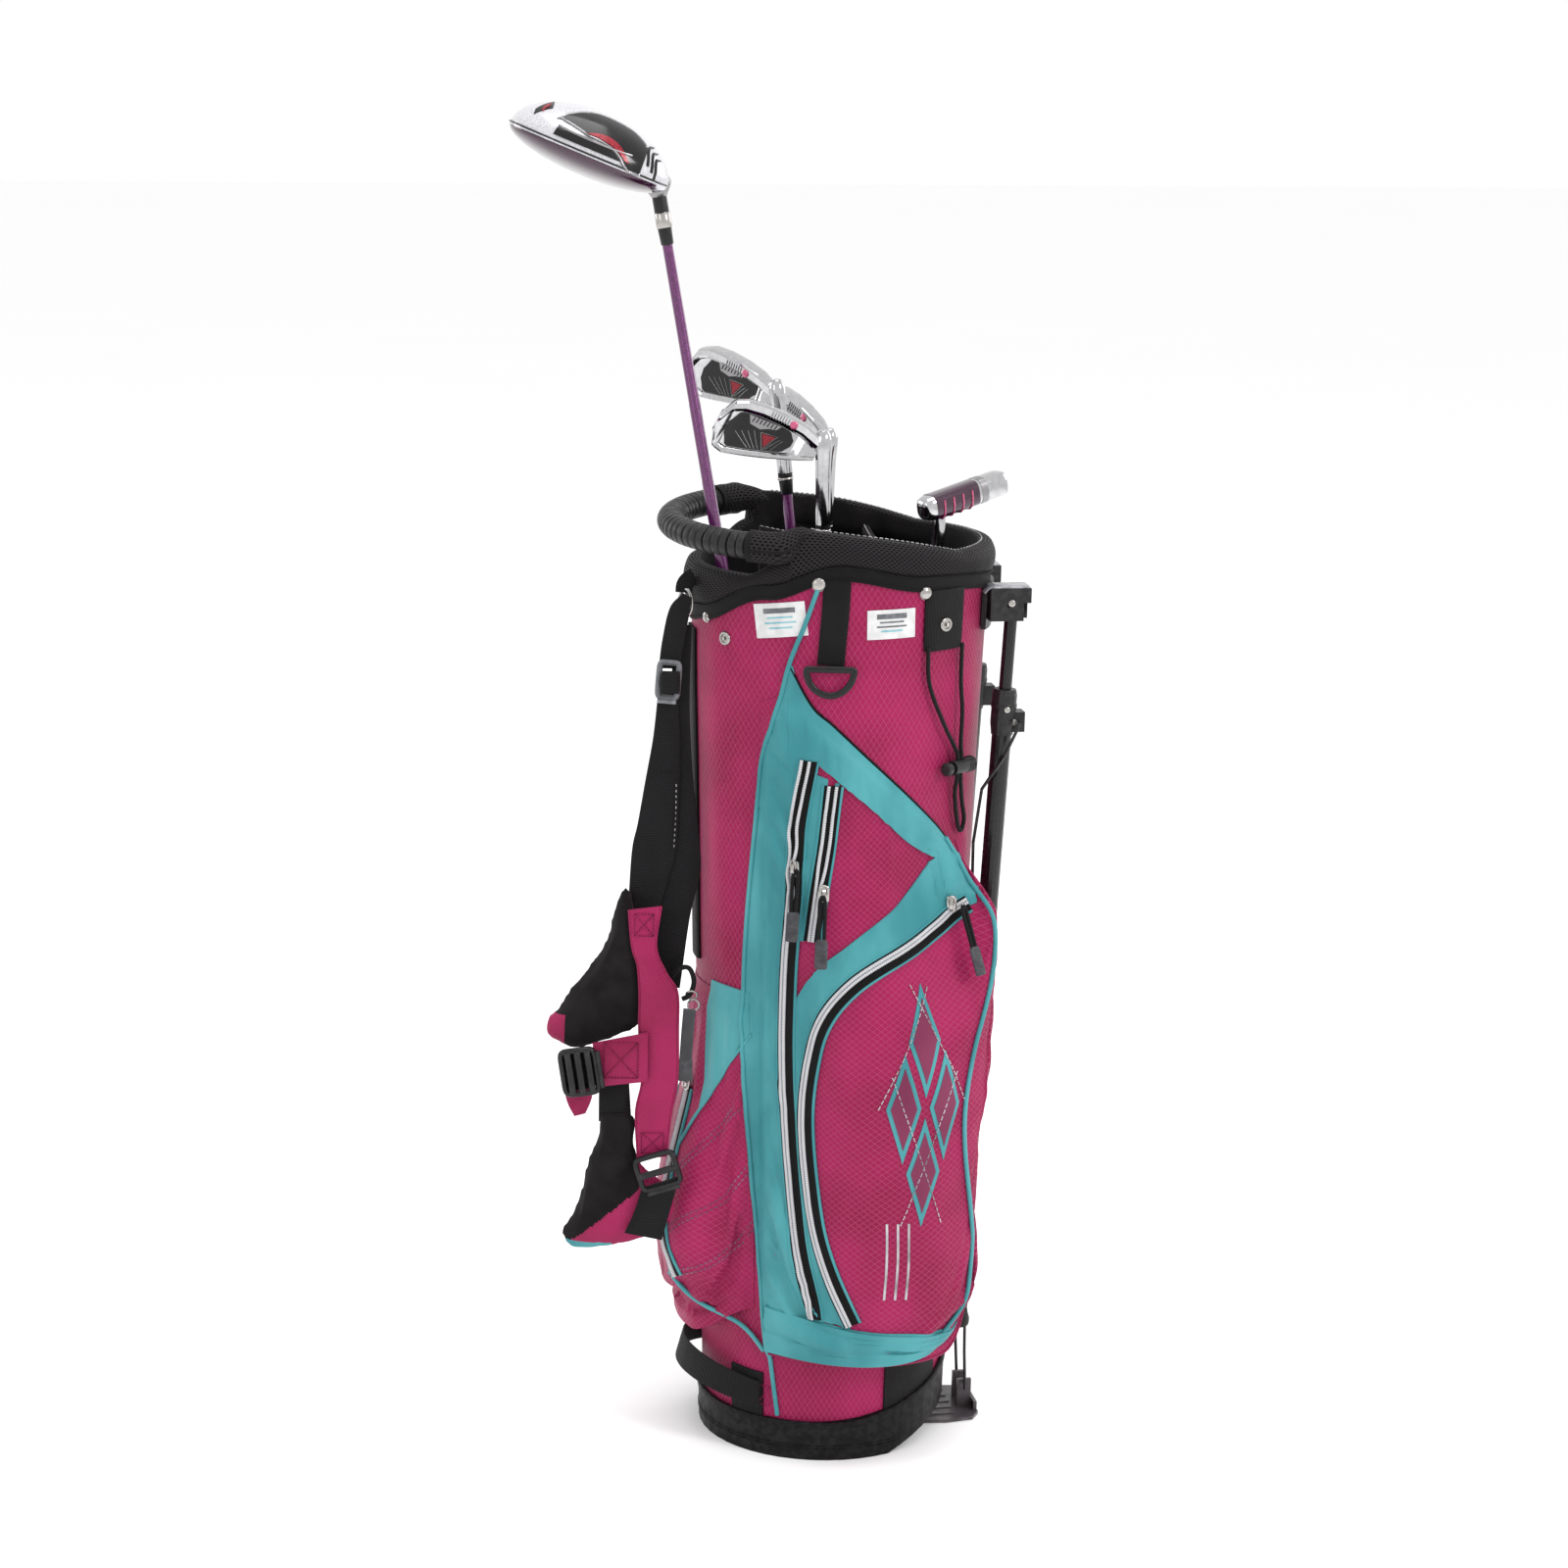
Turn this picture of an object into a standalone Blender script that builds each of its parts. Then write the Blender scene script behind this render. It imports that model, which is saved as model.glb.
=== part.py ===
"""Golf stand bag with five clubs, as an assembly of separate named solids.

Frame: metres, +Z up, origin at the centre of the base's sole. +X is the side of the stand legs,
-X the side of the carrying straps, -Y the side of the near garment pocket.
"""
import math

import bmesh
import bpy
from mathutils import Matrix, Vector

# Bag body: an ellipse that widens from the sole to the top
BASE_A, BASE_B = 0.109, 0.107
TOP_A, TOP_B = 0.132, 0.118
TAPER_HEIGHT = 0.80
GAP = 0.0003
WRAP_GAP = 0.0014
TUBE_WALL = 0.003
TUBE_BOTTOM = 0.034
COLUMNS = 48

# Base cup
SOLE_THICK = 0.012
HEEL_THICK = 0.0048
CUP_WALL = 0.0032
CUP_CLEAR = 0.0006
CUP_RIM = 0.036
CUP_RIM_RISE = 0.033
HEEL_START = 0.043
HEEL_ANGLE = math.radians(22)
NOTCH = (0.0405, 0.0650, 0.0470, 0.0098)

# Collar and rim
SEAM_HEIGHTS = ((0, 0.800), (66, 0.811), (100, 0.823), (128, 0.803), (163, 0.776), (180, 0.770))
RIM_MID = 0.848
RIM_SLOPE = 0.12
RIM_DROOP = 0.9
LIP_HEIGHT = 0.811
LIP_SPAN = 60.0
COLLAR_PROFILE = ((0.001, 0.0), (0.0055, 0.22), (0.0065, 0.6), (0.003, 0.92), (-0.001, 1.0),
                  (-0.006, 1.0), (-0.010, 0.9), (-0.010, 0.25), (-0.003, 0.0))
FRAME_RING = (0.700, 0.755, 0.0036, 0.0066)

# Carrying handle
HANDLE_A, HANDLE_B = 0.150, 0.119
HANDLE_SPAN = 59.3
HANDLE_Z = 0.843
HANDLE_TILT = 0.05
HANDLE_RADIUS = 0.0125

# Dividers across the mouth
DIVIDER_Y = 0.012
DIVIDER_X = 0.045
DIVIDER_HALF = 0.004
DIVIDER_LOW, DIVIDER_DEPTH = 0.783, 0.018

# Stand legs
LEG_PIVOT = (0.1445, 0.0555, 0.778)
LEG_SPLAY = math.radians(25)
LEG_LEAN = 0.046
UPPER_RADIUS, LOWER_RADIUS = 0.0058, 0.0088
HOUSING_TOP, HOUSING_BOTTOM = 0.700, 0.660
LEG_END, FOOT_END = 0.150, 0.105
KNOB = (0.1520, 0.0700, 0.6720)
WIRE_RADIUS = 0.0015
PIN_RADIUS = 0.002

# Foot flap that drives the legs
FLAP_PIVOT = (0.0525, 0.0, 0.0048)
FLAP_END = 0.146
FLAP_HALF_WIDTH = 0.042
FLAP_PLATE = (0.0006, 0.0034)
LUG_X = (0.1290, 0.1420)
LUG_Y = 0.0100

# Clubs: butt point, a point of the axis at the mouth, length of the axis up to the head
CLUB_FLOOR = 0.0145
GRIP_LENGTH = 0.27
SHAFT_TIP, SHAFT_BUTT = 0.0046, 0.0068
GRIP_SLIM, GRIP_FULL = 0.0098, 0.0130


def lerp(a, b, t):
    return a + (b - a) * t


def smooth(value, low, high):
    """0 below low, 1 above high, an S-curve between."""
    t = min(max((value - low) / (high - low), 0.0), 1.0)
    return t * t * (3 - 2 * t)


def material(name, color, roughness, metallic=0.0):
    mat = bpy.data.materials.new(name)
    mat.use_nodes = True
    shader = mat.node_tree.nodes["Principled BSDF"]
    shader.inputs["Base Color"].default_value = (*color, 1.0)
    shader.inputs["Roughness"].default_value = roughness
    shader.inputs["Metallic"].default_value = metallic
    return mat


def clear_scene():
    for obj in list(bpy.data.objects):
        bpy.data.objects.remove(obj, do_unlink=True)


def new_object(name, mesh, mat, smooth_angle=40):
    obj = bpy.data.objects.new(name, mesh)
    bpy.context.scene.collection.objects.link(obj)
    if mat is not None:
        mesh.materials.append(mat)
    if isinstance(mesh, bpy.types.Mesh):
        mesh.shade_smooth()
        mesh.set_sharp_from_angle(angle=math.radians(smooth_angle))
    return obj


def mesh_object(name, points, faces, mat):
    mesh = bpy.data.meshes.new(name)
    mesh.from_pydata([tuple(p) for p in points], [], faces)
    bm = bmesh.new()
    bm.from_mesh(mesh)
    bmesh.ops.recalc_face_normals(bm, faces=bm.faces)
    bm.to_mesh(mesh)
    bm.free()
    return new_object(name, mesh, mat)


def loft(name, rings, mat, closed=False):
    """Skin rings of equal count; open lofts get end caps, a closed one joins its last ring to its first."""
    count = len(rings[0])
    points = [p for ring in rings for p in ring]
    faces = []
    spans = len(rings) if closed else len(rings) - 1
    for i in range(spans):
        j = (i + 1) % len(rings)
        for k in range(count):
            n = (k + 1) % count
            faces.append((i * count + k, i * count + n, j * count + n, j * count + k))
    if not closed:
        faces.append(tuple(range(count))[::-1])
        faces.append(tuple((len(rings) - 1) * count + k for k in range(count)))
    return mesh_object(name, points, faces, mat)


def axis_frame(direction):
    axis = Vector(direction).normalized()
    side = axis.cross(Vector((0, 1, 0)))
    if side.length < 0.2:
        side = axis.cross(Vector((1, 0, 0)))
    side.normalize()
    return axis, side, axis.cross(side).normalized()


def turned(name, start, direction, profile, mat, sides=16):
    """A turned piece: profile lists (distance along the axis, radius)."""
    axis, side, up = axis_frame(direction)
    rings = []
    for along, radius in profile:
        centre = Vector(start) + axis * along
        rings.append([centre + (side * math.cos(t) + up * math.sin(t)) * radius
                      for t in (2 * math.pi * k / sides for k in range(sides))])
    return loft(name, rings, mat)


def tube(name, points, radius, mat, resolution=2, cyclic=False):
    """A round bar along a line of points."""
    curve = bpy.data.curves.new(name, "CURVE")
    curve.dimensions = "3D"
    curve.bevel_depth = radius
    curve.bevel_resolution = resolution
    curve.use_fill_caps = not cyclic
    spline = curve.splines.new("POLY")
    spline.points.add(len(points) - 1)
    for spot, point in zip(spline.points, points):
        spot.co = (*point, 1.0)
    spline.use_cyclic_u = cyclic
    return new_object(name, curve, mat)


def smooth_route(points, steps):
    """Catmull-Rom curve through hand-chosen points."""
    line = [Vector(p) for p in points]
    line = [line[0] * 2 - line[1]] + line + [line[-1] * 2 - line[-2]]
    route = []
    for i in range(1, len(line) - 2):
        p0, p1, p2, p3 = line[i - 1:i + 3]
        for k in range(steps):
            t = k / steps
            route.append(0.5 * ((2 * p1) + (p2 - p0) * t + (2 * p0 - 5 * p1 + 4 * p2 - p3) * t ** 2
                                + (3 * p1 - p0 - 3 * p2 + p3) * t ** 3))
    route.append(line[-2])
    return route


def box(name, low, high, mat):
    corners = [Vector((x, y, z)) for z in (low[2], high[2])
               for x, y in ((low[0], low[1]), (high[0], low[1]), (high[0], high[1]), (low[0], high[1]))]
    return loft(name, [corners[:4], corners[4:]], mat)


def set_origin(obj, point):
    """Put the object's origin on a joint's axis without moving its shape."""
    shift = Matrix.Translation(-Vector(point))
    obj.data.transform(shift)
    obj.location = point
    return obj


def under(obj, empty):
    obj.parent = empty
    obj.matrix_parent_inverse = Matrix.Translation(-empty.location)
    return obj


def pivot(name, point):
    empty = bpy.data.objects.new(name, None)
    empty.location = point
    bpy.context.scene.collection.objects.link(empty)
    return empty


def combine(target, tool, operation):
    modifier = target.modifiers.new(operation.lower(), "BOOLEAN")
    modifier.operation = operation
    modifier.solver = "EXACT"
    modifier.object = tool
    tool.hide_render = True
    tool.display_type = "WIRE"
    return target


def ellipse_radii(z):
    t = min(max(z / TAPER_HEIGHT, 0.0), 1.0)
    return lerp(BASE_A, TOP_A, t), lerp(BASE_B, TOP_B, t)


def bag_point(angle, z, out=0.0):
    """Point of the bag's surface at an angle in degrees from +X, moved outwards by out."""
    a, b = ellipse_radii(z)
    t = math.radians(angle)
    return Vector(((a + out) * math.cos(t), (b + out) * math.sin(t), z))


def bag_outward(angle, z):
    a, b = ellipse_radii(z)
    t = math.radians(angle)
    return Vector((b * math.cos(t), a * math.sin(t), 0)).normalized()


def seam_height(angle):
    """Height of the seam between the body's fabric and the collar."""
    turn = abs((angle + 180) % 360 - 180)
    for (a0, z0), (a1, z1) in zip(SEAM_HEIGHTS, SEAM_HEIGHTS[1:]):
        if turn <= a1:
            return lerp(z0, z1, smooth(turn, a0, a1))
    return SEAM_HEIGHTS[-1][1]


def rim_height(angle):
    """Top of the collar: a tilted rim that dips to a low lip under the carrying handle."""
    x = TOP_A * math.cos(math.radians(angle))
    full = RIM_MID - RIM_SLOPE * x - RIM_DROOP * max(x, 0) ** 2
    from_handle = abs(abs((angle + 180) % 360 - 180) - 180)
    return lerp(LIP_HEIGHT, full, smooth(from_handle, LIP_SPAN, LIP_SPAN + 2.5))


def collar_angles():
    steps = [360 * k / COLUMNS for k in range(COLUMNS)]
    wall = [180 + s * (LIP_SPAN + d) for s in (-1, 1) for d in (0.0, 1.2, 2.5)]
    near = [a for a in steps if all(abs(a - w) > 2.5 for w in wall)]
    return sorted(near + wall)


def wrap(name, region, inner, outer, columns, rows, mat):
    """A solid on the bag's surface: region(u, v) gives angle and height, inner and outer its offsets."""
    across = columns + 1
    fronts, backs = [], []
    for j in range(rows + 1):
        for i in range(columns + 1):
            u, v = i / columns, j / rows
            angle, z = region(u, v)
            fronts.append(bag_point(angle, z, outer(u, v)))
            backs.append(bag_point(angle, z, inner(u, v)))
    shift = len(fronts)
    faces = []
    for j in range(rows):
        for i in range(columns):
            a = j * across + i
            quad = (a, a + 1, a + across + 1, a + across)
            faces.append(quad)
            faces.append(tuple(k + shift for k in reversed(quad)))
    edge = [i for i in range(columns)]
    edge += [j * across + columns for j in range(rows)]
    edge += [rows * across + columns - i for i in range(columns)]
    edge += [(rows - j) * across for j in range(rows)]
    for k, a in enumerate(edge):
        b = edge[(k + 1) % len(edge)]
        faces.append((b, a, a + shift, b + shift))
    return mesh_object(name, fronts + backs, faces, mat)


def strap_patch(name, angles, heights, thickness, mat, columns=3, rows=4):
    """A flat strap lying on the bag between two angles and two heights."""
    return wrap(name, lambda u, v: (lerp(angles[0], angles[1], u), lerp(heights[0], heights[1], v)),
                lambda u, v: WRAP_GAP, lambda u, v: WRAP_GAP + thickness, columns, rows, mat)


def ribbon(name, stations, mat):
    """A band through stations of (centre, half-width vector, half-thickness vector)."""
    rings = []
    for centre, across, through in stations:
        c, w, t = Vector(centre), Vector(across), Vector(through)
        rings.append([c - w * 0.9 - t, c + w * 0.9 - t, c + w - t * 0.3, c + w + t * 0.3,
                      c + w * 0.9 + t, c - w * 0.9 + t, c - w + t * 0.3, c - w - t * 0.3])
    return loft(name, rings, mat)


# ---------------------------------------------------------------- base
def frustum_cut_at_heel(name, out, bottom, top_of, heel_shift, mat):
    """The bag's ellipse as a solid, with the sloping heel plane cut off it."""
    angles = [360 * k / COLUMNS for k in range(COLUMNS)]
    rings = [[bag_point(a, bottom, out) for a in angles]]
    rings.append([bag_point(a, top_of(a), out) for a in angles])
    obj = loft(name, rings, mat)
    bm = bmesh.new()
    bm.from_mesh(obj.data)
    normal = Vector((math.sin(HEEL_ANGLE), 0, -math.cos(HEEL_ANGLE)))
    point = Vector((HEEL_START, 0, 0)) - normal * heel_shift
    bmesh.ops.bisect_plane(bm, geom=bm.verts[:] + bm.edges[:] + bm.faces[:], plane_co=point,
                           plane_no=normal, clear_outer=True)
    bmesh.ops.holes_fill(bm, edges=[e for e in bm.edges if e.is_boundary], sides=0)
    bmesh.ops.recalc_face_normals(bm, faces=bm.faces)
    bm.to_mesh(obj.data)
    bm.free()
    return obj


def cup_rim(angle):
    x = max(math.cos(math.radians(angle)), 0.0)
    return CUP_RIM + CUP_RIM_RISE * x ** 1.5


def base_cup(mat):
    cup = frustum_cut_at_heel("base_cup", CUP_CLEAR + CUP_WALL, 0.0, cup_rim, 0.0, mat)
    hollow = frustum_cut_at_heel("base_cup_hollow", CUP_CLEAR, SOLE_THICK, lambda a: cup_rim(a) + 0.02,
                                 HEEL_THICK, mat)
    combine(cup, hollow, "DIFFERENCE")
    x0, x1, half, top = NOTCH
    combine(cup, box("flap_notch", (x0, -half, -0.01), (x1, half, top), mat), "DIFFERENCE")
    hole = turned("flap_pin_hole", (FLAP_PIVOT[0], -0.0545, FLAP_PIVOT[2]), (0, 1, 0),
                  ((0, 0.0019), (0.109, 0.0019)), mat, 12)
    combine(cup, hole, "DIFFERENCE")


def flap(mats):
    """The foot flap under the heel, its knuckle, its two wire lugs and its hinge pin."""
    x, _, z = FLAP_PIVOT
    plate_low, plate_high = FLAP_PLATE
    outline = [(x + 0.003, -0.036), (0.112, -FLAP_HALF_WIDTH), (FLAP_END - 0.008, -FLAP_HALF_WIDTH + 0.004),
               (FLAP_END, -0.026), (FLAP_END, 0.026), (FLAP_END - 0.008, FLAP_HALF_WIDTH - 0.004),
               (0.112, FLAP_HALF_WIDTH), (x + 0.003, 0.036)]
    plate = loft("actuator_flap", [[Vector((a, b, plate_low)) for a, b in outline],
                                   [Vector((a, b, plate_high)) for a, b in outline]], mats["flap"])
    knuckle = turned("flap_knuckle", (x, -0.040, z), (0, 1, 0), ((0, 0.0041), (0.080, 0.0041)),
                     mats["flap"], 14)
    combine(plate, knuckle, "UNION")
    for side in (-1, 1):
        lug = box("flap_lug_%d" % side, (LUG_X[0], side * LUG_Y - 0.002, plate_high - 0.001),
                  (LUG_X[1], side * LUG_Y + 0.002, 0.030), mats["flap"])
        combine(plate, lug, "UNION")
    lip = box("flap_end_lip", (FLAP_END - 0.004, -0.024, plate_high - 0.001), (FLAP_END - 0.0008, 0.024, 0.012),
              mats["flap"])
    combine(plate, lip, "UNION")
    bore = turned("flap_bore", (x, -0.05, z), (0, 1, 0), ((0, 0.0018), (0.100, 0.0018)), mats["flap"], 14)
    combine(plate, bore, "DIFFERENCE")
    set_origin(plate, FLAP_PIVOT)
    turned("flap_hinge_pin", (x, -0.053, z), (0, 1, 0), ((0, 0.0015), (0.106, 0.0015)), mats["steel"], 12)


# ---------------------------------------------------------------- body
def bag_tube(mat):
    angles = [360 * k / COLUMNS for k in range(COLUMNS)]
    rings = []
    for angle in angles:
        top = seam_height(angle)
        rings.append([bag_point(angle, TUBE_BOTTOM), bag_point(angle, top),
                      bag_point(angle, top, -TUBE_WALL), bag_point(angle, TUBE_BOTTOM, -TUBE_WALL)])
    loft("bag_tube", rings, mat, closed=True)


def top_collar(mat):
    rings = []
    for angle in collar_angles():
        low, high = seam_height(angle) + GAP * 3, rim_height(angle)
        rings.append([bag_point(angle, TAPER_HEIGHT, out) * 1.0 + Vector((0, 0, lerp(low, high, f) - TAPER_HEIGHT))
                      for out, f in COLLAR_PROFILE])
    loft("top_collar", rings, mat, closed=True)


def collar_frame(mat):
    low, high, outside, inside = FRAME_RING
    rings = []
    for k in range(COLUMNS):
        angle = 360 * k / COLUMNS
        rings.append([bag_point(angle, low, -outside), bag_point(angle, high, -outside),
                      bag_point(angle, high, -inside), bag_point(angle, low, -inside)])
    loft("collar_frame", rings, mat, closed=True)


def stays(mat):
    """Two stiff rods inside the fabric that hold the collar up from the base."""
    for name, angle in (("stay_rod_near", -62), ("stay_rod_far", 62)):
        low = bag_point(angle, TUBE_BOTTOM + 0.004, -0.0068)
        high = bag_point(angle, FRAME_RING[0] - 0.002, -0.0068)
        turned(name, low, high - low, ((0, 0.0025), ((high - low).length, 0.0025)), mat, 8)


def dividers(mat):
    """Padded bars across the mouth: one along X and two half bars across it."""
    def bar(name, start, end, thin):
        start, end = Vector(start), Vector(end)
        rings = []
        for k in range(9):
            spot = start.lerp(end, k / 8)
            sag = 0.006 * math.sin(math.pi * k / 8)
            high = RIM_MID - RIM_SLOPE * spot.x - RIM_DROOP * max(spot.x, 0) ** 2 - DIVIDER_DEPTH - sag
            half = Vector(thin) * DIVIDER_HALF
            low_point, high_point = Vector((spot.x, spot.y, DIVIDER_LOW)), Vector((spot.x, spot.y, high))
            rings.append([low_point - half, low_point + half, high_point + half - Vector((0, 0, 0.004)),
                          high_point + half * 0.5, high_point - half * 0.5,
                          high_point - half - Vector((0, 0, 0.004))])
        loft(name, rings, mat)
    reach = TOP_A - 0.0108
    bar("divider_long", (-0.070, DIVIDER_Y, 0), (reach, DIVIDER_Y, 0), (0, 1, 0))
    side = TOP_B * math.sqrt(1 - (DIVIDER_X / TOP_A) ** 2) - 0.0125
    bar("divider_near", (DIVIDER_X, -side, 0), (DIVIDER_X, DIVIDER_Y - DIVIDER_HALF - GAP, 0), (1, 0, 0))
    bar("divider_far", (DIVIDER_X, DIVIDER_Y + DIVIDER_HALF + GAP, 0), (DIVIDER_X, side, 0), (1, 0, 0))


def handle_point(turn):
    """Centre line of the carrying handle; turn is measured in degrees from -X."""
    t = math.radians(180 + turn)
    x, y = HANDLE_A * math.cos(t), HANDLE_B * math.sin(t)
    return Vector((x, y, HANDLE_Z + HANDLE_TILT * y))


def carrying_handle(mat):
    points = [handle_point(HANDLE_SPAN * (2 * k / 30 - 1)) for k in range(31)]
    tube("grab_handle", points, HANDLE_RADIUS, mat, 3)


# ---------------------------------------------------------------- pockets
POCKET_LEFT, POCKET_BOTTOM = -131.0, 0.100
POCKET_DEPTH = 0.051
POCKET_TOP = ((-132.0, 0.700), (-119.0, 0.712), (-48.0, 0.572))
POCKET_RIGHT = ((0.10, -39.0), (0.211, -42.0), (0.30, -45.0), (0.379, -42.0), (0.483, -38.0), (0.60, -45.0))


def along(table, value):
    """Straight interpolation in a short table of pairs."""
    for (x0, y0), (x1, y1) in zip(table, table[1:]):
        if value <= x1:
            return lerp(y0, y1, min(max((value - x0) / (x1 - x0), 0.0), 1.0))
    return table[-1][1]


def pocket_place(u, v):
    u = 1 - (1 - u) ** 1.5
    right = along(POCKET_RIGHT, lerp(POCKET_BOTTOM, 0.60, v))
    angle = lerp(POCKET_LEFT, right, u)
    return angle, lerp(POCKET_BOTTOM, along(POCKET_TOP, angle), v)


def pocket_depth(u, v):
    """The garment pocket is thin at its left seam and top, full along its right side, and drawn in at its waist."""
    waist = 1 - smooth(abs(v - 0.48), 0.06, 0.34)
    sideways = smooth(1 - (1 - u) ** 1.5, 0.0, 0.78) * (1 - lerp(0.25, 0.60, waist) * smooth(u, 0.90, 1.0))
    upward = smooth(1 - v, 0.0, lerp(0.50, 0.14, smooth(u, 0.55, 0.95))) * (0.60 + 0.40 * smooth(v, 0.0, 0.12))
    return WRAP_GAP + 0.0035 + POCKET_DEPTH * sideways * upward


def garment_pockets(mat):
    wrap("garment_pocket_near", pocket_place, lambda u, v: WRAP_GAP, pocket_depth, 12, 12, mat)
    wrap("garment_pocket_far", lambda u, v: (-pocket_place(u, v)[0], pocket_place(u, v)[1]),
         lambda u, v: WRAP_GAP, pocket_depth, 12, 12, mat)


BALL_ANGLES, BALL_HEIGHTS = (-134.0, -226.0), (0.108, 0.430)
BALL_DEPTH = 0.046


def ball_place(u, v):
    dip = 0.03 * smooth(abs(u - 0.5), 0.2, 0.5) * (1 - v)
    return lerp(BALL_ANGLES[0], BALL_ANGLES[1], u), lerp(BALL_HEIGHTS[0] + dip, BALL_HEIGHTS[1], v)


def ball_depth(u, v):
    sideways = smooth(u, 0.0, 0.30) * smooth(1 - u, 0.0, 0.30)
    upward = smooth(1 - v, 0.0, 0.75) * (0.45 + 0.55 * smooth(v, 0.0, 0.28))
    return WRAP_GAP + 0.003 + BALL_DEPTH * sideways * upward


def ball_pocket(mat):
    wrap("ball_pocket", ball_place, lambda u, v: WRAP_GAP, ball_depth, 14, 10, mat)


# name, place on the pocket, outward lean of the hanging pull
ZIP_PULLS = (("zip_puller_long", 0.125, 0.757, 0.24), ("zip_puller_short", 0.205, 0.745, 0.24),
             ("zip_puller_side", 0.765, 0.872, 0.40))
PULL_LENGTH = 0.062


def pull_hinge(u, v):
    angle, z = pocket_place(u, v)
    return bag_point(angle, z, pocket_depth(u, v) + 0.0042), bag_outward(angle, z)


def zip_pulls(mat):
    """Cord pulls that hang from the sliders of the near pocket's zips."""
    for name, u, v, lean in ZIP_PULLS:
        place, outward = pull_hinge(u, v)
        down = Vector((0, 0, -1)) + outward * lean
        down.normalize()
        across = down.cross(outward).normalized() * 0.0050
        through = across.cross(down).normalized() * 0.0014
        stations = [(place - down * 0.002, across * 0.45, through),
                    (place + down * PULL_LENGTH * 0.6, across * 0.45, through),
                    (place + down * PULL_LENGTH * 0.68, across, through * 1.5),
                    (place + down * PULL_LENGTH, across * 1.15, through * 1.5)]
        set_origin(ribbon(name, stations, mat), place)


# ---------------------------------------------------------------- small fittings
TOWEL_ANGLES, TOWEL_HEIGHTS = (-108.0, -98.0), (0.7385, 0.800)
TOWEL_RING = (-103.0, 0.7345)
LOCK_ANGLE, LOCK_Z = -47.0, 0.640


def towel_loop(mats):
    strap_patch("towel_strap", TOWEL_ANGLES, TOWEL_HEIGHTS, 0.004, mats["webbing"])
    angle, z = TOWEL_RING
    centre = bag_point(angle, z, 0.006)
    outward = bag_outward(angle, z)
    across = Vector((0, 0, 1)).cross(outward).normalized()
    half = 0.0205
    points = [centre + across * half * s for s in (-1, -0.5, 0, 0.5, 1)]
    points += [centre + across * half * math.cos(t) - Vector((0, 0, 1)) * 0.023 * math.sin(t)
               for t in (math.pi * k / 12 for k in range(1, 12))]
    set_origin(tube("towel_ring", points, 0.0022, mats["plastic"], 2, cyclic=True), centre)


def umbrella_cord(mats):
    """The elastic cord loop that hangs from the snap tab, and its cord lock with a sprung button."""
    left = [(-65.0, 0.7455), (-63.5, 0.717), (-56.0, 0.680), (-50.0, 0.660)]
    right = [(-46.8, 0.7455), (-46.2, 0.715), (-45.6, 0.690), (-45.4, 0.660)]
    lock_out = 0.0085
    route = [bag_point(a, z, 0.0045 if z > 0.70 else 0.0065) for a, z in left]
    lock = bag_point(LOCK_ANGLE, LOCK_Z, lock_out)
    outward = bag_outward(LOCK_ANGLE, LOCK_Z)
    across = Vector((0, 0, 1)).cross(outward).normalized()
    route += [lock - across * 0.0027 + Vector((0, 0, 0.010)), lock - across * 0.0027 - Vector((0, 0, 0.010))]
    route += [bag_point(-47.0, 0.615, 0.0055), bag_point(-44.0, 0.590, 0.0045), bag_point(-40.5, 0.578, 0.0045),
              bag_point(-38.0, 0.588, 0.0045), bag_point(-41.5, 0.606, 0.0055)]
    route += [lock + across * 0.0027 - Vector((0, 0, 0.010)), lock + across * 0.0027 + Vector((0, 0, 0.010))]
    route += [bag_point(a, z, 0.0045 if z > 0.70 else 0.0065) for a, z in reversed(right)]
    tube("umbrella_cord", smooth_route(route, 5), 0.00175, mats["cord"], 1)
    radius, half = 0.0065, 0.0150
    body = turned("cord_lock", lock - across * 0.0105, across,
                  ((0, radius), (half * 2 - 0.003, radius), (half * 2, radius * 0.8)), mats["plastic"], 14)
    slot = box("cord_lock_slot", (-0.0026, -0.0056, -0.02), (0.0026, 0.0056, 0.02), mats["plastic"])
    slot.data.transform(Matrix.Translation(lock) @ Matrix((outward, across, (0, 0, 1))).transposed().to_4x4())
    combine(body, slot, "DIFFERENCE")
    bore = turned("cord_lock_bore", lock - across * 0.0125, across, ((0, 0.0046), (0.0062, 0.0046)),
                  mats["plastic"], 12)
    combine(body, bore, "DIFFERENCE")
    start = lock - across * 0.0108
    button = turned("cord_lock_button", start, -across, ((0, 0.0042), (0.0040, 0.0042), (0.0042, 0.0060),
                                                         (0.0085, 0.0060), (0.0095, 0.0048)), mats["plastic"], 12)
    set_origin(button, start)


def base_grab_strap(mat):
    """Webbing loop at the foot of the bag, on the strap side, standing off the fabric."""
    stations = []
    for k in range(15):
        turn = lerp(-50, 50, k / 14)
        lift = math.cos(math.radians(turn * 1.8))
        angle = 180 + turn
        centre = bag_point(angle, lerp(0.058, 0.072, max(lift, 0)), 0.0048 + 0.016 * max(lift, 0))
        stations.append((centre, Vector((0, 0, 0.0125)), bag_outward(angle, 0.08) * 0.0011))
    ribbon("base_grab_strap", stations, mat)


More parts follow.
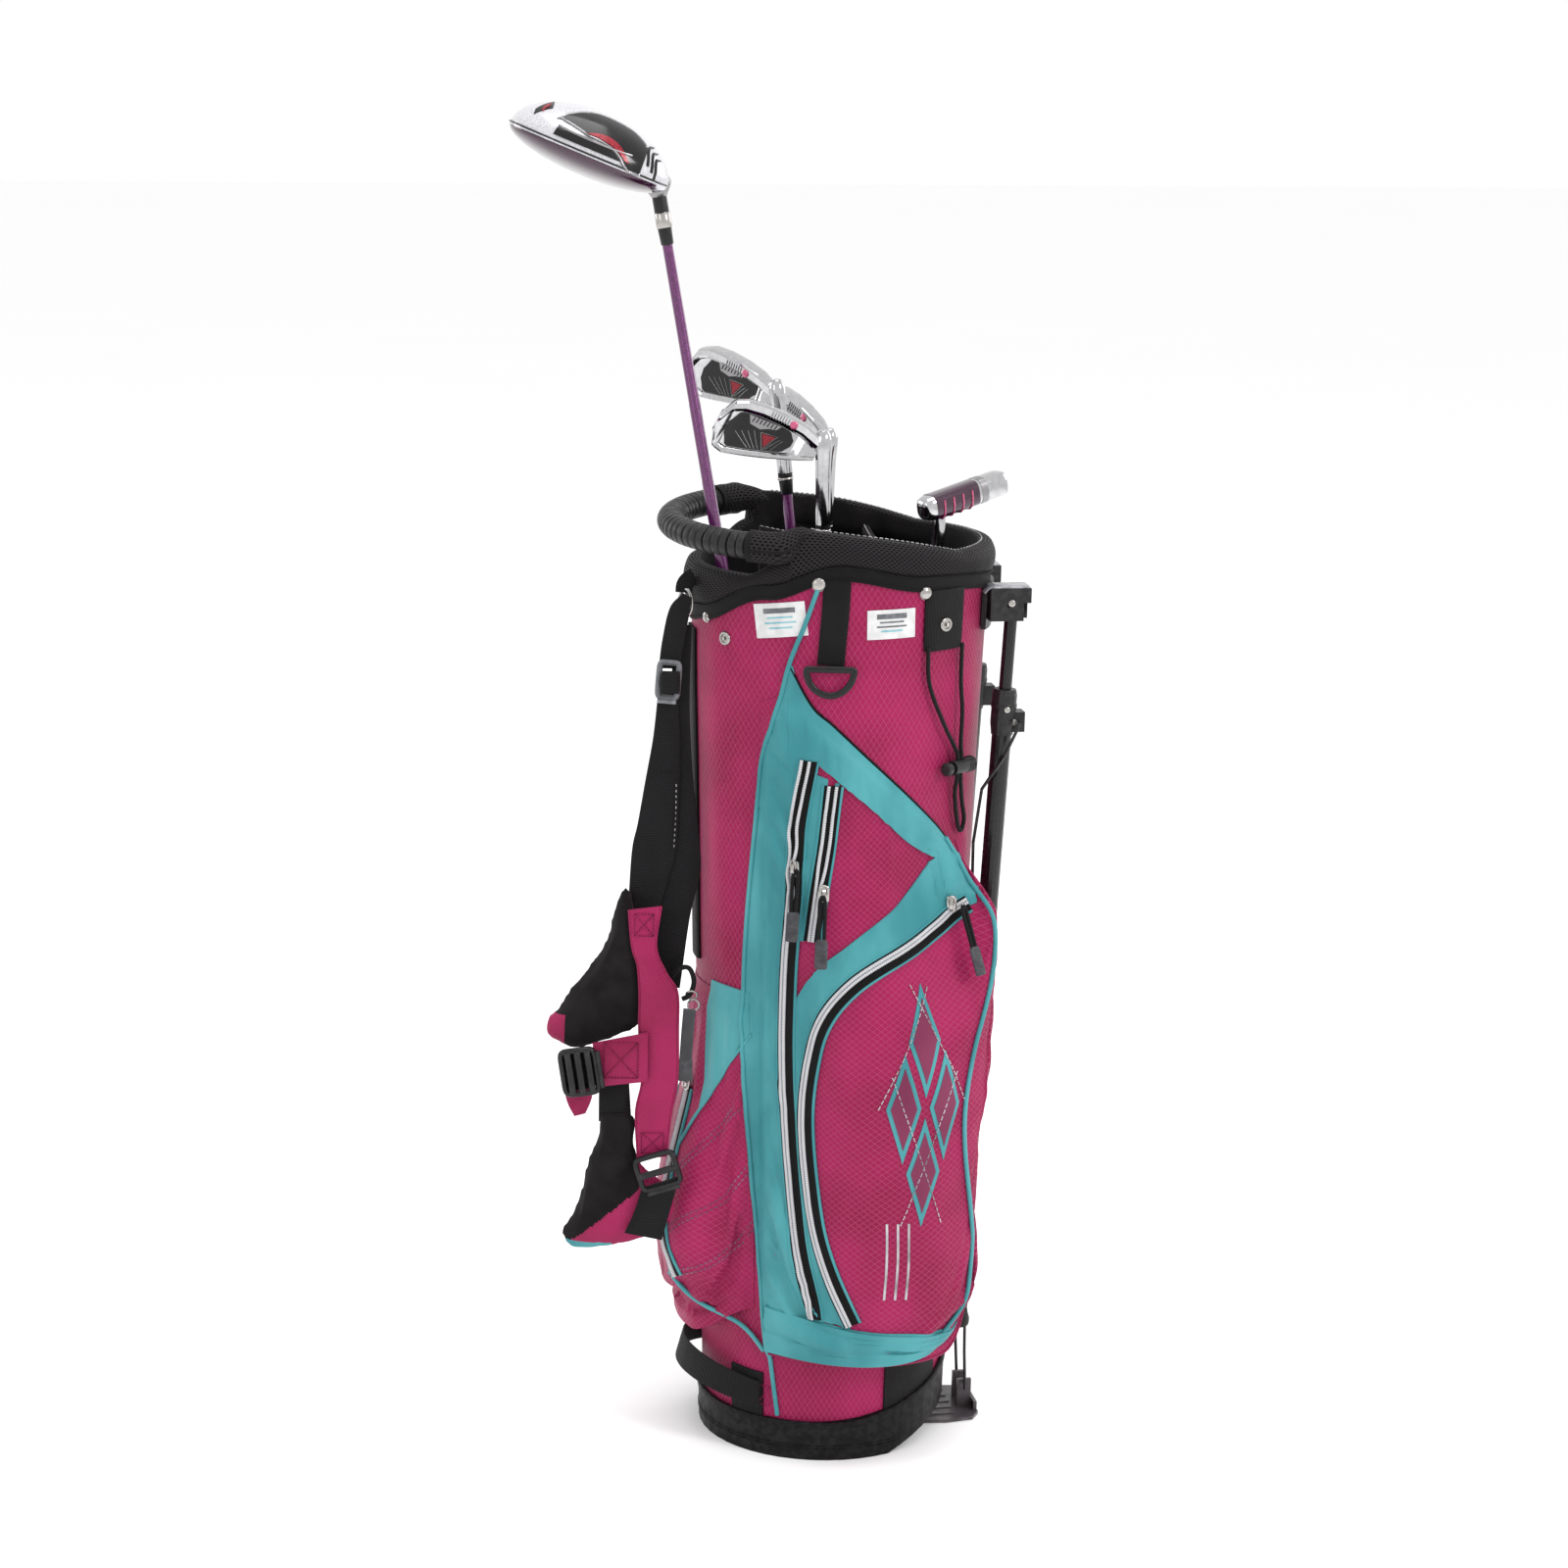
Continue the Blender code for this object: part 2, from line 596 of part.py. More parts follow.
# ---------------------------------------------------------------- carrying straps
def straps(mats):
    """The double shoulder strap that hangs on the -X side: webbing, yoke, pads and buckles."""
    facing = Vector((-0.20, -0.96, 0.14)).normalized()
    aside = Vector((0.97, -0.20, 0.0)).normalized()

    def band(name, mat, thick, spots):
        ribbon(name, [(c, (aside * math.cos(t) + Vector((0, 0, 1)) * math.sin(t)) * w, facing * thick)
                      for c, w, t in ((c, w, math.radians(d)) for c, w, d in spots)], mat)

    band("strap_webbing_upper", mats["webbing"], 0.0016,
         [((-0.1475, -0.030, 0.772), 0.012, -12), ((-0.153, -0.031, 0.745), 0.014, -10),
          ((-0.158, -0.032, 0.726), 0.014, -8)])
    band("strap_webbing_lower", mats["webbing"], 0.0016,
         [((-0.160, -0.034, 0.6975), 0.015, -6), ((-0.158, -0.036, 0.650), 0.017, -4),
          ((-0.161, -0.038, 0.600), 0.019, -6), ((-0.168, -0.040, 0.550), 0.020, -8),
          ((-0.172, -0.043, 0.5055), 0.016, -10)])
    band("strap_triglide", mats["glide"], 0.0032,
         [((-0.1583, -0.033, 0.7253), 0.0145, -7), ((-0.160, -0.033, 0.712), 0.0155, -7),
          ((-0.1605, -0.034, 0.6985), 0.0145, -7)])
    band("strap_yoke", mats["ripstop"], 0.0035,
         [((-0.1715, -0.050, 0.5045), 0.010, -10), ((-0.164, -0.055, 0.470), 0.013, 0),
          ((-0.155, -0.061, 0.430), 0.020, 8), ((-0.152, -0.063, 0.390), 0.021, 0),
          ((-0.157, -0.063, 0.345), 0.018, -8), ((-0.164, -0.064, 0.305), 0.017, -14)])
    band("shoulder_pad_upper", mats["ripstop"], 0.0075,
         [((-0.190, -0.035, 0.500), 0.008, 0), ((-0.202, -0.035, 0.470), 0.020, 4),
          ((-0.212, -0.036, 0.435), 0.030, 8), ((-0.221, -0.038, 0.405), 0.038, 10),
          ((-0.222, -0.041, 0.385), 0.037, 12), ((-0.224, -0.043, 0.355), 0.014, 14),
          ((-0.226, -0.044, 0.330), 0.007, 14)])
    band("shoulder_pad_lower", mats["ripstop"], 0.0075,
         [((-0.206, -0.044, 0.320), 0.007, 0), ((-0.200, -0.046, 0.295), 0.020, -6),
          ((-0.203, -0.050, 0.265), 0.034, -4), ((-0.201, -0.052, 0.235), 0.044, 4),
          ((-0.200, -0.050, 0.205), 0.044, 12), ((-0.220, -0.048, 0.187), 0.020, 14)])
    band("strap_buckle_upper", mats["plastic"], 0.0045,
         [((-0.2400, -0.0560, 0.3880), 0.0200, 20), ((-0.2340, -0.0575, 0.3400), 0.0200, 20)])
    band("strap_buckle_lower", mats["plastic"], 0.0045,
         [((-0.1660, -0.0745, 0.2990), 0.0190, 8), ((-0.1690, -0.0760, 0.2570), 0.0190, 8)])


# ---------------------------------------------------------------- stand legs
def leg_bracket(mats):
    """Moulded bracket on the collar's seam that carries both leg pivots."""
    x, y, z = LEG_PIVOT
    plate = wrap("leg_bracket", lambda u, v: (lerp(-28, 28, u), lerp(0.755, 0.794, v)),
                 lambda u, v: WRAP_GAP, lambda u, v: 0.006, 10, 2, mats["plastic"])
    for side in (-1, 1):
        block = box("bracket_arm_%d" % side, (0.1225, side * y - 0.012, z - 0.014),
                    (x + 0.0145, side * y + 0.012, z + 0.015), mats["plastic"])
        combine(plate, block, "UNION")
        slot = box("bracket_slot_%d" % side, (x - 0.0095, side * y - 0.0075, z - 0.03),
                   (x + 0.0105, side * y + 0.0075, z + 0.010), mats["plastic"])
        swing = Vector((math.cos(LEG_SPLAY), side * math.sin(LEG_SPLAY), 0))
        relief = box("bracket_relief_%d" % side, (0, -0.0075, -0.03), (0.03, 0.0075, 0.002), mats["plastic"])
        relief.data.transform(Matrix.Translation((x, side * y, z))
                              @ Matrix.Rotation(side * LEG_SPLAY, 4, "Z"))
        combine(plate, slot, "DIFFERENCE")
        combine(plate, relief, "DIFFERENCE")
        axis = Vector((swing.y, -swing.x, 0))
        hole = turned("bracket_hole_%d" % side, Vector((x, side * y, z)) - axis * 0.03, axis,
                      ((0, PIN_RADIUS + GAP), (0.06, PIN_RADIUS + GAP)), mats["plastic"], 12)
        combine(plate, hole, "DIFFERENCE")


def leg_line(side, z):
    x, y, top = LEG_PIVOT
    return Vector((x - LEG_LEAN * (top - z), side * y, z))


def leg(name, side, mats):
    x, y, z = LEG_PIVOT
    root = pivot(name + "_pivot", (x, side * y, z))
    swing = Vector((math.cos(LEG_SPLAY), side * math.sin(LEG_SPLAY), 0))
    axis = Vector((swing.y, -swing.x, 0))
    down = (leg_line(side, 0) - leg_line(side, z)).normalized()
    stretch = 1 / -down.z
    turned(name + "_pin", Vector((x, side * y, z)) - axis * 0.0085, axis,
           ((0, PIN_RADIUS), (0.017, PIN_RADIUS)), mats["steel"], 12)

    def bar(suffix, top, bottom, profile, mat, sides):
        length = (top - bottom) * stretch
        return turned(name + suffix, leg_line(side, top), down,
                      [(f * length, r) for f, r in profile], mat, sides)

    upper = bar("_upper_tube", z + 0.0065, HOUSING_TOP + GAP, ((0, UPPER_RADIUS), (1, UPPER_RADIUS)),
                mats["tube"], 14)
    eye = turned(name + "_eye", Vector((x, side * y, z)) - axis * 0.02, axis,
                 ((0, PIN_RADIUS + GAP), (0.04, PIN_RADIUS + GAP)), mats["tube"], 12)
    combine(upper, eye, "DIFFERENCE")
    housing = bar("_housing", HOUSING_TOP, HOUSING_BOTTOM,
                  ((0, 0.0095), (0.08, 0.0112), (0.75, 0.0112), (1, 0.0098)), mats["plastic"], 14)
    knob = Vector((KNOB[0], side * KNOB[1], KNOB[2]))
    middle = leg_line(side, KNOB[2])
    ear = box(name + "_ear", (middle.x + 0.004, side * y - 0.0075, KNOB[2] - 0.009),
              (KNOB[0] + 0.006, side * y + 0.0075, KNOB[2] + 0.009), mats["plastic"])
    combine(housing, ear, "UNION")
    lower = bar("_lower_tube", HOUSING_BOTTOM - GAP, LEG_END, ((0, LOWER_RADIUS), (1, LOWER_RADIUS)),
                mats["tube"], 16)
    foot = bar("_foot", LEG_END - GAP, FOOT_END, ((0, 0.0100), (0.6, 0.0100), (0.85, 0.0125), (1, 0.0120)),
               mats["rubber"], 16)
    for piece in (upper, housing, lower, foot):
        under(set_origin(piece, root.location), root)
    wire_route = [knob - Vector((0, side * 0.0060, 0)), knob, (0.1380, side * 0.0702, 0.6420),
                  (0.1205, side * 0.0640, 0.6120), (0.1175, side * 0.0510, 0.5600),
                  (0.1220, side * 0.0385, 0.4000), (0.1330, side * 0.0180, 0.0600),
                  (0.1350, side * 0.0170, 0.0220)]
    wire = tube(name + "_wire", wire_route, WIRE_RADIUS, mats["tube"], 2)
    hinge = pivot(name + "_wire_pivot", knob)
    under(set_origin(wire, knob), hinge)
    hinge.parent = root
    hinge.matrix_parent_inverse = Matrix.Translation(-root.location)


# ---------------------------------------------------------------- clubs
CLUBS = (
    # name, kind, butt (x, y), mouth (x, y, z), height of the shaft's top
    ("driver", "driver", (0.033, -0.060), (-0.1085, -0.009, 0.815), 1.075),
    ("iron_long", "iron", (0.058, 0.040), (-0.0400, 0.0360, 0.850), 0.8810),
    ("iron_mid", "iron", (0.000, 0.005), (-0.0190, -0.0170, 0.839), 0.8430),
    ("iron_short", "iron", (-0.020, 0.079), (0.0010, 0.0680, 0.847), 0.8320),
    ("putter", "putter", (0.076, -0.034), (0.0820, -0.0300, 0.825), 0.8150),
)
IRON_STATIONS = (
    # distance towards the toe, height of the sole edge, height of the top edge, sole and top thickness
    (-0.003, 0.005, 0.027, 0.011, 0.009), (0.017, 0.000, 0.037, 0.0165, 0.006), (0.036, -0.001, 0.045, 0.0175, 0.005),
    (0.055, 0.000, 0.052, 0.0175, 0.005), (0.071, 0.003, 0.057, 0.0165, 0.005), (0.082, 0.009, 0.055, 0.0140, 0.005),
    (0.088, 0.018, 0.046, 0.0100, 0.005))
TOE_TURN = {"iron_long": 134.0, "iron_mid": 176.0, "iron_short": 122.0}
LIE = math.radians(62)


def club_axis(butt, mouth):
    heel = (butt[0] + GRIP_FULL - HEEL_START) * math.tan(HEEL_ANGLE) + HEEL_THICK + 0.003
    start = Vector((butt[0], butt[1], max(CLUB_FLOOR, heel)))
    return start, (Vector(mouth) - start).normalized()


def iron_head(name, top, up, toe_angle, mats):
    """An iron's blade with its hosel; the toe points level and up from the shaft's line."""
    flat = Vector((math.cos(math.radians(toe_angle)), math.sin(math.radians(toe_angle)), 0))
    flat = (flat - up * flat.dot(up)).normalized()
    toe = (flat * math.sin(LIE) + up * math.cos(LIE)).normalized()
    sole = (up * math.sin(LIE) - flat * math.cos(LIE)).normalized()
    depth = sole.cross(toe).normalized()
    heel = top + up * 0.082
    rings = []
    for out, low, high, thick, thin in IRON_STATIONS:
        base = heel + toe * out
        rings.append([base - sole * low - depth * thick * 0.5, base - sole * low + depth * thick * 0.5,
                      base - sole * (low + 0.010) + depth * thick * 0.5,
                      base - sole * high + depth * (thin - thick * 0.5), base - sole * high - depth * thick * 0.5])
    blade = loft(name, rings, mats["chrome"])
    hosel = turned(name + "_hosel", top, up, ((GAP, 0.0066), (0.055, 0.0066), (0.068, 0.0074), (0.078, 0.0066),
                                                      (0.082, 0.0045)), mats["chrome"], 16)
    combine(blade, hosel, "UNION")
    return blade


def driver_head(name, top, up, mats):
    """A rounded hollow wood head, here a solid with its flat face and hosel."""
    toe = Vector((-0.99, 0.10, 0)).normalized()
    toe = (toe - up * toe.dot(up)).normalized()
    toe_tip = (toe * math.sin(math.radians(58)) + up * math.cos(math.radians(58))).normalized()
    high = (up * math.sin(math.radians(58)) - toe * math.cos(math.radians(58))).normalized()
    back = high.cross(toe_tip).normalized()
    centre = top + up * 0.064 + toe_tip * 0.064 + back * 0.020
    mesh = bpy.data.meshes.new(name)
    bm = bmesh.new()
    bmesh.ops.create_uvsphere(bm, u_segments=24, v_segments=12, radius=1.0)
    for vert in bm.verts:
        x, y, z = vert.co
        lift = 0.038 if z > 0 else 0.019
        vert.co = centre + toe_tip * x * 0.072 + back * max(y, -0.84) * 0.055 + high * z * lift
    bmesh.ops.recalc_face_normals(bm, faces=bm.faces)
    bm.to_mesh(mesh)
    bm.free()
    head = new_object(name, mesh, mats["chrome"])
    hosel = turned(name + "_hosel", top, up, ((GAP, 0.0068), (0.028, 0.0072), (0.045, 0.0090), (0.062, 0.0100)),
                   mats["chrome"], 16)
    combine(head, hosel, "UNION")
    return head


def putter_head(name, top, up, mats):
    """A blade putter on a bent neck."""
    along_x = Vector((0.87, 0.42, 0.20)).normalized()
    side = along_x.cross(Vector((0, 0, 1))).normalized()
    high = side.cross(along_x).normalized()
    centre = top + up * 0.0475 + along_x * 0.026
    rings = []
    for k, (out, scale) in enumerate(((-0.046, 0.75), (-0.040, 1), (0.041, 1), (0.047, 0.8))):
        spot = centre + along_x * out
        rings.append([spot + side * s * 0.0105 * scale + high * t * 0.0115 * scale
                      for s, t in ((-1, -0.9), (1, -0.9), (1, 0.3), (0.7, 1), (-0.6, 1), (-1, 0.6))])
    blade = loft(name, rings, mats["chrome"])
    neck = turned(name + "_neck", top, up, ((GAP, 0.0058), (0.036, 0.0058), (0.043, 0.0065)), mats["chrome"], 14)
    combine(blade, neck, "UNION")
    return blade


def clubs(mats):
    for name, kind, butt, mouth, shaft_top in CLUBS:
        start, up = club_axis(butt, mouth)
        length = (shaft_top - start.z) / up.z
        joint = pivot(name + "_slide", start)
        grip = turned(name + "_grip", start, up, ((0, GRIP_FULL * 0.9), (0.004, GRIP_FULL),
                      (GRIP_LENGTH * 0.5, 0.0112), (GRIP_LENGTH - GAP, GRIP_SLIM)), mats["rubber"], 14)
        shaft = turned(name + "_shaft", start, up, ((GRIP_LENGTH, SHAFT_BUTT), (length, SHAFT_TIP)),
                       mats["shaft"], 14)
        top = start + up * length
        if kind == "driver":
            head = driver_head(name + "_head", top, up, mats)
        elif kind == "iron":
            head = iron_head(name + "_head", top, up, TOE_TURN[name], mats)
        else:
            head = putter_head(name + "_head", top, up, mats)
        for piece in (grip, shaft, head):
            tools = [m.object for m in piece.modifiers]
            for part in [piece] + tools:
                set_origin(part, start)
                under(part, joint)


def palette():
    return {
        "ripstop": material("magenta ripstop", (0.43, 0.018, 0.105), 0.55),
        "mesh": material("black air mesh", (0.012, 0.011, 0.011), 0.85),
        "webbing": material("black webbing", (0.010, 0.010, 0.010), 0.80),
        "cord": material("black cord", (0.012, 0.012, 0.012), 0.75),
        "handle": material("black handle rubber", (0.020, 0.018, 0.018), 0.50),
        "base": material("black base moulding", (0.015, 0.014, 0.014), 0.50),
        "plastic": material("black plastic", (0.013, 0.012, 0.012), 0.42),
        "flap": material("grey flap moulding", (0.09, 0.08, 0.085), 0.40),
        "glide": material("grey nylon", (0.16, 0.16, 0.17), 0.45),
        "tube": material("black painted tube", (0.015, 0.013, 0.014), 0.30),
        "steel": material("nickel steel", (0.62, 0.60, 0.58), 0.25, 1.0),
        "rubber": material("black rubber", (0.012, 0.012, 0.012), 0.70),
        "shaft": material("purple shaft", (0.11, 0.015, 0.10), 0.25, 0.3),
        "chrome": material("chromed head", (0.70, 0.69, 0.68), 0.15, 1.0),
        "lining": material("divider lining", (0.014, 0.013, 0.013), 0.90),
    }


def build():
    clear_scene()
    mats = palette()
    base_cup(mats["base"])
    flap(mats)
    bag_tube(mats["ripstop"])
    top_collar(mats["mesh"])
    collar_frame(mats["plastic"])
    stays(mats["plastic"])
    dividers(mats["lining"])
    carrying_handle(mats["handle"])
    garment_pockets(mats["ripstop"])
    ball_pocket(mats["ripstop"])
    zip_pulls(mats["plastic"])
    towel_loop(mats)
    umbrella_cord(mats)
    base_grab_strap(mats["webbing"])
    straps(mats)
    leg_bracket(mats)
    leg("leg_near", -1, mats)
    leg("leg_far", 1, mats)
    clubs(mats)


build()
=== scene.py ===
import math

import bpy
import bmesh
from mathutils import Matrix, Vector, noise
from mathutils.bvhtree import BVHTree


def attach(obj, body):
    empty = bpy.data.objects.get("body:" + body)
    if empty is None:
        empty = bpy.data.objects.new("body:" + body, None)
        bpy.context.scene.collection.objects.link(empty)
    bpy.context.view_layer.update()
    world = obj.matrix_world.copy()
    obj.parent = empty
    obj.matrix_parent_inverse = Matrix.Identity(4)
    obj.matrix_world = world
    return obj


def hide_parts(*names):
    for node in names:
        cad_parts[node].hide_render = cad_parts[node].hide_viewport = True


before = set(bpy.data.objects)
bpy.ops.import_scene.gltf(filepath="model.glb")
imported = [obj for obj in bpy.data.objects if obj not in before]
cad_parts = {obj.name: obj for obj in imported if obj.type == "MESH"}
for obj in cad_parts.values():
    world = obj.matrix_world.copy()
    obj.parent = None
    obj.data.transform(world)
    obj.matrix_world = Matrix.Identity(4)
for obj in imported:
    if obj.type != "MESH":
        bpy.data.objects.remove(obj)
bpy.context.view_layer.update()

UP = Vector((0, 0, 1))

# ---------------------------------------------------------------- driving dimensions, as in the frame
BASE_A, BASE_B, TOP_A, TOP_B, TAPER_HEIGHT = 0.109, 0.107, 0.132, 0.118, 0.80
WRAP_GAP, TUBE_WALL, TUBE_BOTTOM = 0.0014, 0.003, 0.034
CUP_OUT, CUP_RIM, CUP_RIM_RISE = 0.0038, 0.036, 0.033
SEAM_HEIGHTS = ((0, 0.800), (66, 0.811), (100, 0.823), (128, 0.803), (163, 0.776), (180, 0.770))
RIM_MID, RIM_SLOPE, RIM_DROOP, LIP_HEIGHT, LIP_SPAN = 0.848, 0.12, 0.9, 0.811, 60.0
COLLAR_PROFILE = ((0.001, 0.0), (0.0055, 0.22), (0.0065, 0.6), (0.003, 0.92), (-0.001, 1.0),
                  (-0.006, 1.0), (-0.010, 0.9), (-0.010, 0.25), (-0.003, 0.0))
HANDLE_A, HANDLE_B, HANDLE_SPAN, HANDLE_Z, HANDLE_TILT = 0.150, 0.119, 59.3, 0.843, 0.05
HANDLE_RADIUS = 0.0125
DIVIDER_Y, DIVIDER_X, DIVIDER_HALF, DIVIDER_LOW, DIVIDER_DEPTH = 0.012, 0.045, 0.004, 0.783, 0.018
POCKET_LEFT, POCKET_BOTTOM, POCKET_DEPTH = -131.0, 0.100, 0.051
POCKET_TOP = ((-132.0, 0.700), (-119.0, 0.712), (-48.0, 0.572))
POCKET_RIGHT = ((0.10, -39.0), (0.211, -42.0), (0.30, -45.0), (0.379, -42.0), (0.483, -38.0), (0.60, -45.0))
BALL_ANGLES, BALL_HEIGHTS, BALL_DEPTH = (-134.0, -226.0), (0.108, 0.430), 0.046
LEG_PIVOT, LEG_LEAN = (0.1445, 0.0555, 0.778), 0.046
KNOB = (0.1520, 0.0700, 0.6720)


def lerp(a, b, t):
    return a + (b - a) * t


def smooth(value, low, high):
    """0 below low, 1 above high, an S-curve between."""
    t = min(max((value - low) / (high - low), 0.0), 1.0)
    return t * t * (3 - 2 * t)


def along(table, value):
    """Straight interpolation in a short table of pairs."""
    for (x0, y0), (x1, y1) in zip(table, table[1:]):
        if value <= x1:
            return lerp(y0, y1, min(max((value - x0) / (x1 - x0), 0.0), 1.0))
    return table[-1][1]


def ellipse_radii(z):
    """Half width and half depth of the bag at a height."""
    t = min(max(z / TAPER_HEIGHT, 0.0), 1.0)
    return lerp(BASE_A, TOP_A, t), lerp(BASE_B, TOP_B, t)


def bag_point(angle, z, out=0.0):
    """Point of the bag's surface at an angle, moved outwards by out."""
    a, b = ellipse_radii(z)
    t = math.radians(angle)
    return Vector(((a + out) * math.cos(t), (b + out) * math.sin(t), z))


def bag_outward(angle, z):
    """Outward direction of the bag's surface at an angle."""
    a, b = ellipse_radii(z)
    t = math.radians(angle)
    return Vector((b * math.cos(t), a * math.sin(t), 0)).normalized()


def above_bag(point):
    """Outward direction at a point, and its height over the bag's surface."""
    a, b = ellipse_radii(point.z)
    angle = math.degrees(math.atan2(point.y / b, point.x / a))
    out = bag_outward(angle, point.z)
    return out, (point - bag_point(angle, point.z)).dot(out)


def from_handle(angle):
    """Degrees from the carrying handle's middle, either way."""
    return abs(abs((angle + 180) % 360 - 180) - 180)


def seam_height(angle):
    """Height of the seam between the body's fabric and the collar."""
    turn = abs((angle + 180) % 360 - 180)
    for (a0, z0), (a1, z1) in zip(SEAM_HEIGHTS, SEAM_HEIGHTS[1:]):
        if turn <= a1:
            return lerp(z0, z1, smooth(turn, a0, a1))
    return SEAM_HEIGHTS[-1][1]


def full_rim(x):
    """Height of the tilted rim away from the handle's lip."""
    return RIM_MID - RIM_SLOPE * x - RIM_DROOP * max(x, 0) ** 2


def rim_height(angle):
    """Top of the collar: a tilted rim that dips to a low lip under the carrying handle."""
    full = full_rim(TOP_A * math.cos(math.radians(angle)))
    return lerp(LIP_HEIGHT, full, smooth(from_handle(angle), LIP_SPAN, LIP_SPAN + 2.5))


def pocket_place(u, v):
    """Angle and height on the garment pocket at shares across and up it."""
    u = 1 - (1 - u) ** 1.5
    right = along(POCKET_RIGHT, lerp(POCKET_BOTTOM, 0.60, v))
    angle = lerp(POCKET_LEFT, right, u)
    return angle, lerp(POCKET_BOTTOM, along(POCKET_TOP, angle), v)


def pocket_depth(u, v):
    """The garment pocket is thin at its left seam and top, and full along its right side."""
    waist = 1 - smooth(abs(v - 0.48), 0.06, 0.34)
    sideways = smooth(1 - (1 - u) ** 1.5, 0.0, 0.78) * (1 - lerp(0.25, 0.60, waist) * smooth(u, 0.90, 1.0))
    fall = lerp(0.50, 0.14, smooth(u, 0.55, 0.95))
    upward = smooth(1 - v, 0.0, fall) * (0.60 + 0.40 * smooth(v, 0.0, 0.12))
    return WRAP_GAP + 0.0035 + POCKET_DEPTH * sideways * upward


def ball_place(u, v):
    """Angle and height on the ball pocket at shares across and up it."""
    dip = 0.03 * smooth(abs(u - 0.5), 0.2, 0.5) * (1 - v)
    return lerp(BALL_ANGLES[0], BALL_ANGLES[1], u), lerp(BALL_HEIGHTS[0] + dip, BALL_HEIGHTS[1], v)


def ball_depth(u, v):
    """The ball pocket is full in its middle and thin at its seams and top."""
    sideways = smooth(u, 0.0, 0.30) * smooth(1 - u, 0.0, 0.30)
    upward = smooth(1 - v, 0.0, 0.75) * (0.45 + 0.55 * smooth(v, 0.0, 0.28))
    return WRAP_GAP + 0.003 + BALL_DEPTH * sideways * upward


# ---------------------------------------------------------------- materials
LIT = 0.72  # share of a colour that is reflectance; the studio's light supplies the rest
DULL = {"ripstop": 0.16, "air_mesh": 0.10, "webbing": 0.14, "cord": 0.16, "lining": 0.08,
        "teal_satin": 0.22,
        "zip_tape": 0.12, "handle_rubber": 0.30, "base_moulding": 0.12, "black_plastic": 0.32,
        "grip_rubber": 0.25,
        "grey_nylon": 0.35, "flap_moulding": 0.4, "painted_tube": 0.35, "club_badge": 0.35}


def srgb(red, green, blue):
    """Linear colour from 0-255 values as seen in the studio."""
    return tuple(LIT * (((c / 255 + 0.055) / 1.055) ** 2.4 if c > 10 else c / 255 / 12.92)
                 for c in (red, green, blue)) + (1.0,)


def shaded(shade, factor):
    """The linear colour of a shade, made darker or brighter."""
    return tuple(c * factor for c in srgb(*shade)[:3]) + (1.0,)


class Look:
    """A Principled material with its nodes, and the record's slot it belongs to."""

    def __init__(self, name, slot, color, roughness, metallic=0.0, extra=()):
        self.material = bpy.data.materials.new(name)
        self.material.use_nodes = True
        self.material.diffuse_color = color
        self.tree = self.material.node_tree
        self.shader = self.tree.nodes["Principled BSDF"]
        self.slot = slot
        self.set("Base Color", color)
        self.set("Roughness", roughness)
        self.set("Metallic", metallic)
        self.set("Specular IOR Level", DULL.get(slot, 0.5))
        for key, value in dict(extra).items():
            self.set(key, value)

    def put(self, socket, value):
        if isinstance(value, bpy.types.NodeSocket):
            self.tree.links.new(value, socket)
        else:
            socket.default_value = value

    def set(self, key, value):
        self.put(self.shader.inputs[key], value)

    def node(self, kind, inputs=(), **settings):
        node = self.tree.nodes.new(kind)
        for key, value in settings.items():
            setattr(node, key, value)
        for key, value in dict(inputs).items():
            self.put(node.inputs[key], value)
        return node

    def calc(self, operation, *values):
        node = self.node("ShaderNodeMath", enumerate(values), operation=operation)
        return node.outputs[0]

    def weave(self):
        """Lengths along and across the cloth, in metres."""
        lengths = self.node("ShaderNodeAttribute", attribute_name="weave").outputs["Vector"]
        split = self.node("ShaderNodeSeparateXYZ", {0: lengths})
        return split.outputs[0], split.outputs[1]

    def noise(self, scale, detail=3.0, stretch=(1, 1, 1)):
        place = self.node("ShaderNodeTexCoord").outputs["Object"]
        mapped = self.node("ShaderNodeMapping", {"Vector": place, "Scale": stretch}).outputs[0]
        return self.node("ShaderNodeTexNoise",
                         {"Vector": mapped, "Scale": scale, "Detail": detail}).outputs[0]

    def cells(self, scale):
        place = self.node("ShaderNodeTexCoord").outputs["Object"]
        return self.node("ShaderNodeTexVoronoi", {"Vector": place, "Scale": scale}).outputs["Distance"]

    def band(self, value, low, high, start=0.0, end=1.0):
        inputs = {"Value": value, "From Min": low, "From Max": high, "To Min": start, "To Max": end}
        return self.node("ShaderNodeMapRange", inputs, interpolation_type="SMOOTHSTEP").outputs[0]

    def mix(self, factor, first, second):
        return self.node("ShaderNodeMix", {0: factor, 6: first, 7: second}, data_type="RGBA").outputs[2]

    def ribs(self, value, pitch, low=0.0, high=0.5):
        """0 to 1 across each repeat of a stripe."""
        fold = self.calc("PINGPONG", self.calc("DIVIDE", value, pitch), 0.5)
        return self.band(fold, low, high)

    def bump(self, height, distance, strength=1.0):
        inputs = {"Height": height, "Distance": distance, "Strength": strength}
        if self.shader.inputs["Normal"].is_linked:
            inputs["Normal"] = self.shader.inputs["Normal"].links[0].from_socket
        self.set("Normal", self.node("ShaderNodeBump", inputs).outputs[0])


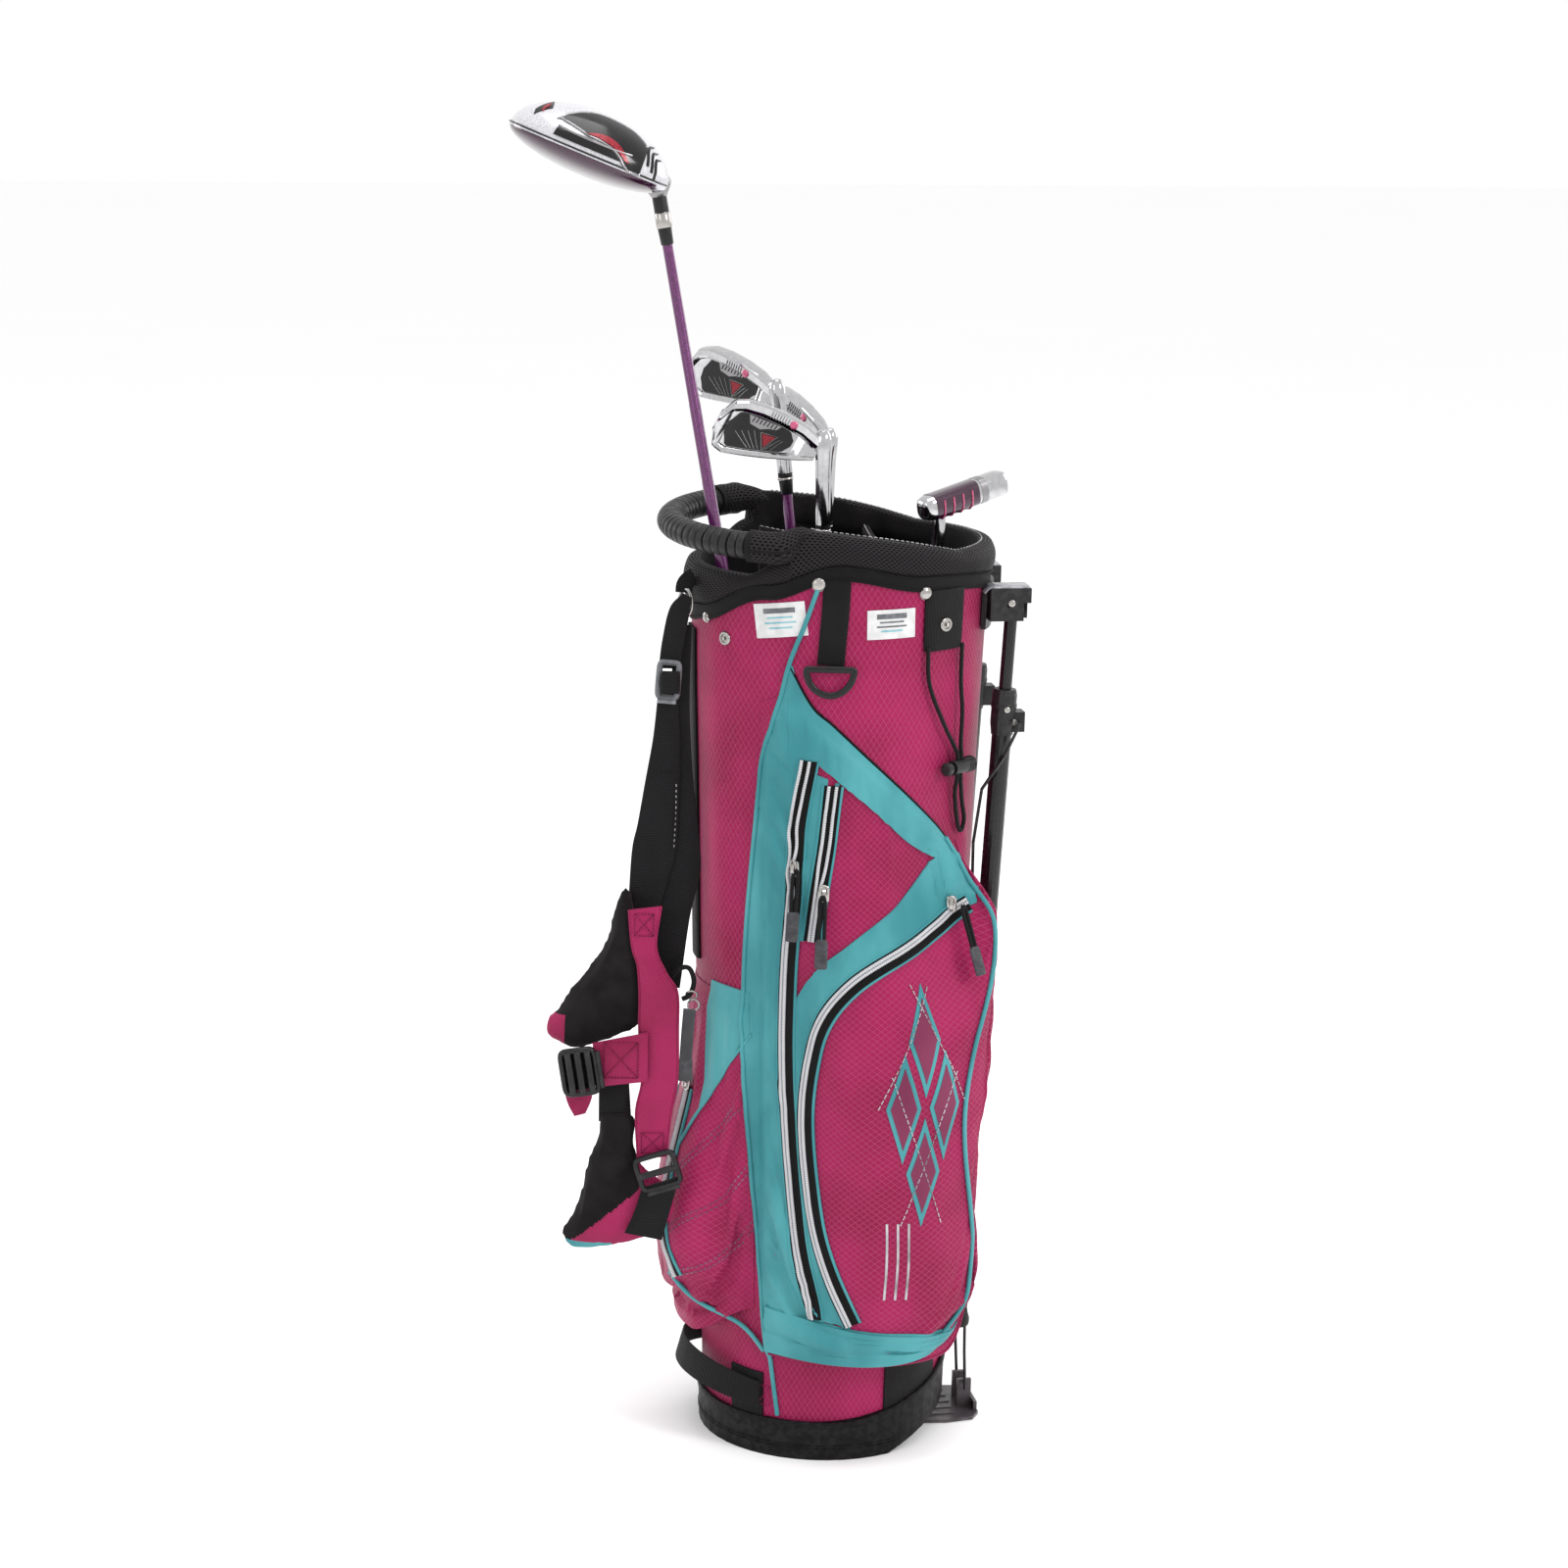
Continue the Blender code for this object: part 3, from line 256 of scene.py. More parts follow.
def ripstop(name, dark, light, thread, slot="ripstop", pitch=(0.0058, 0.0086)):
    """Diamond ripstop: raised paler threads over a plain weave, a little uneven in colour."""
    look = Look(name, slot, light, 0.46, extra={"Sheen Weight": 0.04, "Sheen Roughness": 0.4})
    u, v = look.weave()
    a, b = look.calc("DIVIDE", u, pitch[0]), look.calc("DIVIDE", v, pitch[1])
    lines = look.calc("MAXIMUM", look.ribs(look.calc("ADD", a, b), 1.0, 0.385, 0.47),
                      look.ribs(look.calc("SUBTRACT", a, b), 1.0, 0.385, 0.47))
    body = look.mix(look.band(look.noise(11, 4), 0.30, 0.70), dark, light)
    look.set("Base Color", look.mix(look.calc("MULTIPLY", lines, 0.42), body, thread))
    look.set("Roughness", look.band(lines, 0.0, 1.0, 0.50, 0.36))
    look.bump(lines, 0.0007, 0.75)
    look.bump(look.noise(1300, 2), 0.0003, 0.35)
    look.bump(look.noise(17, 3, (1, 1, 0.6)), 0.004, 0.30)
    return look


def satin(name, dark, light, slot="teal_satin"):
    """Twill with a soft sheen and small creases."""
    look = Look(name, slot, light, 0.42, extra={"Sheen Weight": 0.05, "Sheen Roughness": 0.35})
    u, v = look.weave()
    twill = look.ribs(look.calc("ADD", u, look.calc("MULTIPLY", v, 0.7)), 0.0013)
    shade = look.band(look.noise(14, 4, (1, 1, 0.5)), 0.32, 0.68)
    look.set("Base Color", look.mix(shade, dark, light))
    look.set("Roughness", look.band(twill, 0.0, 1.0, 0.36, 0.48))
    look.bump(twill, 0.0002, 0.35)
    look.bump(look.noise(26, 3, (1, 1, 0.45)), 0.0035, 0.35)
    return look


def air_mesh(name, slot="air_mesh"):
    """Spacer mesh: rows of open cells over a dark ground, painted near-black inside the cells as shade."""
    look = Look(name, slot, srgb(28, 26, 28), 0.72, extra={"Sheen Weight": 0.02})
    u, v = look.weave()
    row = look.calc("DIVIDE", v, 0.0030)
    shift = look.calc("MULTIPLY", look.calc("MODULO", look.calc("FLOOR", row), 2.0), 0.5)
    x = look.calc("SUBTRACT", look.calc("FRACT", look.calc("ADD", look.calc("DIVIDE", u, 0.0044), shift)),
                  0.5)
    y = look.calc("SUBTRACT", look.calc("FRACT", row), 0.5)
    spread = look.calc("SQRT", look.calc("ADD", look.calc("MULTIPLY", x, x), look.calc("MULTIPLY", y, y)))
    solid = look.band(spread, 0.20, 0.42)
    # painted shade: the open cells get a near-black colour for the shade inside them
    look.set("Base Color", look.mix(solid, srgb(5, 5, 5), srgb(46, 43, 45)))
    look.set("Roughness", look.band(solid, 0.0, 1.0, 0.95, 0.55))
    look.bump(solid, 0.0014, 0.9)
    look.bump(look.noise(900, 2), 0.0003, 0.3)
    return look


def webbing(name, slot="webbing", pitch=0.0016, shade=(30, 29, 31)):
    """Woven band: ribs across its width and a herringbone along it."""
    look = Look(name, slot, srgb(*shade), 0.62, extra={"Sheen Weight": 0.03})
    u, v = look.weave()
    ribs = look.ribs(u, pitch)
    herring = look.ribs(look.calc("ADD", u, look.calc("PINGPONG", v, 0.004)), pitch * 1.8)
    weave = look.calc("MULTIPLY", ribs, look.calc("ADD", look.calc("MULTIPLY", herring, 0.5), 0.5))
    # painted shade and painted highlight: dim colours the valleys between the ribs, pale their crests
    dim = shaded(shade, 0.35)
    pale = shaded(shade, 1.5)
    look.set("Base Color", look.mix(look.calc("MULTIPLY", weave, look.band(look.noise(60, 3), 0.2, 0.7, 0.6,
                                                                           1.0)),
                                    dim, pale))
    look.set("Roughness", look.band(weave, 0.0, 1.0, 0.75, 0.50))
    look.bump(weave, 0.0005, 0.8)
    return look


def brushed_cloth(name, slot="lining", shade=(27, 24, 25), weight=0.35):
    """Brushed lining: a soft nap with slow uneven shading."""
    look = Look(name, slot, srgb(*shade), 0.85,
                extra={"Sheen Weight": weight * 0.15, "Sheen Roughness": 0.6})
    dim = shaded(shade, 0.5)
    pale = shaded(shade, 1.35)
    look.set("Base Color", look.mix(look.band(look.noise(40, 5), 0.3, 0.7), dim, pale))
    look.bump(look.noise(700, 3), 0.0006, 0.5)
    look.bump(look.noise(30, 3), 0.003, 0.3)
    return look


def coil(name, shade=(232, 232, 236)):
    """Moulded nylon zip coil with painted shade between its teeth."""
    look = Look(name, "zip_coil", srgb(*shade), 0.33, extra={"Coat Weight": 0.15})
    u, _ = look.weave()
    teeth = look.ribs(u, 0.0022)
    # painted shade: dim colours the grooves between the teeth
    dim = shaded(shade, 0.62)
    look.set("Base Color", look.mix(teeth, dim, srgb(*shade)))
    look.bump(teeth, 0.0004, 0.5)
    return look


def moulded(name, slot, shade, roughness, grain=900, depth=0.0002, coat=0.0, speckle=0.25):
    """Moulded plastic or rubber: fine grain, uneven gloss and edges worn paler."""
    look = Look(name, slot, srgb(*shade), roughness, extra={"Coat Weight": coat, "Coat Roughness": 0.2})
    worn = look.band(look.node("ShaderNodeNewGeometry").outputs["Pointiness"], 0.515, 0.60)
    worn = look.calc("MULTIPLY", worn, look.band(look.noise(160, 4), 0.40, 0.62, 0.15, 0.8))
    pale = tuple(min(c * 2.2 + 0.010, 1.0) for c in srgb(*shade)[:3]) + (1.0,)
    dim = shaded(shade, 0.75)
    body = look.mix(look.band(look.noise(70, 4), 0.35, 0.65), dim, srgb(*shade))
    look.set("Base Color", look.mix(worn, body, pale))
    look.set("Roughness", look.band(look.noise(130, 4), 0.3, 0.7, roughness - 0.07, roughness + 0.1))
    look.bump(look.cells(grain), depth, speckle)
    return look


def metal(name, slot, shade, roughness, scratch=(1, 1, 8), depth=0.00015):
    """Bright metal: fine directional scratches and a little haze."""
    look = Look(name, slot, srgb(*shade), roughness, 1.0)
    fine = look.noise(260, 5, scratch)
    haze = look.band(look.noise(38, 4), 0.35, 0.75, roughness * 0.7, roughness * 1.8)
    dim = shaded(shade, 0.86)
    look.set("Roughness", haze)
    look.set("Base Color", look.mix(look.band(fine, 0.3, 0.7), dim, srgb(*shade)))
    look.bump(fine, depth, 0.22)
    return look


def lacquer(name, slot, dark, light, roughness=0.18, metallic=0.0, coat=0.8, flake=700):
    """Glossy lacquer over slightly uneven colour, with fine flake and orange peel."""
    look = Look(name, slot, light, roughness, metallic, {"Coat Weight": coat, "Coat Roughness": 0.06})
    look.set("Base Color", look.mix(look.band(look.noise(flake, 3), 0.35, 0.65), dark, light))
    look.set("Roughness", look.band(look.noise(90, 3), 0.3, 0.7, roughness * 0.8, roughness * 1.5))
    look.bump(look.noise(120, 2), 0.0003, 0.12)
    return look


def braided(name, shade=(26, 25, 27), slot="cord", pitch=0.0026):
    """Braided cord: two families of strands that cross."""
    look = Look(name, slot, srgb(*shade), 0.6, extra={"Sheen Weight": 0.03})
    u, v = look.weave()
    one = look.ribs(look.calc("ADD", u, v), pitch)
    two = look.ribs(look.calc("SUBTRACT", u, v), pitch)
    braid = look.calc("MULTIPLY", one, two)
    # painted shade and painted highlight: dim colours the hollows between the strands, pale the crossings
    dim = shaded(shade, 0.4)
    pale = shaded(shade, 1.6)
    look.set("Base Color", look.mix(braid, dim, pale))
    look.bump(braid, 0.0004, 0.8)
    return look


MAGENTA_DARK, MAGENTA, MAGENTA_THREAD = srgb(146, 18, 68), srgb(178, 32, 92), srgb(226, 92, 146)
TEAL_DARK, TEAL = srgb(58, 142, 150), srgb(88, 176, 182)
LOOKS = {
    "ripstop": ripstop("magenta_ripstop", MAGENTA_DARK, MAGENTA, MAGENTA_THREAD),
    "fine_ripstop": ripstop("magenta_ripstop_bias", MAGENTA_DARK, MAGENTA, MAGENTA_THREAD,
                            pitch=(0.0058, 0.0058)),
    "plain_magenta": ripstop("magenta_facing", MAGENTA_DARK, MAGENTA, MAGENTA_THREAD,
                             pitch=(0.0028, 0.0028)),
    "teal": satin("teal_satin", TEAL_DARK, TEAL),
    "plum": satin("plum_print", srgb(120, 38, 76), srgb(142, 56, 92)),
    "mesh": air_mesh("black_air_mesh"),
    "webbing": webbing("black_webbing"),
    "binding": webbing("black_binding_tape", pitch=0.0009, shade=(24, 23, 24)),
    "tape": webbing("black_zip_tape", "zip_tape", 0.0010, (20, 19, 21)),
    "hook": brushed_cloth("black_hook_and_loop", "webbing", (16, 15, 16), 0.5),
    "lining": brushed_cloth("black_lining"),
    "coil": coil("white_zip_coil"),
    "grey_coil": coil("grey_zip_coil", (150, 152, 158)),
    "thread": brushed_cloth("pale_thread", "zip_tape", (196, 194, 198), 0.3),
    "grey_thread": brushed_cloth("grey_thread", "zip_tape", (136, 122, 140), 0.3),
    "dark_thread": brushed_cloth("dark_red_thread", "zip_tape", (118, 20, 58), 0.3),
    "cord": braided("black_braided_cord"),
    "handle": moulded("black_handle_rubber", "handle_rubber", (34, 32, 33), 0.42, 700, 0.0002),
    "base": moulded("black_base_moulding", "base_moulding", (15, 14, 15), 0.42, 700, 0.0002, 0.0, 0.3),
    "plastic": moulded("black_plastic", "black_plastic", (25, 24, 26), 0.34, 1100, 0.0002),
    "bracket_top": moulded("smoke_plastic", "black_plastic", (150, 150, 156), 0.26, 1100, 0.0001, 0.3),
    "flap": moulded("scuffed_flap_moulding", "flap_moulding", (72, 66, 70), 0.36, 500, 0.0004, 0.1, 0.4),
    "nylon": moulded("grey_nylon", "grey_nylon", (112, 114, 118), 0.40, 900, 0.0002),
    "puller": moulded("dark_grey_rubber", "grey_nylon", (62, 62, 66), 0.50, 900, 0.0002),
    "tube": lacquer("black_tube_enamel", "painted_tube", srgb(14, 13, 15), srgb(26, 24, 27), 0.26, 0.0,
                    0.15, 300),
    "nickel": metal("nickel_steel", "nickel_steel", (206, 202, 198), 0.20),
    "chrome": metal("polished_chrome", "chromed_head", (226, 226, 228), 0.09, (1, 1, 1), 0.0001),
    "satin_chrome": metal("brushed_chrome", "chromed_head", (176, 174, 176), 0.30, (1, 1, 10), 0.0002),
    "pearl": lacquer("pearl_silver_lacquer", "driver_shell", srgb(206, 206, 212), srgb(240, 240, 244), 0.20,
                     0.25),
    "gloss_black": lacquer("black_gloss_inset", "club_badge", srgb(8, 8, 9), srgb(20, 18, 20), 0.16, 0.0,
                           0.12),
    "crown": lacquer("dark_plum_crown", "driver_shell", srgb(40, 14, 34), srgb(74, 24, 62), 0.14, 0.3),
    "red": lacquer("red_lacquer", "club_badge", srgb(128, 12, 32), srgb(176, 26, 48), 0.30, 0.2, 0.2),
    "pink": lacquer("pink_lacquer", "club_badge", srgb(196, 66, 112), srgb(228, 104, 146), 0.18, 0.2),
    "shaft": lacquer("purple_shaft_lacquer", "shaft_lacquer", srgb(88, 28, 86), srgb(124, 46, 118), 0.20,
                     0.35),
    "grip": moulded("black_grip_rubber", "grip_rubber", (24, 24, 25), 0.62, 500, 0.0005, 0.0, 0.5),
    "rubber": moulded("black_foot_rubber", "grip_rubber", (22, 22, 22), 0.58, 600, 0.0004),
    "label": lacquer("paper_label", "paper_label", srgb(226, 226, 226), srgb(244, 244, 244), 0.45, 0.0, 0.1,
                     90),
    "ink": lacquer("grey_label_ink", "paper_label", srgb(96, 98, 104), srgb(120, 122, 128), 0.5, 0.0, 0.0,
                   200),
    "teal_ink": lacquer("teal_label_ink", "paper_label", srgb(120, 190, 204), srgb(156, 212, 222), 0.5, 0.0,
                        0.0, 90),
}


# ---------------------------------------------------------------- shapes: (points, faces, cloth lengths)
def loft(rings, closed=False):
    """Skin rings of equal count. The cloth's lengths run along the loft and round its first ring."""
    count = len(rings[0])
    points = [Vector(p) for ring in rings for p in ring]
    centres = [sum((Vector(p) for p in ring), Vector()) / count for ring in rings]
    run, lengths = 0.0, []
    widest = max(rings, key=lambda r: sum((Vector(a) - Vector(b)).length for a, b in zip(r, r[1:])))
    round_ring = [0.0]
    for a, b in zip(widest, widest[1:]):
        round_ring.append(round_ring[-1] + (Vector(b) - Vector(a)).length)
    for i in range(len(rings)):
        if i:
            run += (centres[i] - centres[i - 1]).length
        lengths += [(run, w, 0.0) for w in round_ring]
    faces = []
    for i in range(len(rings) if closed else len(rings) - 1):
        j = (i + 1) % len(rings)
        for k in range(count):
            n = (k + 1) % count
            faces.append((i * count + k, i * count + n, j * count + n, j * count + k))
    if not closed:
        faces.append(tuple(range(count))[::-1])
        faces.append(tuple((len(rings) - 1) * count + k for k in range(count)))
    return points, faces, lengths


def axis_frame(direction):
    """A direction with two more at right angles to it."""
    axis = Vector(direction).normalized()
    side = axis.cross(Vector((0, 1, 0)))
    if side.length < 0.2:
        side = axis.cross(Vector((1, 0, 0)))
    side.normalize()
    return axis, side, axis.cross(side).normalized()


def turned(start, direction, profile, sides=32):
    """A turned piece: profile lists (distance along the axis, radius)."""
    axis, side, up = axis_frame(direction)
    return loft([[Vector(start) + axis * far + (side * math.cos(t) + up * math.sin(t)) * radius
                  for t in turns_of(sides)] for far, radius in profile])


def curve_through(points, step, closed=False):
    """Points a step apart on a smooth curve through given points of any dimension."""
    line = [Vector(p) for p in points]
    if closed:
        line = [line[-1]] + line + [line[0], line[1]]
    else:
        line = [line[0] * 2 - line[1]] + line + [line[-1] * 2 - line[-2]]
    fine = []
    for p0, p1, p2, p3 in zip(line, line[1:], line[2:], line[3:]):
        for k in range(12):
            t = k / 12
            fine.append(0.5 * ((2 * p1) + (p2 - p0) * t + (2 * p0 - 5 * p1 + 4 * p2 - p3) * t ** 2
                               + (3 * p1 - p0 - 3 * p2 + p3) * t ** 3))
    if not closed:
        fine.append(line[-2])
    return fine if step is None else even_steps(fine, step)


def even_steps(line, step):
    """The same line with points an even step apart."""
    total = [0.0]
    for a, b in zip(line, line[1:]):
        total.append(total[-1] + (b - a).length)
    count = max(int(round(total[-1] / step)), 1)
    out, i = [], 0
    for k in range(count + 1):
        want = total[-1] * k / count
        while i < len(line) - 2 and total[i + 1] < want:
            i += 1
        span = total[i + 1] - total[i]
        out.append(line[i].lerp(line[i + 1], (want - total[i]) / span if span else 0.0))
    return out


def tangents(line, closed=False):
    """The direction of a line at each of its points."""
    last = len(line) - 1
    result = []
    for i in range(len(line)):
        before = line[i - 1] if i or closed else line[0]
        after = line[(i + 1) % len(line)] if i < last or closed else line[last]
        result.append((after - before).normalized())
    return result


def turns_of(count):
    """Angles of a full turn in equal steps, in radians."""
    return [2 * math.pi * k / count for k in range(count)]


def squared(value, power):
    """A sine or cosine pushed towards 1 and -1, which makes a circle squarer."""
    return math.copysign(abs(value) ** power, value)


def round_profile(radius, sides=12, flat=1.0):
    """A circle, or an ellipse where flat isn't 1, as (across, out) offsets."""
    return [(radius * math.cos(t), radius * flat * math.sin(t)) for t in turns_of(sides)]


def sides_of(line, outs):
    """Directions across a line, at right angles to its outward directions."""
    return [ahead.cross(out).normalized() for ahead, out in zip(tangents(line), outs)]


def band_profile(half_width, thick, low=0.0):
    """A flat band's section with rounded edges."""
    steps = [-1, -0.86, -0.4, 0, 0.4, 0.86, 1]
    top = [(half_width * s, low + thick * (0.72 if abs(s) == 1 else 1.0)) for s in steps]
    bottom = [(half_width * s, low + thick * (0.28 if abs(s) == 1 else 0.0)) for s in reversed(steps)]
    return bottom + top


def sweep(line, profile, normals, closed=False):
    """A profile of (across, out) offsets carried along a line whose outward side is given by normals."""
    rings = []
    for i, (spot, ahead) in enumerate(zip(line, tangents(line, closed))):
        out = normals[i] if isinstance(normals, list) else Vector(normals)
        side = ahead.cross(out).normalized()
        out = side.cross(ahead).normalized()
        section = profile(i) if callable(profile) else profile
        rings.append([spot + side * x + out * y for x, y in section])
    return loft(rings, closed=closed)


def rod(line, radius, sides=12, closed=False):
    """A round cord or wire along a line, kept from twisting."""
    ahead = tangents(line, closed)
    normal = axis_frame(ahead[0])[1]
    normals = []
    for direction in ahead:
        normal = (normal - direction * normal.dot(direction)).normalized()
        normals.append(normal)
    return sweep(line, round_profile(radius, sides), normals, closed)


def shell(fronts, backs, cloth=None):
    """A closed solid between two grids of points of the same size."""
    rows, columns = len(fronts), len(fronts[0])
    points = [p for row in fronts for p in row] + [p for row in backs for p in row]
    shift = rows * columns
    faces = []
    for j in range(rows - 1):
        for i in range(columns - 1):
            a = j * columns + i
            quad = (a, a + 1, a + columns + 1, a + columns)
            faces.append(quad)
            faces.append(tuple(k + shift for k in reversed(quad)))
    edge = [i for i in range(columns - 1)]
    edge += [j * columns + columns - 1 for j in range(rows - 1)]
    edge += [(rows - 1) * columns + columns - 1 - i for i in range(columns - 1)]
    edge += [(rows - 1 - j) * columns for j in range(rows - 1)]
    for k, a in enumerate(edge):
        b = edge[(k + 1) % len(edge)]
        faces.append((b, a, a + shift, b + shift))
    if cloth is None:
        cloth = [bag_lengths(p) for p in points[:shift]]
    return points, faces, list(cloth) * (len(points) // len(cloth))


def bag_lengths(point):
    """Lengths round the bag and up it, for the weave."""
    return (math.atan2(point[1], point[0]) * 0.125, point[2], 0.0)


def eased(line, passes):
    """The line with its small kinks smoothed away, its ends kept."""
    for _ in range(passes):
        line = [line[0]] + [(a + b * 2 + c) / 4 for a, b, c in zip(line, line[1:], line[2:])] + [line[-1]]
    return line


def ball(centre, radius, out=UP, flat=1.0, rings=8, sides=20):
    """A dome or ball about a centre, squashed along out by flat."""
    steps = [math.pi * k / rings for k in range(1, rings)]
    profile = [(-radius * flat * math.cos(t), radius * math.sin(t)) for t in steps]
    profile = [(-radius * flat, radius * 0.02)] + profile + [(radius * flat, radius * 0.02)]
    return turned(centre, out, profile, sides)


def block(centre, across, up, half, rounding=0.25):
    """A block with rounded upright edges: half sizes across, up and through."""
    a, b = Vector(across).normalized(), Vector(up).normalized()
    c = a.cross(b).normalized()
    r = min(half[0], half[1]) * rounding
    outline = []
    for sx, sy, start in ((1, 1, 0), (-1, 1, 90), (-1, -1, 180), (1, -1, 270)):
        for k in range(5):
            t = math.radians(start + 22.5 * k)
            outline.append((sx * (half[0] - r) + r * math.cos(t), sy * (half[1] - r) + r * math.sin(t)))
    soft = min(r, half[2]) * 0.5
    rings = []
    for depth, shrink in ((-half[2], soft), (-half[2] + soft, 0), (half[2] - soft, 0), (half[2], soft)):
        rings.append([Vector(centre) + a * (x * (1 - shrink / half[0])) + b * (y * (1 - shrink / half[1]))
                      + c * depth
                      for x, y in outline])
    return loft(rings)


# ---------------------------------------------------------------- pieces
def piece(name, shapes, look, body="bag", replaces=(), sharp=45):
    """One object from one shape or several; every face points out."""
    if isinstance(shapes, tuple):
        shapes = [shapes]
    points, faces, lengths = [], [], []
    for some_points, some_faces, some_lengths in shapes:
        first = len(points)
        points += [tuple(p) for p in some_points]
        faces += [tuple(k + first for k in face) for face in some_faces]
        lengths += [tuple(w) for w in some_lengths]
    mesh = bpy.data.meshes.new(name)
    mesh.from_pydata(points, [], faces)
    bm = bmesh.new()
    bm.from_mesh(mesh)
    bmesh.ops.recalc_face_normals(bm, faces=bm.faces)
    bm.to_mesh(mesh)
    bm.free()
    mesh.shade_smooth()
    mesh.set_sharp_from_angle(angle=math.radians(sharp))
    set_lengths(mesh, lengths)
    obj = bpy.data.objects.new(name, mesh)
    bpy.context.scene.collection.objects.link(obj)
    mesh.materials.append(LOOKS[look].material)
    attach(obj, body)
    if replaces:
        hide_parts(*replaces)
    return obj


def set_lengths(mesh, lengths):
    """Give every vertex its cloth lengths, which the weaves follow."""
    held = mesh.attributes.get("weave") or mesh.attributes.new("weave", "FLOAT_VECTOR", "POINT")
    held.data.foreach_set("vector", [x for w in lengths for x in w])


def two_tone(obj, look, test):
    """Give a second look to the faces that test(centre, normal) picks."""
    obj.data.materials.append(LOOKS[look].material)
    for face in obj.data.polygons:
        if test(face.center, face.normal):
            face.material_index = 1
    return obj


def soften(obj, width, segments=2):
    """Rounded edges."""
    bevel = obj.modifiers.new("rounded_edges", "BEVEL")
    bevel.width = width
    bevel.segments = segments
    bevel.limit_method = "ANGLE"
    bevel.angle_limit = math.radians(35)
    return obj


def refine(obj):
    """Apply a subdivision to a finished mesh."""
    modifier = obj.modifiers.new("finer", "SUBSURF")
    modifier.levels = modifier.render_levels = 1
    apply_modifiers(obj)
    return obj


def apply_modifiers(obj):
    """Replace a mesh by what its modifiers make of it."""
    bpy.context.view_layer.update()
    evaluated = obj.evaluated_get(bpy.context.evaluated_depsgraph_get())
    mesh = bpy.data.meshes.new_from_object(evaluated, preserve_all_data_layers=True,
                                           depsgraph=bpy.context.evaluated_depsgraph_get())
    obj.modifiers.clear()
    old = obj.data
    obj.data = mesh
    mesh.name = old.name
    bpy.data.meshes.remove(old)


def settle(obj, pinned, frames=18, pressure=1.5, slack=0.03, cap=0.008, gravity=0.3, stiffness=8.0):
    """Let cloth take its own folds between its pinned points, then keep that shape."""
    rest = [v.co.copy() for v in obj.data.vertices]
    group = obj.vertex_groups.new(name="pinned")
    group.add([i for i in range(len(rest)) if i in pinned], 1.0, "REPLACE")
    cloth = obj.modifiers.new("cloth", "CLOTH")
    cloth.settings.quality = 6
    cloth.settings.mass = 0.25
    cloth.settings.tension_stiffness = stiffness
    cloth.settings.compression_stiffness = stiffness
    cloth.settings.shear_stiffness = stiffness * 0.5
    cloth.settings.bending_stiffness = 0.35
    cloth.settings.use_pressure = True
    cloth.settings.uniform_pressure_force = pressure
    cloth.settings.shrink_min = -slack
    if pinned:
        cloth.settings.vertex_group_mass = "pinned"
    cloth.settings.effector_weights.gravity = gravity
    cloth.collision_settings.use_collision = False
    cloth.collision_settings.use_self_collision = False
    scene = bpy.context.scene
    for frame_number in range(1, frames + 1):
        scene.frame_set(frame_number)
    evaluated = obj.evaluated_get(bpy.context.evaluated_depsgraph_get())
    moved = [v.co.copy() for v in evaluated.data.vertices]
    obj.modifiers.clear()
    obj.vertex_groups.clear()
    for vertex, start, end in zip(obj.data.vertices, rest, moved):
        shift = end - start
        if shift.length > cap:
            shift = shift * (cap / shift.length)
        vertex.co = start + shift
    scene.frame_set(1)


def ripple(point, scale, stretch=(1, 1, 1), seed=0.0):
    """A smooth value from -1 to 1 that wanders over space."""
    place = Vector((point[0] * stretch[0], point[1] * stretch[1], point[2] * stretch[2] + seed)) * scale
    return noise.noise(place)


# ---------------------------------------------------------------- the cloth that trims lie on
SEWN_IN = 0.0012  # how far the back of a panel or a tape is below the cloth it lies on


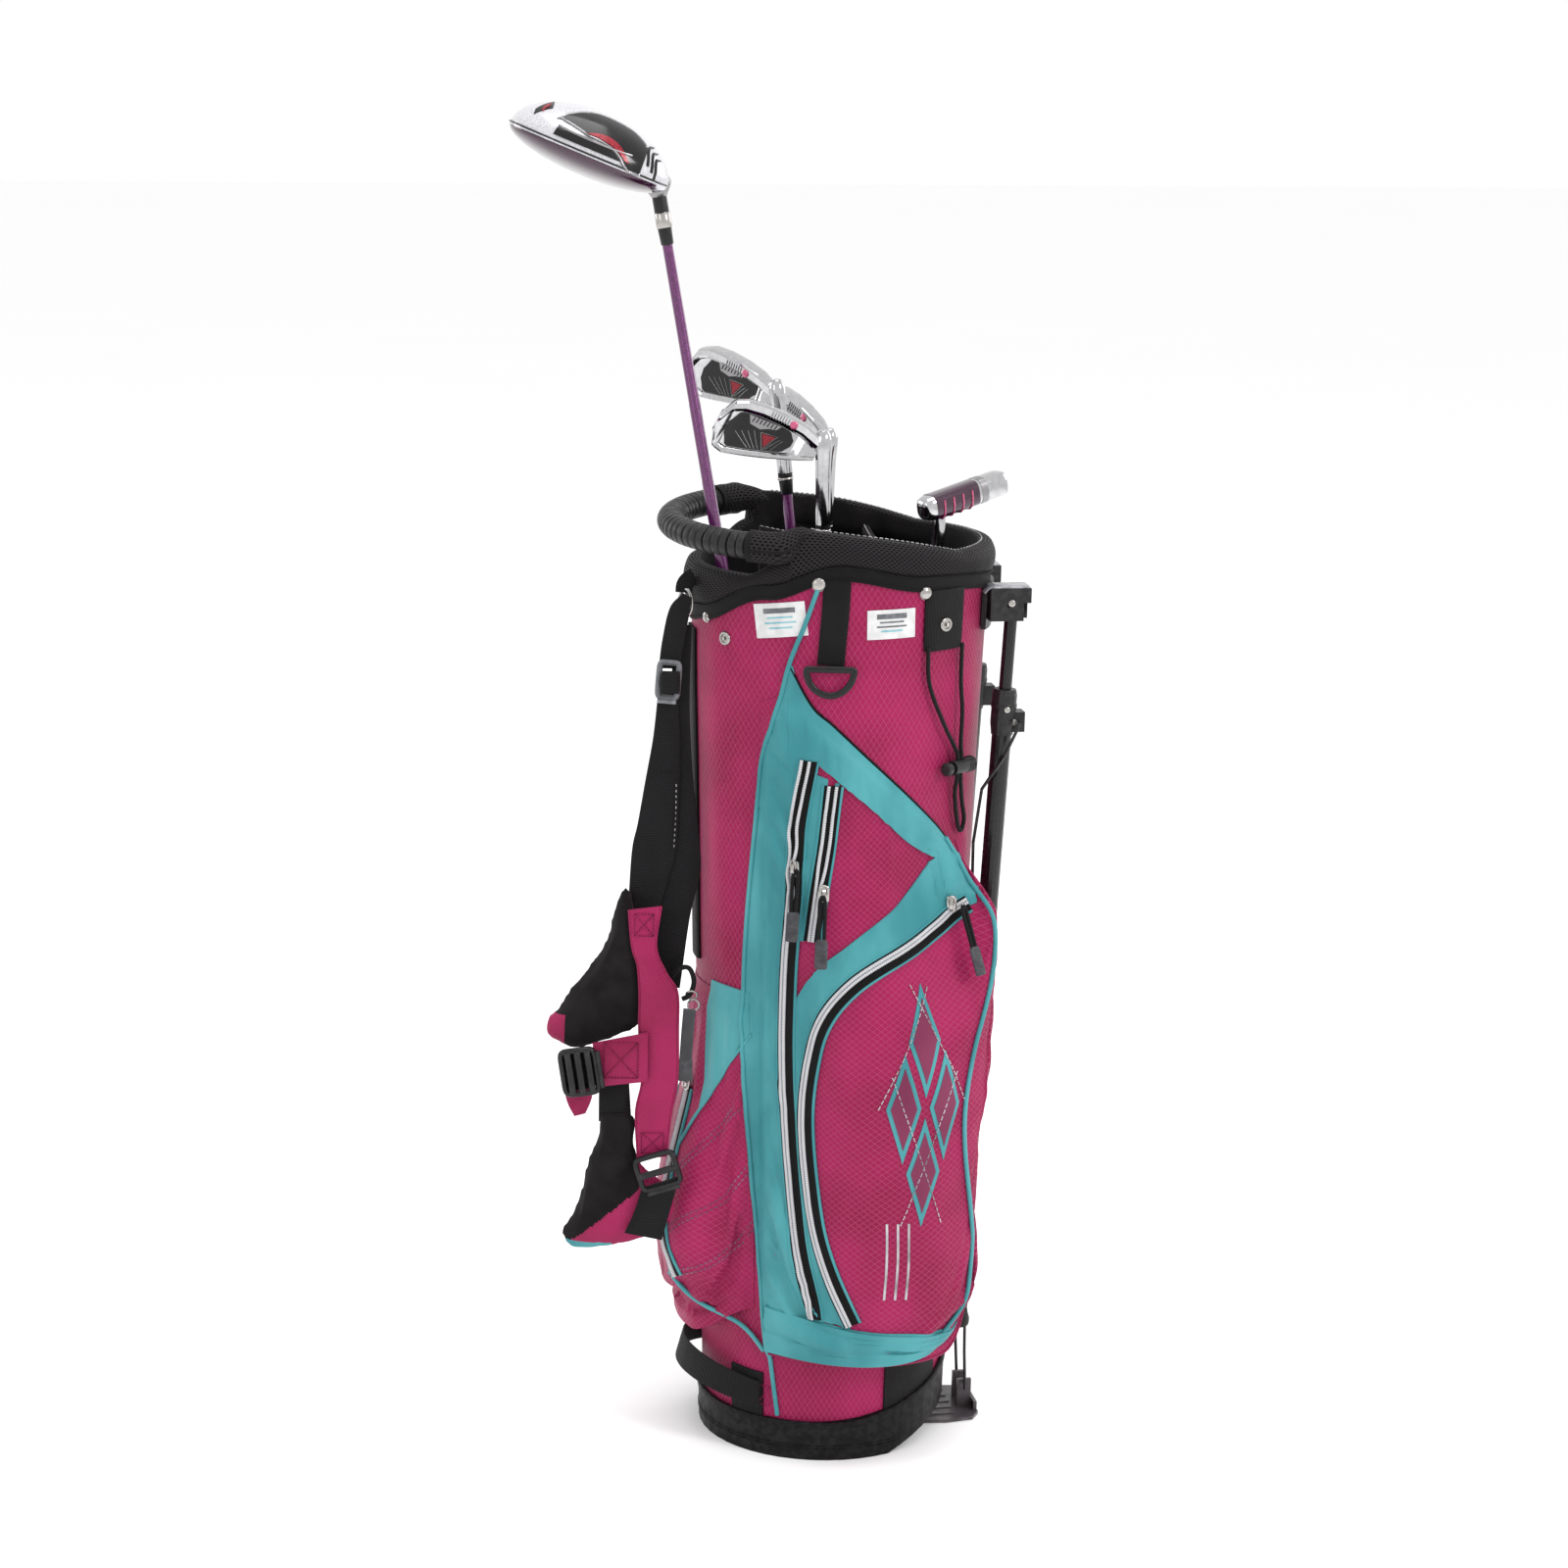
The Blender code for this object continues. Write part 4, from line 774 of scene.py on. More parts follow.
class Cloth:
    """The finished fabric skins, for laying trims on them."""

    def __init__(self, objects):
        points, faces = [], []
        for obj in objects:
            first = len(points)
            points += [v.co.copy() for v in obj.data.vertices]
            faces += [tuple(first + k for k in face.vertices) for face in obj.data.polygons]
        self.tree = BVHTree.FromPolygons(points, faces)

    def at(self, angle, z):
        """Point and outward direction of the cloth at an angle and a height."""
        out = bag_outward(angle, z)
        hit, normal = self.tree.ray_cast(bag_point(angle, z) + out * 0.15, -out, 0.20)[:2]
        if hit is None:
            return bag_point(angle, z), out
        return hit, normal

    def under(self, point, out):
        """The cloth's point below a point near it, looking along out."""
        hit = self.tree.ray_cast(point + out * 0.030, -out, 0.055)[0]
        return point if hit is None else hit

    def line(self, spots, step=0.004):
        """Points and smoothed outward directions along given (angle, height) spots."""
        flat = curve_through([(a, z * 100) for a, z in spots], None)
        found = [self.at(f[0], f[1] / 100) for f in flat]
        line = even_steps([hit for hit, _ in found], step)
        tree_normals = [self.tree.find_nearest(p)[1] for p in line]
        outs = []
        for i, p in enumerate(line):
            near = tree_normals[max(i - 3, 0):i + 4]
            outs.append(sum(near, Vector()).normalized())
        return eased(line, 1), outs

    def strip(self, spots, profile, step=0.004):
        """A flat trim that hugs the cloth across its width. profile lists (across, out) offsets."""
        line, outs = self.line(spots, step)
        rings = []
        for spot, side, out in zip(line, sides_of(line, outs), outs):
            ring = []
            for x, y in profile:
                foot = spot + side * x
                if abs(x) > 0.0025:
                    found = self.under(foot, out)
                    if (found - foot).length < abs(x) * 1.2:
                        foot = found
                ring.append(foot + out * y)
            rings.append(ring)
        return loft(rings)

    def patch(self, left, right, thick=0.0015, columns=14, passes=0):
        """A panel between two edges given as (angle, height) spots, lying on the cloth. Each of
        the passes evens its front out along its length."""
        first, second = (curve_through([(a, z * 100) for a, z in edge], None) for edge in (left, right))
        length = sum((bag_point(a[0], a[1] / 100) - bag_point(b[0], b[1] / 100)).length
                     for a, b in zip(first, first[1:]))
        rows = max(int(length / 0.004), 6)
        fronts, backs, cloth = [], [], []
        for j in range(rows + 1):
            a, b = sample(first, j / rows), sample(second, j / rows)
            front, back = [], []
            for i in range(columns + 1):
                f = a.lerp(b, i / columns)
                hit, normal = self.at(f[0], f[1] / 100)
                front.append(hit + normal * thick)
                back.append(hit - normal * SEWN_IN)
                cloth.append(bag_lengths(hit))
            fronts.append(front)
            backs.append(back)
        strands = [eased([row[i] for row in fronts], passes) for i in range(columns + 1)]
        fronts = [list(row) for row in zip(*strands)]
        return shell(fronts, backs, cloth)


def sample(line, t):
    """A point of a line at a share of its number of points."""
    f = t * (len(line) - 1)
    i = min(int(f), len(line) - 2)
    return line[i].lerp(line[i + 1], f - i)


# ---------------------------------------------------------------- fabric skins
def skin_wander(point):
    """The slack of the body's fabric over its frame."""
    return 0.0007 * ripple(point, 9, (1, 1, 0.6)) + 0.0004 * ripple(point, 24, (1, 1, 0.5), 3.0)


def bag_skin():
    """The body's fabric tube, ripstop outside and lining inside."""
    columns, rows, inner_rows = 180, 120, 24
    rings = []
    for k in range(columns):
        angle = 180 + 360 * k / columns
        top = seam_height(angle) + 0.001
        heights = [lerp(TUBE_BOTTOM, top, j / rows) for j in range(rows + 1)]
        ring = [bag_point(angle, z, skin_wander(bag_point(angle, z))) for z in heights]
        heights = [lerp(top, TUBE_BOTTOM, j / inner_rows) for j in range(inner_rows + 1)]
        ring += [bag_point(angle, z, -TUBE_WALL) for z in heights]
        rings.append(ring)
    points, faces, _ = loft(rings, closed=True)
    obj = piece("bag_skin", (points, faces, [bag_lengths(p) for p in points]), "ripstop",
                replaces=["bag_tube"])
    return two_tone(obj, "lining", lambda centre, normal: normal.xy.dot(centre.xy) < 0)


def front_place(u, v):
    """The garment pocket's panel, its lower corner rounded off."""
    angle, z = pocket_place(u, v)
    return angle, z + 0.050 * smooth(u, 0.62, 1.0) ** 2.2 * (1 - v) ** 3


def pocket_shell(place, depth, columns, rows, flush):
    """A pocket's closed shell; flush brings its front down to the body at the seams that lie flat."""
    fronts, backs = [], []
    for j in range(rows + 1):
        spots = [(i / columns, j / rows) for i in range(columns + 1)]
        fronts.append([bag_point(*place(u, v), 0.0003 + depth(u, v) * flush(u, v)) for u, v in spots])
        backs.append([bag_point(*place(u, v), WRAP_GAP * flush(u, v)) for u, v in spots])
    ahead, behind = [], []
    for j, (front, back) in enumerate(zip(fronts, backs)):
        for i, (p, q) in enumerate(zip(front, back)):
            far, high, _ = bag_lengths(p)
            ahead.append((far, high, 0.0))
            behind.append((far + (p - q).length * (1 if 2 * i > columns else -1),
                           high + (p - q).length * ((j == rows) - (j == 0)), 0.0))
    return shell(fronts, backs, ahead + behind)


def settle_pocket(obj, columns, rows, border, **cloth):
    """Fold the front of a pocket shell; its border and its back stay where they are sewn."""
    across = columns + 1
    count = across * (rows + 1)
    pinned = set(range(count, 2 * count))
    for k in range(count):
        i, j = k % across, k // across
        if min(i, columns - i, j, rows - j) < border:
            pinned.add(k)
    rest = [v.co.copy() for v in obj.data.vertices]
    settle(obj, pinned, **cloth)
    for vertex, start in zip(obj.data.vertices, rest):
        out, high = above_bag(start)
        room = high - WRAP_GAP
        moved = (vertex.co - start).dot(out)
        kept = min(max(moved, -0.55 * room), 0.007)
        vertex.co = vertex.co + out * (kept - moved)


def creases(obj, depth):
    """Soft sewn-cloth creases that die out towards the seams."""
    for vertex in obj.data.vertices:
        spot = vertex.co
        out, high = above_bag(spot)
        amount = smooth(high, 0.004, 0.025)
        fold = ripple(spot, 26, (1.0, 1.0, 0.45)) + 0.5 * ripple(spot, 60, (0.8, 0.8, 0.7), 5.0)
        vertex.co = spot + out * depth * fold * amount


def garment_flush(u, v):
    """0 where the garment pocket is sewn down, 1 away from its seams."""
    return smooth(u, 0.0, 0.035) * smooth(1 - v, 0.0, 0.03)


def ball_flush(u, v):
    """0 where the ball pocket is sewn down, 1 away from its seams."""
    return smooth(u, 0.0, 0.05) * smooth(1 - u, 0.0, 0.05) * smooth(1 - v, 0.0, 0.05)


def garment_pockets():
    """The near garment pocket, settled as cloth, and the far one as its mirror image."""
    columns, rows = 66, 104
    panel = pocket_shell(front_place, pocket_depth, columns, rows, garment_flush)
    near = piece("garment_pocket_near_skin", panel, "fine_ripstop", replaces=["garment_pocket_near"])
    settle_pocket(near, columns, rows, 3, frames=16, pressure=0.9, slack=0.030, cap=0.009, gravity=0.6)
    creases(near, 0.0011)
    points = [(v.co.x, -v.co.y, v.co.z) for v in near.data.vertices]
    faces = [tuple(reversed(face.vertices)) for face in near.data.polygons]
    lengths = [(-a, b, c) for a, b, c in panel[2]]
    far = piece("garment_pocket_far_skin", (points, faces, lengths), "fine_ripstop",
                replaces=["garment_pocket_far"])
    return near, far


def ball_pocket():
    """The ball pocket at the back, settled as cloth."""
    columns, rows = 60, 52
    panel = pocket_shell(ball_place, ball_depth, columns, rows, ball_flush)
    obj = piece("ball_pocket_skin", panel, "fine_ripstop", replaces=["ball_pocket"])
    settle_pocket(obj, columns, rows, 3, frames=16, pressure=0.8, slack=0.035, cap=0.009, gravity=0.6)
    creases(obj, 0.0014)
    return obj


# ---------------------------------------------------------------- trims on the fabric
SEAM_RADIUS, EDGE_RADIUS = 0.0011, 0.0021
SIDE_PIPING = ((-108, .806), (-113, .772), (-119, .736), (-124, .690), (-130, .646), (-133.5, .584),
               (-137, .511),
               (-139, .438), (-138, .357), (-135, .265), (-130, .174), (-125, .091), (-121.5, .040))
ZIP_LONG = ((-110.5, .654), (-113.5, .612), (-115, .568), (-116, .515), (-117.8, .461), (-118, .371),
            (-115, .281),
            (-111, .208), (-104, .143))
POCKET_PIPING = ((-50, .5755), (-46, .560), (-43.5, .530), (-42.5, .500), (-43, .460), (-46.5, .425),
                 (-51, .389),
                 (-54, .340), (-53.5, .300), (-50, .250), (-47, .205), (-47.5, .170), (-51.5, .140),
                 (-60, .117),
                 (-70, .106), (-88, .1025), (-104, .1025), (-124, .104))
ZIP_SHORT = ((-101.5, .632), (-103.6, .578), (-105.8, .540), (-108, .492))
ZIP_SIDE = ((-46.4, .519), (-50.6, .512), (-56, .503), (-64.6, .494), (-83.4, .472), (-95, .450),
            (-103.5, .419),
            (-108, .374), (-109.5, .330), (-108, .284), (-104.5, .231), (-98.5, .185), (-90, .140))


def mirrored(spots):
    """The same (angle, height) spots on the far side."""
    return [(-a, z) for a, z in spots]


def piping(cloth, name, spots, look="teal", radius=0.0017, passes=0):
    """A corded edge, sewn a little into the cloth."""
    line, outs = cloth.line(spots)
    line = eased([p + n * (radius - 0.0004) for p, n in zip(line, outs)], passes)
    return piece(name, sweep(line, round_profile(radius, 10), outs), look)


def flat_trim(cloth, name, spots, half_width, thick, look, step=0.004, replaces=()):
    """A flat band sewn to the fabric along given (angle, height) spots."""
    profile = band_profile(half_width, thick + 0.0006, -0.0006)
    return piece(name, cloth.strip(spots, profile, step), look, replaces=replaces)


def ribbon(cloth, spots, half_width, thick, columns=6):
    """A narrow band laid on the cloth, every strand of it on the surface under it."""
    line, outs = cloth.line(spots)
    sides = sides_of(line, outs)
    fronts, backs = [], []
    for k in range(columns + 1):
        shift = half_width * (2 * k / columns - 1)
        feet = eased([cloth.under(p + s * shift, n) for p, s, n in zip(line, sides, outs)], 3)
        fronts.append([p + n * thick for p, n in zip(feet, outs)])
        backs.append([p - n * SEWN_IN for p, n in zip(feet, outs)])
    return shell(fronts, backs)


TAPE_HALF, TAPE_THICK, TAPE_EDGE = 0.0072, 0.0027, 0.0080
COIL_STEP, COIL_HALF, COIL_SHUT, COIL_OPEN, COIL_FOOT = 0.0011, 0.0014, 0.0016, 0.0034, 0.0023
TOOTH = ((1, 0.2), (1, 0.6), (0.6, 0.95), (0, 1.05), (-0.6, 0.95), (-1, 0.6), (-1, 0.2))


def teeth(i):
    """Section of a coil's row: every other step is a tooth."""
    high = 0.0025 if i % 2 else 0.0019
    return [(COIL_HALF * x, high * y) for x, y in TOOTH]


def zip_run(cloth, name, spots, offset=0.0, open_above=2.0):
    """A zip sewn on the cloth: black tape, a ribbed white coil and piped edges. The coil is moved
    aside by offset. Above the height open_above its two halves stand apart."""
    piece(name + "_tape", ribbon(cloth, spots, TAPE_HALF, TAPE_THICK), "tape")
    line, outs = cloth.line(spots, COIL_STEP)
    sides = sides_of(line, outs)
    coil_line = [p + s * offset for p, s in zip(line, sides)]
    apart = [lerp(COIL_SHUT, COIL_OPEN, smooth(p.z, open_above, open_above + 0.03)) for p in coil_line]
    shapes = []
    for shift in (-1, 1):
        row = [cloth.under(p + s * shift * far, n) + n * COIL_FOOT
               for p, s, far, n in zip(coil_line, sides, apart, outs)]
        shapes.append(sweep(eased(row, 40), teeth, outs))
    piece(name + "_coil", shapes, "coil")
    closed = [k for k, p in enumerate(coil_line) if p.z < open_above]
    kept = closed[::3] + closed[-1:]
    middle = eased([cloth.under(p, n) + n * 0.0033 for p, n in zip(coil_line, outs)], 40)
    groove = sweep([middle[k] for k in kept], round_profile(0.0008, 8), [outs[k] for k in kept])
    piece(name + "_centre", groove, "grey_coil")
    line, outs = cloth.line(spots)
    edges = []
    for side in (-1, 1):
        edge = [cloth.under(p + across * side * TAPE_EDGE, out) + out * 0.0014
                for p, across, out in zip(line, sides_of(line, outs), outs)]
        edges.append(sweep(eased(edge, 6), round_profile(0.0015, 10), outs))
    piece(name + "_piped_edges", edges, "teal")


def slider(cloth, name, angle, z):
    """The zip's slider: a nickel shoe with a bridge and a ring for the pull."""
    spot, out = cloth.at(angle, z)
    ahead = (UP - out * UP.dot(out)).normalized()
    side = ahead.cross(out).normalized()
    base = spot + out * 0.0038
    shoe = block(base, side, ahead, (0.0046, 0.0075, 0.0012), 0.55)
    arch = ((-0.0055, 0.0006), (-0.0035, 0.0034), (0.0010, 0.0038), (0.0045, 0.0008))
    bridge_line = curve_through([base + ahead * x + out * y for x, y in arch], 0.0008)
    bridge = sweep(bridge_line, band_profile(0.0017, 0.0009), side.cross(ahead))
    ring_centre = base + out * 0.0024 + ahead * 0.0040
    ring = [ring_centre + ahead * (0.0045 * math.cos(t)) + side * (0.0030 * math.sin(t))
            for t in turns_of(24)]
    piece(name, [shoe, bridge, rod(ring, 0.0007, 8, closed=True)], "nickel")


STITCH_STEP = 0.0010


def stitches(line, outs, length, gap, radius=0.00042):
    """Shapes of separate stitches along a line."""
    made = []
    even = even_steps(line, STITCH_STEP)
    last, ends = len(outs) - 1, max(len(even) - 1, 1)
    normals = [outs[min(int(k / ends * last), last)] for k in range(len(even))]
    count = max(int(round(length / STITCH_STEP)), 2)
    skip = max(int(round(gap / STITCH_STEP)), 1)
    k = 0
    while k + count < len(even):
        part = [even[k + n] + normals[k + n] * (0.0002 + radius * (0 < n < count))
                for n in (0, count // 2, count)]
        made.append(sweep(part, round_profile(radius, 6), normals[k]))
        k += count + skip
    return made


def stitched(cloth, name, spots, look="grey_thread", length=0.003, gap=0.0015, rows=(0.0,)):
    """Rows of stitches sewn on the cloth, each moved aside by its shift."""
    line, outs = cloth.line(spots, 0.003)
    shapes = []
    for shift in rows:
        moved = [p + side * shift for p, side in zip(line, sides_of(line, outs))]
        shapes += stitches(moved, outs, length, gap)
    piece(name, shapes, look)


def diamond(cloth, angle, z, half_angle, half_height, thick):
    """A diamond of cloth printed or sewn on the pocket."""
    rows, columns = 18, 8
    fronts, backs, lengths = [], [], []
    for j in range(rows + 1):
        t = j / rows
        wide = max(1 - abs(2 * t - 1), 0.02) * half_angle
        spots = [cloth.at(angle + lerp(-wide, wide, i / columns), z + lerp(half_height, -half_height, t))
                 for i in range(columns + 1)]
        fronts.append([p + n * thick for p, n in spots])
        backs.append([p - n * 0.0010 for p, n in spots])
        lengths += [bag_lengths(p) for p, _ in spots]
    return shell(fronts, backs, lengths)


def pocket_edge(side=1):
    """The rounded outline of the garment pocket's front, from the top right down and round to the left."""
    route = [(1.0, v / 24) for v in range(24, -1, -1)] + [(u / 24, 0.0) for u in range(23, 0, -1)]
    points, outs = [], []
    for u, v in route:
        angle, z = front_place(u, v)
        points.append(bag_point(side * angle, z, pocket_depth(u, v) + 0.0006))
        outs.append(bag_outward(side * angle, z))
    fine = curve_through(points, 0.005)
    normals = [sample(outs, k / (len(fine) - 1)) for k in range(len(fine))]
    return fine, normals


def near_panels(cloth):
    """The near pocket's coloured panels."""
    piece("teal_side_panel", cloth.patch(
        [(-119, .737), (-124, .690), (-130, .646), (-133.5, .584), (-137, .511), (-139, .438), (-138, .357),
         (-135, .265), (-130, .174), (-126, .110)],
        [(-117.5, .735), (-112, .690), (-110.5, .646), (-114.5, .584), (-116.5, .511), (-118, .438),
         (-118, .357), (-114, .265), (-108, .174), (-103, .110)]), "teal")
    piece("teal_top_band", cloth.patch(
        [(-119.5, .737), (-110, .700), (-101.5, .683), (-85, .648), (-66, .609), (-50, .576), (-46, .562),
         (-43, .532)],
        [(-118, .648), (-109, .652), (-99, .635), (-85.5, .609), (-70, .577), (-54, .556), (-49, .545),
         (-44, .529)], thick=0.0018), "teal")
    piece("teal_middle_band", cloth.patch(
        [(-44.5, .560), (-52, .566), (-60, .558), (-75, .524), (-91, .496), (-106, .466), (-116, .425),
         (-117.5, .371), (-116, .300), (-110.5, .208), (-104, .143)],
        [(-44, .518), (-51, .512), (-59, .499), (-72, .486), (-86, .468), (-97, .447), (-106, .405),
         (-109.5, .350), (-108, .284), (-103, .208), (-90.5, .136)], thick=0.0018), "teal")
    piece("teal_bottom_band", cloth.patch(
        [(-126, .147), (-104, .141), (-88, .133), (-66, .129), (-54, .126), (-48, .130)],
        [(-126, .1035), (-104, .1015), (-88, .1005), (-70, .1020), (-58, .111), (-51, .122)],
        thick=0.0050, columns=30, passes=8), "teal")
    piece("zip_gap_band", cloth.patch(
        [(-108.5, .642), (-111.5, .600), (-113, .560), (-114, .520), (-114.4, .492)],
        [(-103, .638), (-105, .590), (-107.5, .545), (-109.5, .515), (-111, .492)], thick=0.0016), "teal")
    top_edge = ((-119.5, .7385), (-110, .7015), (-101.5, .6845), (-85, .6495), (-66, .6105), (-50, .5775),
                (-46, .5640))
    piping(cloth, "top_band_piping", top_edge, "binding", SEAM_RADIUS)
    seams = (("top_band_edge", ((-119.5, .735), (-110, .698), (-101.5, .681), (-85, .646), (-66, .607),
                                (-50, .574))),
             ("middle_band_seam", ((-52, .560), (-59, .558), (-75, .524), (-91, .496), (-107, .463))),
             ("bottom_band_seam", ((-125, .147), (-104, .141), (-88, .133), (-66, .129), (-52, .126))))
    for name, spots in seams:
        piping(cloth, name, spots, "teal", SEAM_RADIUS)
    garage = ((-99.5, .634), (-101.5, .585), (-103.5, .535), (-106, .470))
    flat_trim(cloth, "puller_garage_strip", garage, 0.0022, 0.0008, "teal")


def argyle(cloth):
    """A plain argyle motif in the bag's two colours."""
    outlines, fills = [], []
    for angle, z in ((-69, .405), (-62, .345), (-76, .345), (-69, .285)):
        outlines.append(diamond(cloth, angle, z, 5.6, 0.050, 0.0007))
        fills.append(diamond(cloth, angle, z, 4.2, 0.0375, 0.0012))
    piece("argyle_outlines", outlines, "teal")
    piece("argyle_fills", fills, "plum")
    crossing = []
    for (a, low), (b, high) in (((-80, .375), (-62, .235)), ((-58, .375), (-76, .235)),
                                ((-84, .345), (-66, .455)), ((-54, .345), (-73, .455))):
        line, outs = cloth.line([(a, low), ((a + b) / 2, (low + high) / 2), (b, high)], 0.003)
        crossing += stitches([p + n * 0.0008 for p, n in zip(line, outs)], outs, 0.004, 0.002, 0.0005)
    piece("argyle_cross_stitching", crossing, "thread")
    bar = band_profile(0.0011, 0.0009, -0.0004)
    bars = [cloth.strip(((a, .238), (a + 0.4, .200), (a, .166)), bar) for a in (-80, -76.5, -73)]
    piece("plain_embroidered_bars", bars, "thread")


def ball_pocket_trims(cloth):
    """The ball pocket's quilting, teal flap, zip and piping."""
    quilts = [((-134.5, .344), (-147, .310), (-164, .261), (-173, .230)),
              ((-131.5, .289), (-145, .243), (-160, .214), (-170, .187)),
              ((-130, .232), (-148, .181), (-170, .156))]
    for k, spots in enumerate(quilts):
        stitched(cloth, "ball_pocket_quilting_%d" % (k + 1), spots, "grey_thread", 0.0034, 0.0016,
                 (-0.0024, 0.0024))
    flap = cloth.patch([(-136, .436), (-148, .437), (-160, .437)],
                       [(-136, .398), (-148, .360), (-160, .318)], thick=0.0018)
    piece("ball_pocket_teal_flap", flap, "teal")
    flap_edge = ((-135, .398), (-148, .358), (-161, .312), (-170, .270))
    piping(cloth, "ball_pocket_flap_edge", flap_edge, "teal", 0.0015)
    zip_run(cloth, "ball_pocket_zip", ((-172, .330), (-171, .270), (-169, .210), (-163, .160)))
    lower = ((-168, .160), (-164, .147), (-158, .139), (-151, .133), (-144, .126), (-136, .116),
             (-127, .102))
    piping(cloth, "ball_pocket_piping", lower, "teal", EDGE_RADIUS, passes=30)
    piping(cloth, "ball_pocket_far_piping", [(-360 - a, z) for a, z in flap_edge], "teal", 0.0015)
    slider(cloth, "ball_pocket_slider", -172, .334)


# height and reach as shares of a label's half sizes, half thickness
LABEL_RULES = ((0.55, 0.62, 0.0022), (0.15, 0.5, 0.0007), (-0.15, 0.62, 0.0007), (-0.45, 0.45, 0.0007))


def upper_fittings(cloth):
    """Blank labels, collar rivets and the two halves of the snap near the collar."""
    labels, print_lines, tint = [], [], []
    for angle, z, half_w, half_h, tilt in ((-122.9, .775, .0235, .0150, 8), (-79.8, .773, .0220, .0128, 1)):
        spot, out = cloth.at(angle, z)
        right = Vector((-out.y, out.x, 0)).normalized()
        across = right * math.cos(math.radians(tilt)) + UP * math.sin(math.radians(tilt))
        up = out.cross(across).normalized()
        fronts, backs = [], []
        for j in range(9):
            row = [spot + across * half_w * (i / 6 - 1) + up * half_h * (j / 4 - 1) for i in range(13)]
            feet = [cloth.under(p, out) for p in row]
            fronts.append([p + out * 0.0008 for p in feet])
            backs.append([p + out * 0.0001 for p in feet])
        labels.append(shell(fronts, backs))
        for k, (y, reach, thick) in enumerate(LABEL_RULES):
            ends = [spot + up * half_h * y + across * half_w * s * reach for s in (-1, -0.5, 0, 0.5, 1)]
            feet = [cloth.under(p, out) + out * 0.0009 for p in ends]
            target = tint if angle < -100 and k or k == 3 else print_lines
            target.append(sweep(feet, band_profile(thick, 0.0002), out))
    piece("blank_labels", labels, "label")
    piece("label_rules", print_lines, "ink")
    piece("label_tint_rules", tint, "teal_ink")
    rivets = []
    for angle, z, radius in ((-108, .8085, .0062), (-66, .7985, .0060), (-161, .767, .0050),
                             (108, .8085, .0062), (66, .7985, .0060), (161, .767, .0050)):
        spot, out = cloth.at(angle, z)
        washer = ((0, radius * 1.05), (0.0022, radius * 1.05), (0.0026, radius * 0.95))
        rivets.append(ball(spot + out * 0.0018, radius, out, 0.50, 8, 28))
        rivets.append(turned(spot - out * 0.0005, out, washer, 28))
    piece("collar_rivets", rivets, "nickel")
    for name, angle, z, lift in (("snap_socket_body", -149, .752, 0.0),
                                 ("snap_stud_tab", -56.5, .769, 0.0040)):
        spot, out = cloth.at(angle, z)
        spot = spot + out * lift
        ring = turned(spot - out * 0.0005, out, ((0, .0064), (.0016, .0064), (.0024, .0056), (.0024, .0038),
                                                 (.0012, .0032), (.0012, .0005)), 28)
        post = turned(spot, out, ((0, .0019), (.0030, .0019), (.0036, .0012)), 16)
        piece(name, [ring, post], "nickel")


TOWEL_RING = (-103, .7345)


def towel_loop(cloth):
    """The hook-and-loop strap under the collar and the D-ring that hangs from it."""
    strap = ((-101, .812), (-101.5, .785), (-102.3, .760), (-103, .7375))
    flat_trim(cloth, "towel_hook_and_loop_strap", strap, 0.0118, 0.0030, "hook", replaces=["towel_strap"])
    stitched(cloth, "towel_strap_stitches", ((-106.3, .806), (-106.6, .785), (-107.3, .745)), "dark_thread")
    spot = bag_point(*TOWEL_RING, 0.006)
    out = bag_outward(*TOWEL_RING)
    side = UP.cross(out).normalized()
    half, drop = 0.0205, 0.0225
    corners = [spot + side * half * s + UP * 0.0004 for s in (-0.92, -0.5, 0, 0.5, 0.92)]
    corners += [spot + side * (half * math.cos(t)) - UP * (drop * math.sin(t))
                for t in (math.pi * k / 12 for k in range(13))]
    line = curve_through(corners, 0.0020, closed=True)
    section = [(math.cos(t) * 0.0030, math.sin(t) * 0.0017) for t in turns_of(14)]
    piece("towel_d_ring", sweep(line, section, out, closed=True), "plastic", "towel_ring", ["towel_ring"])


CORD_LOCK = (-47.0, 0.640)


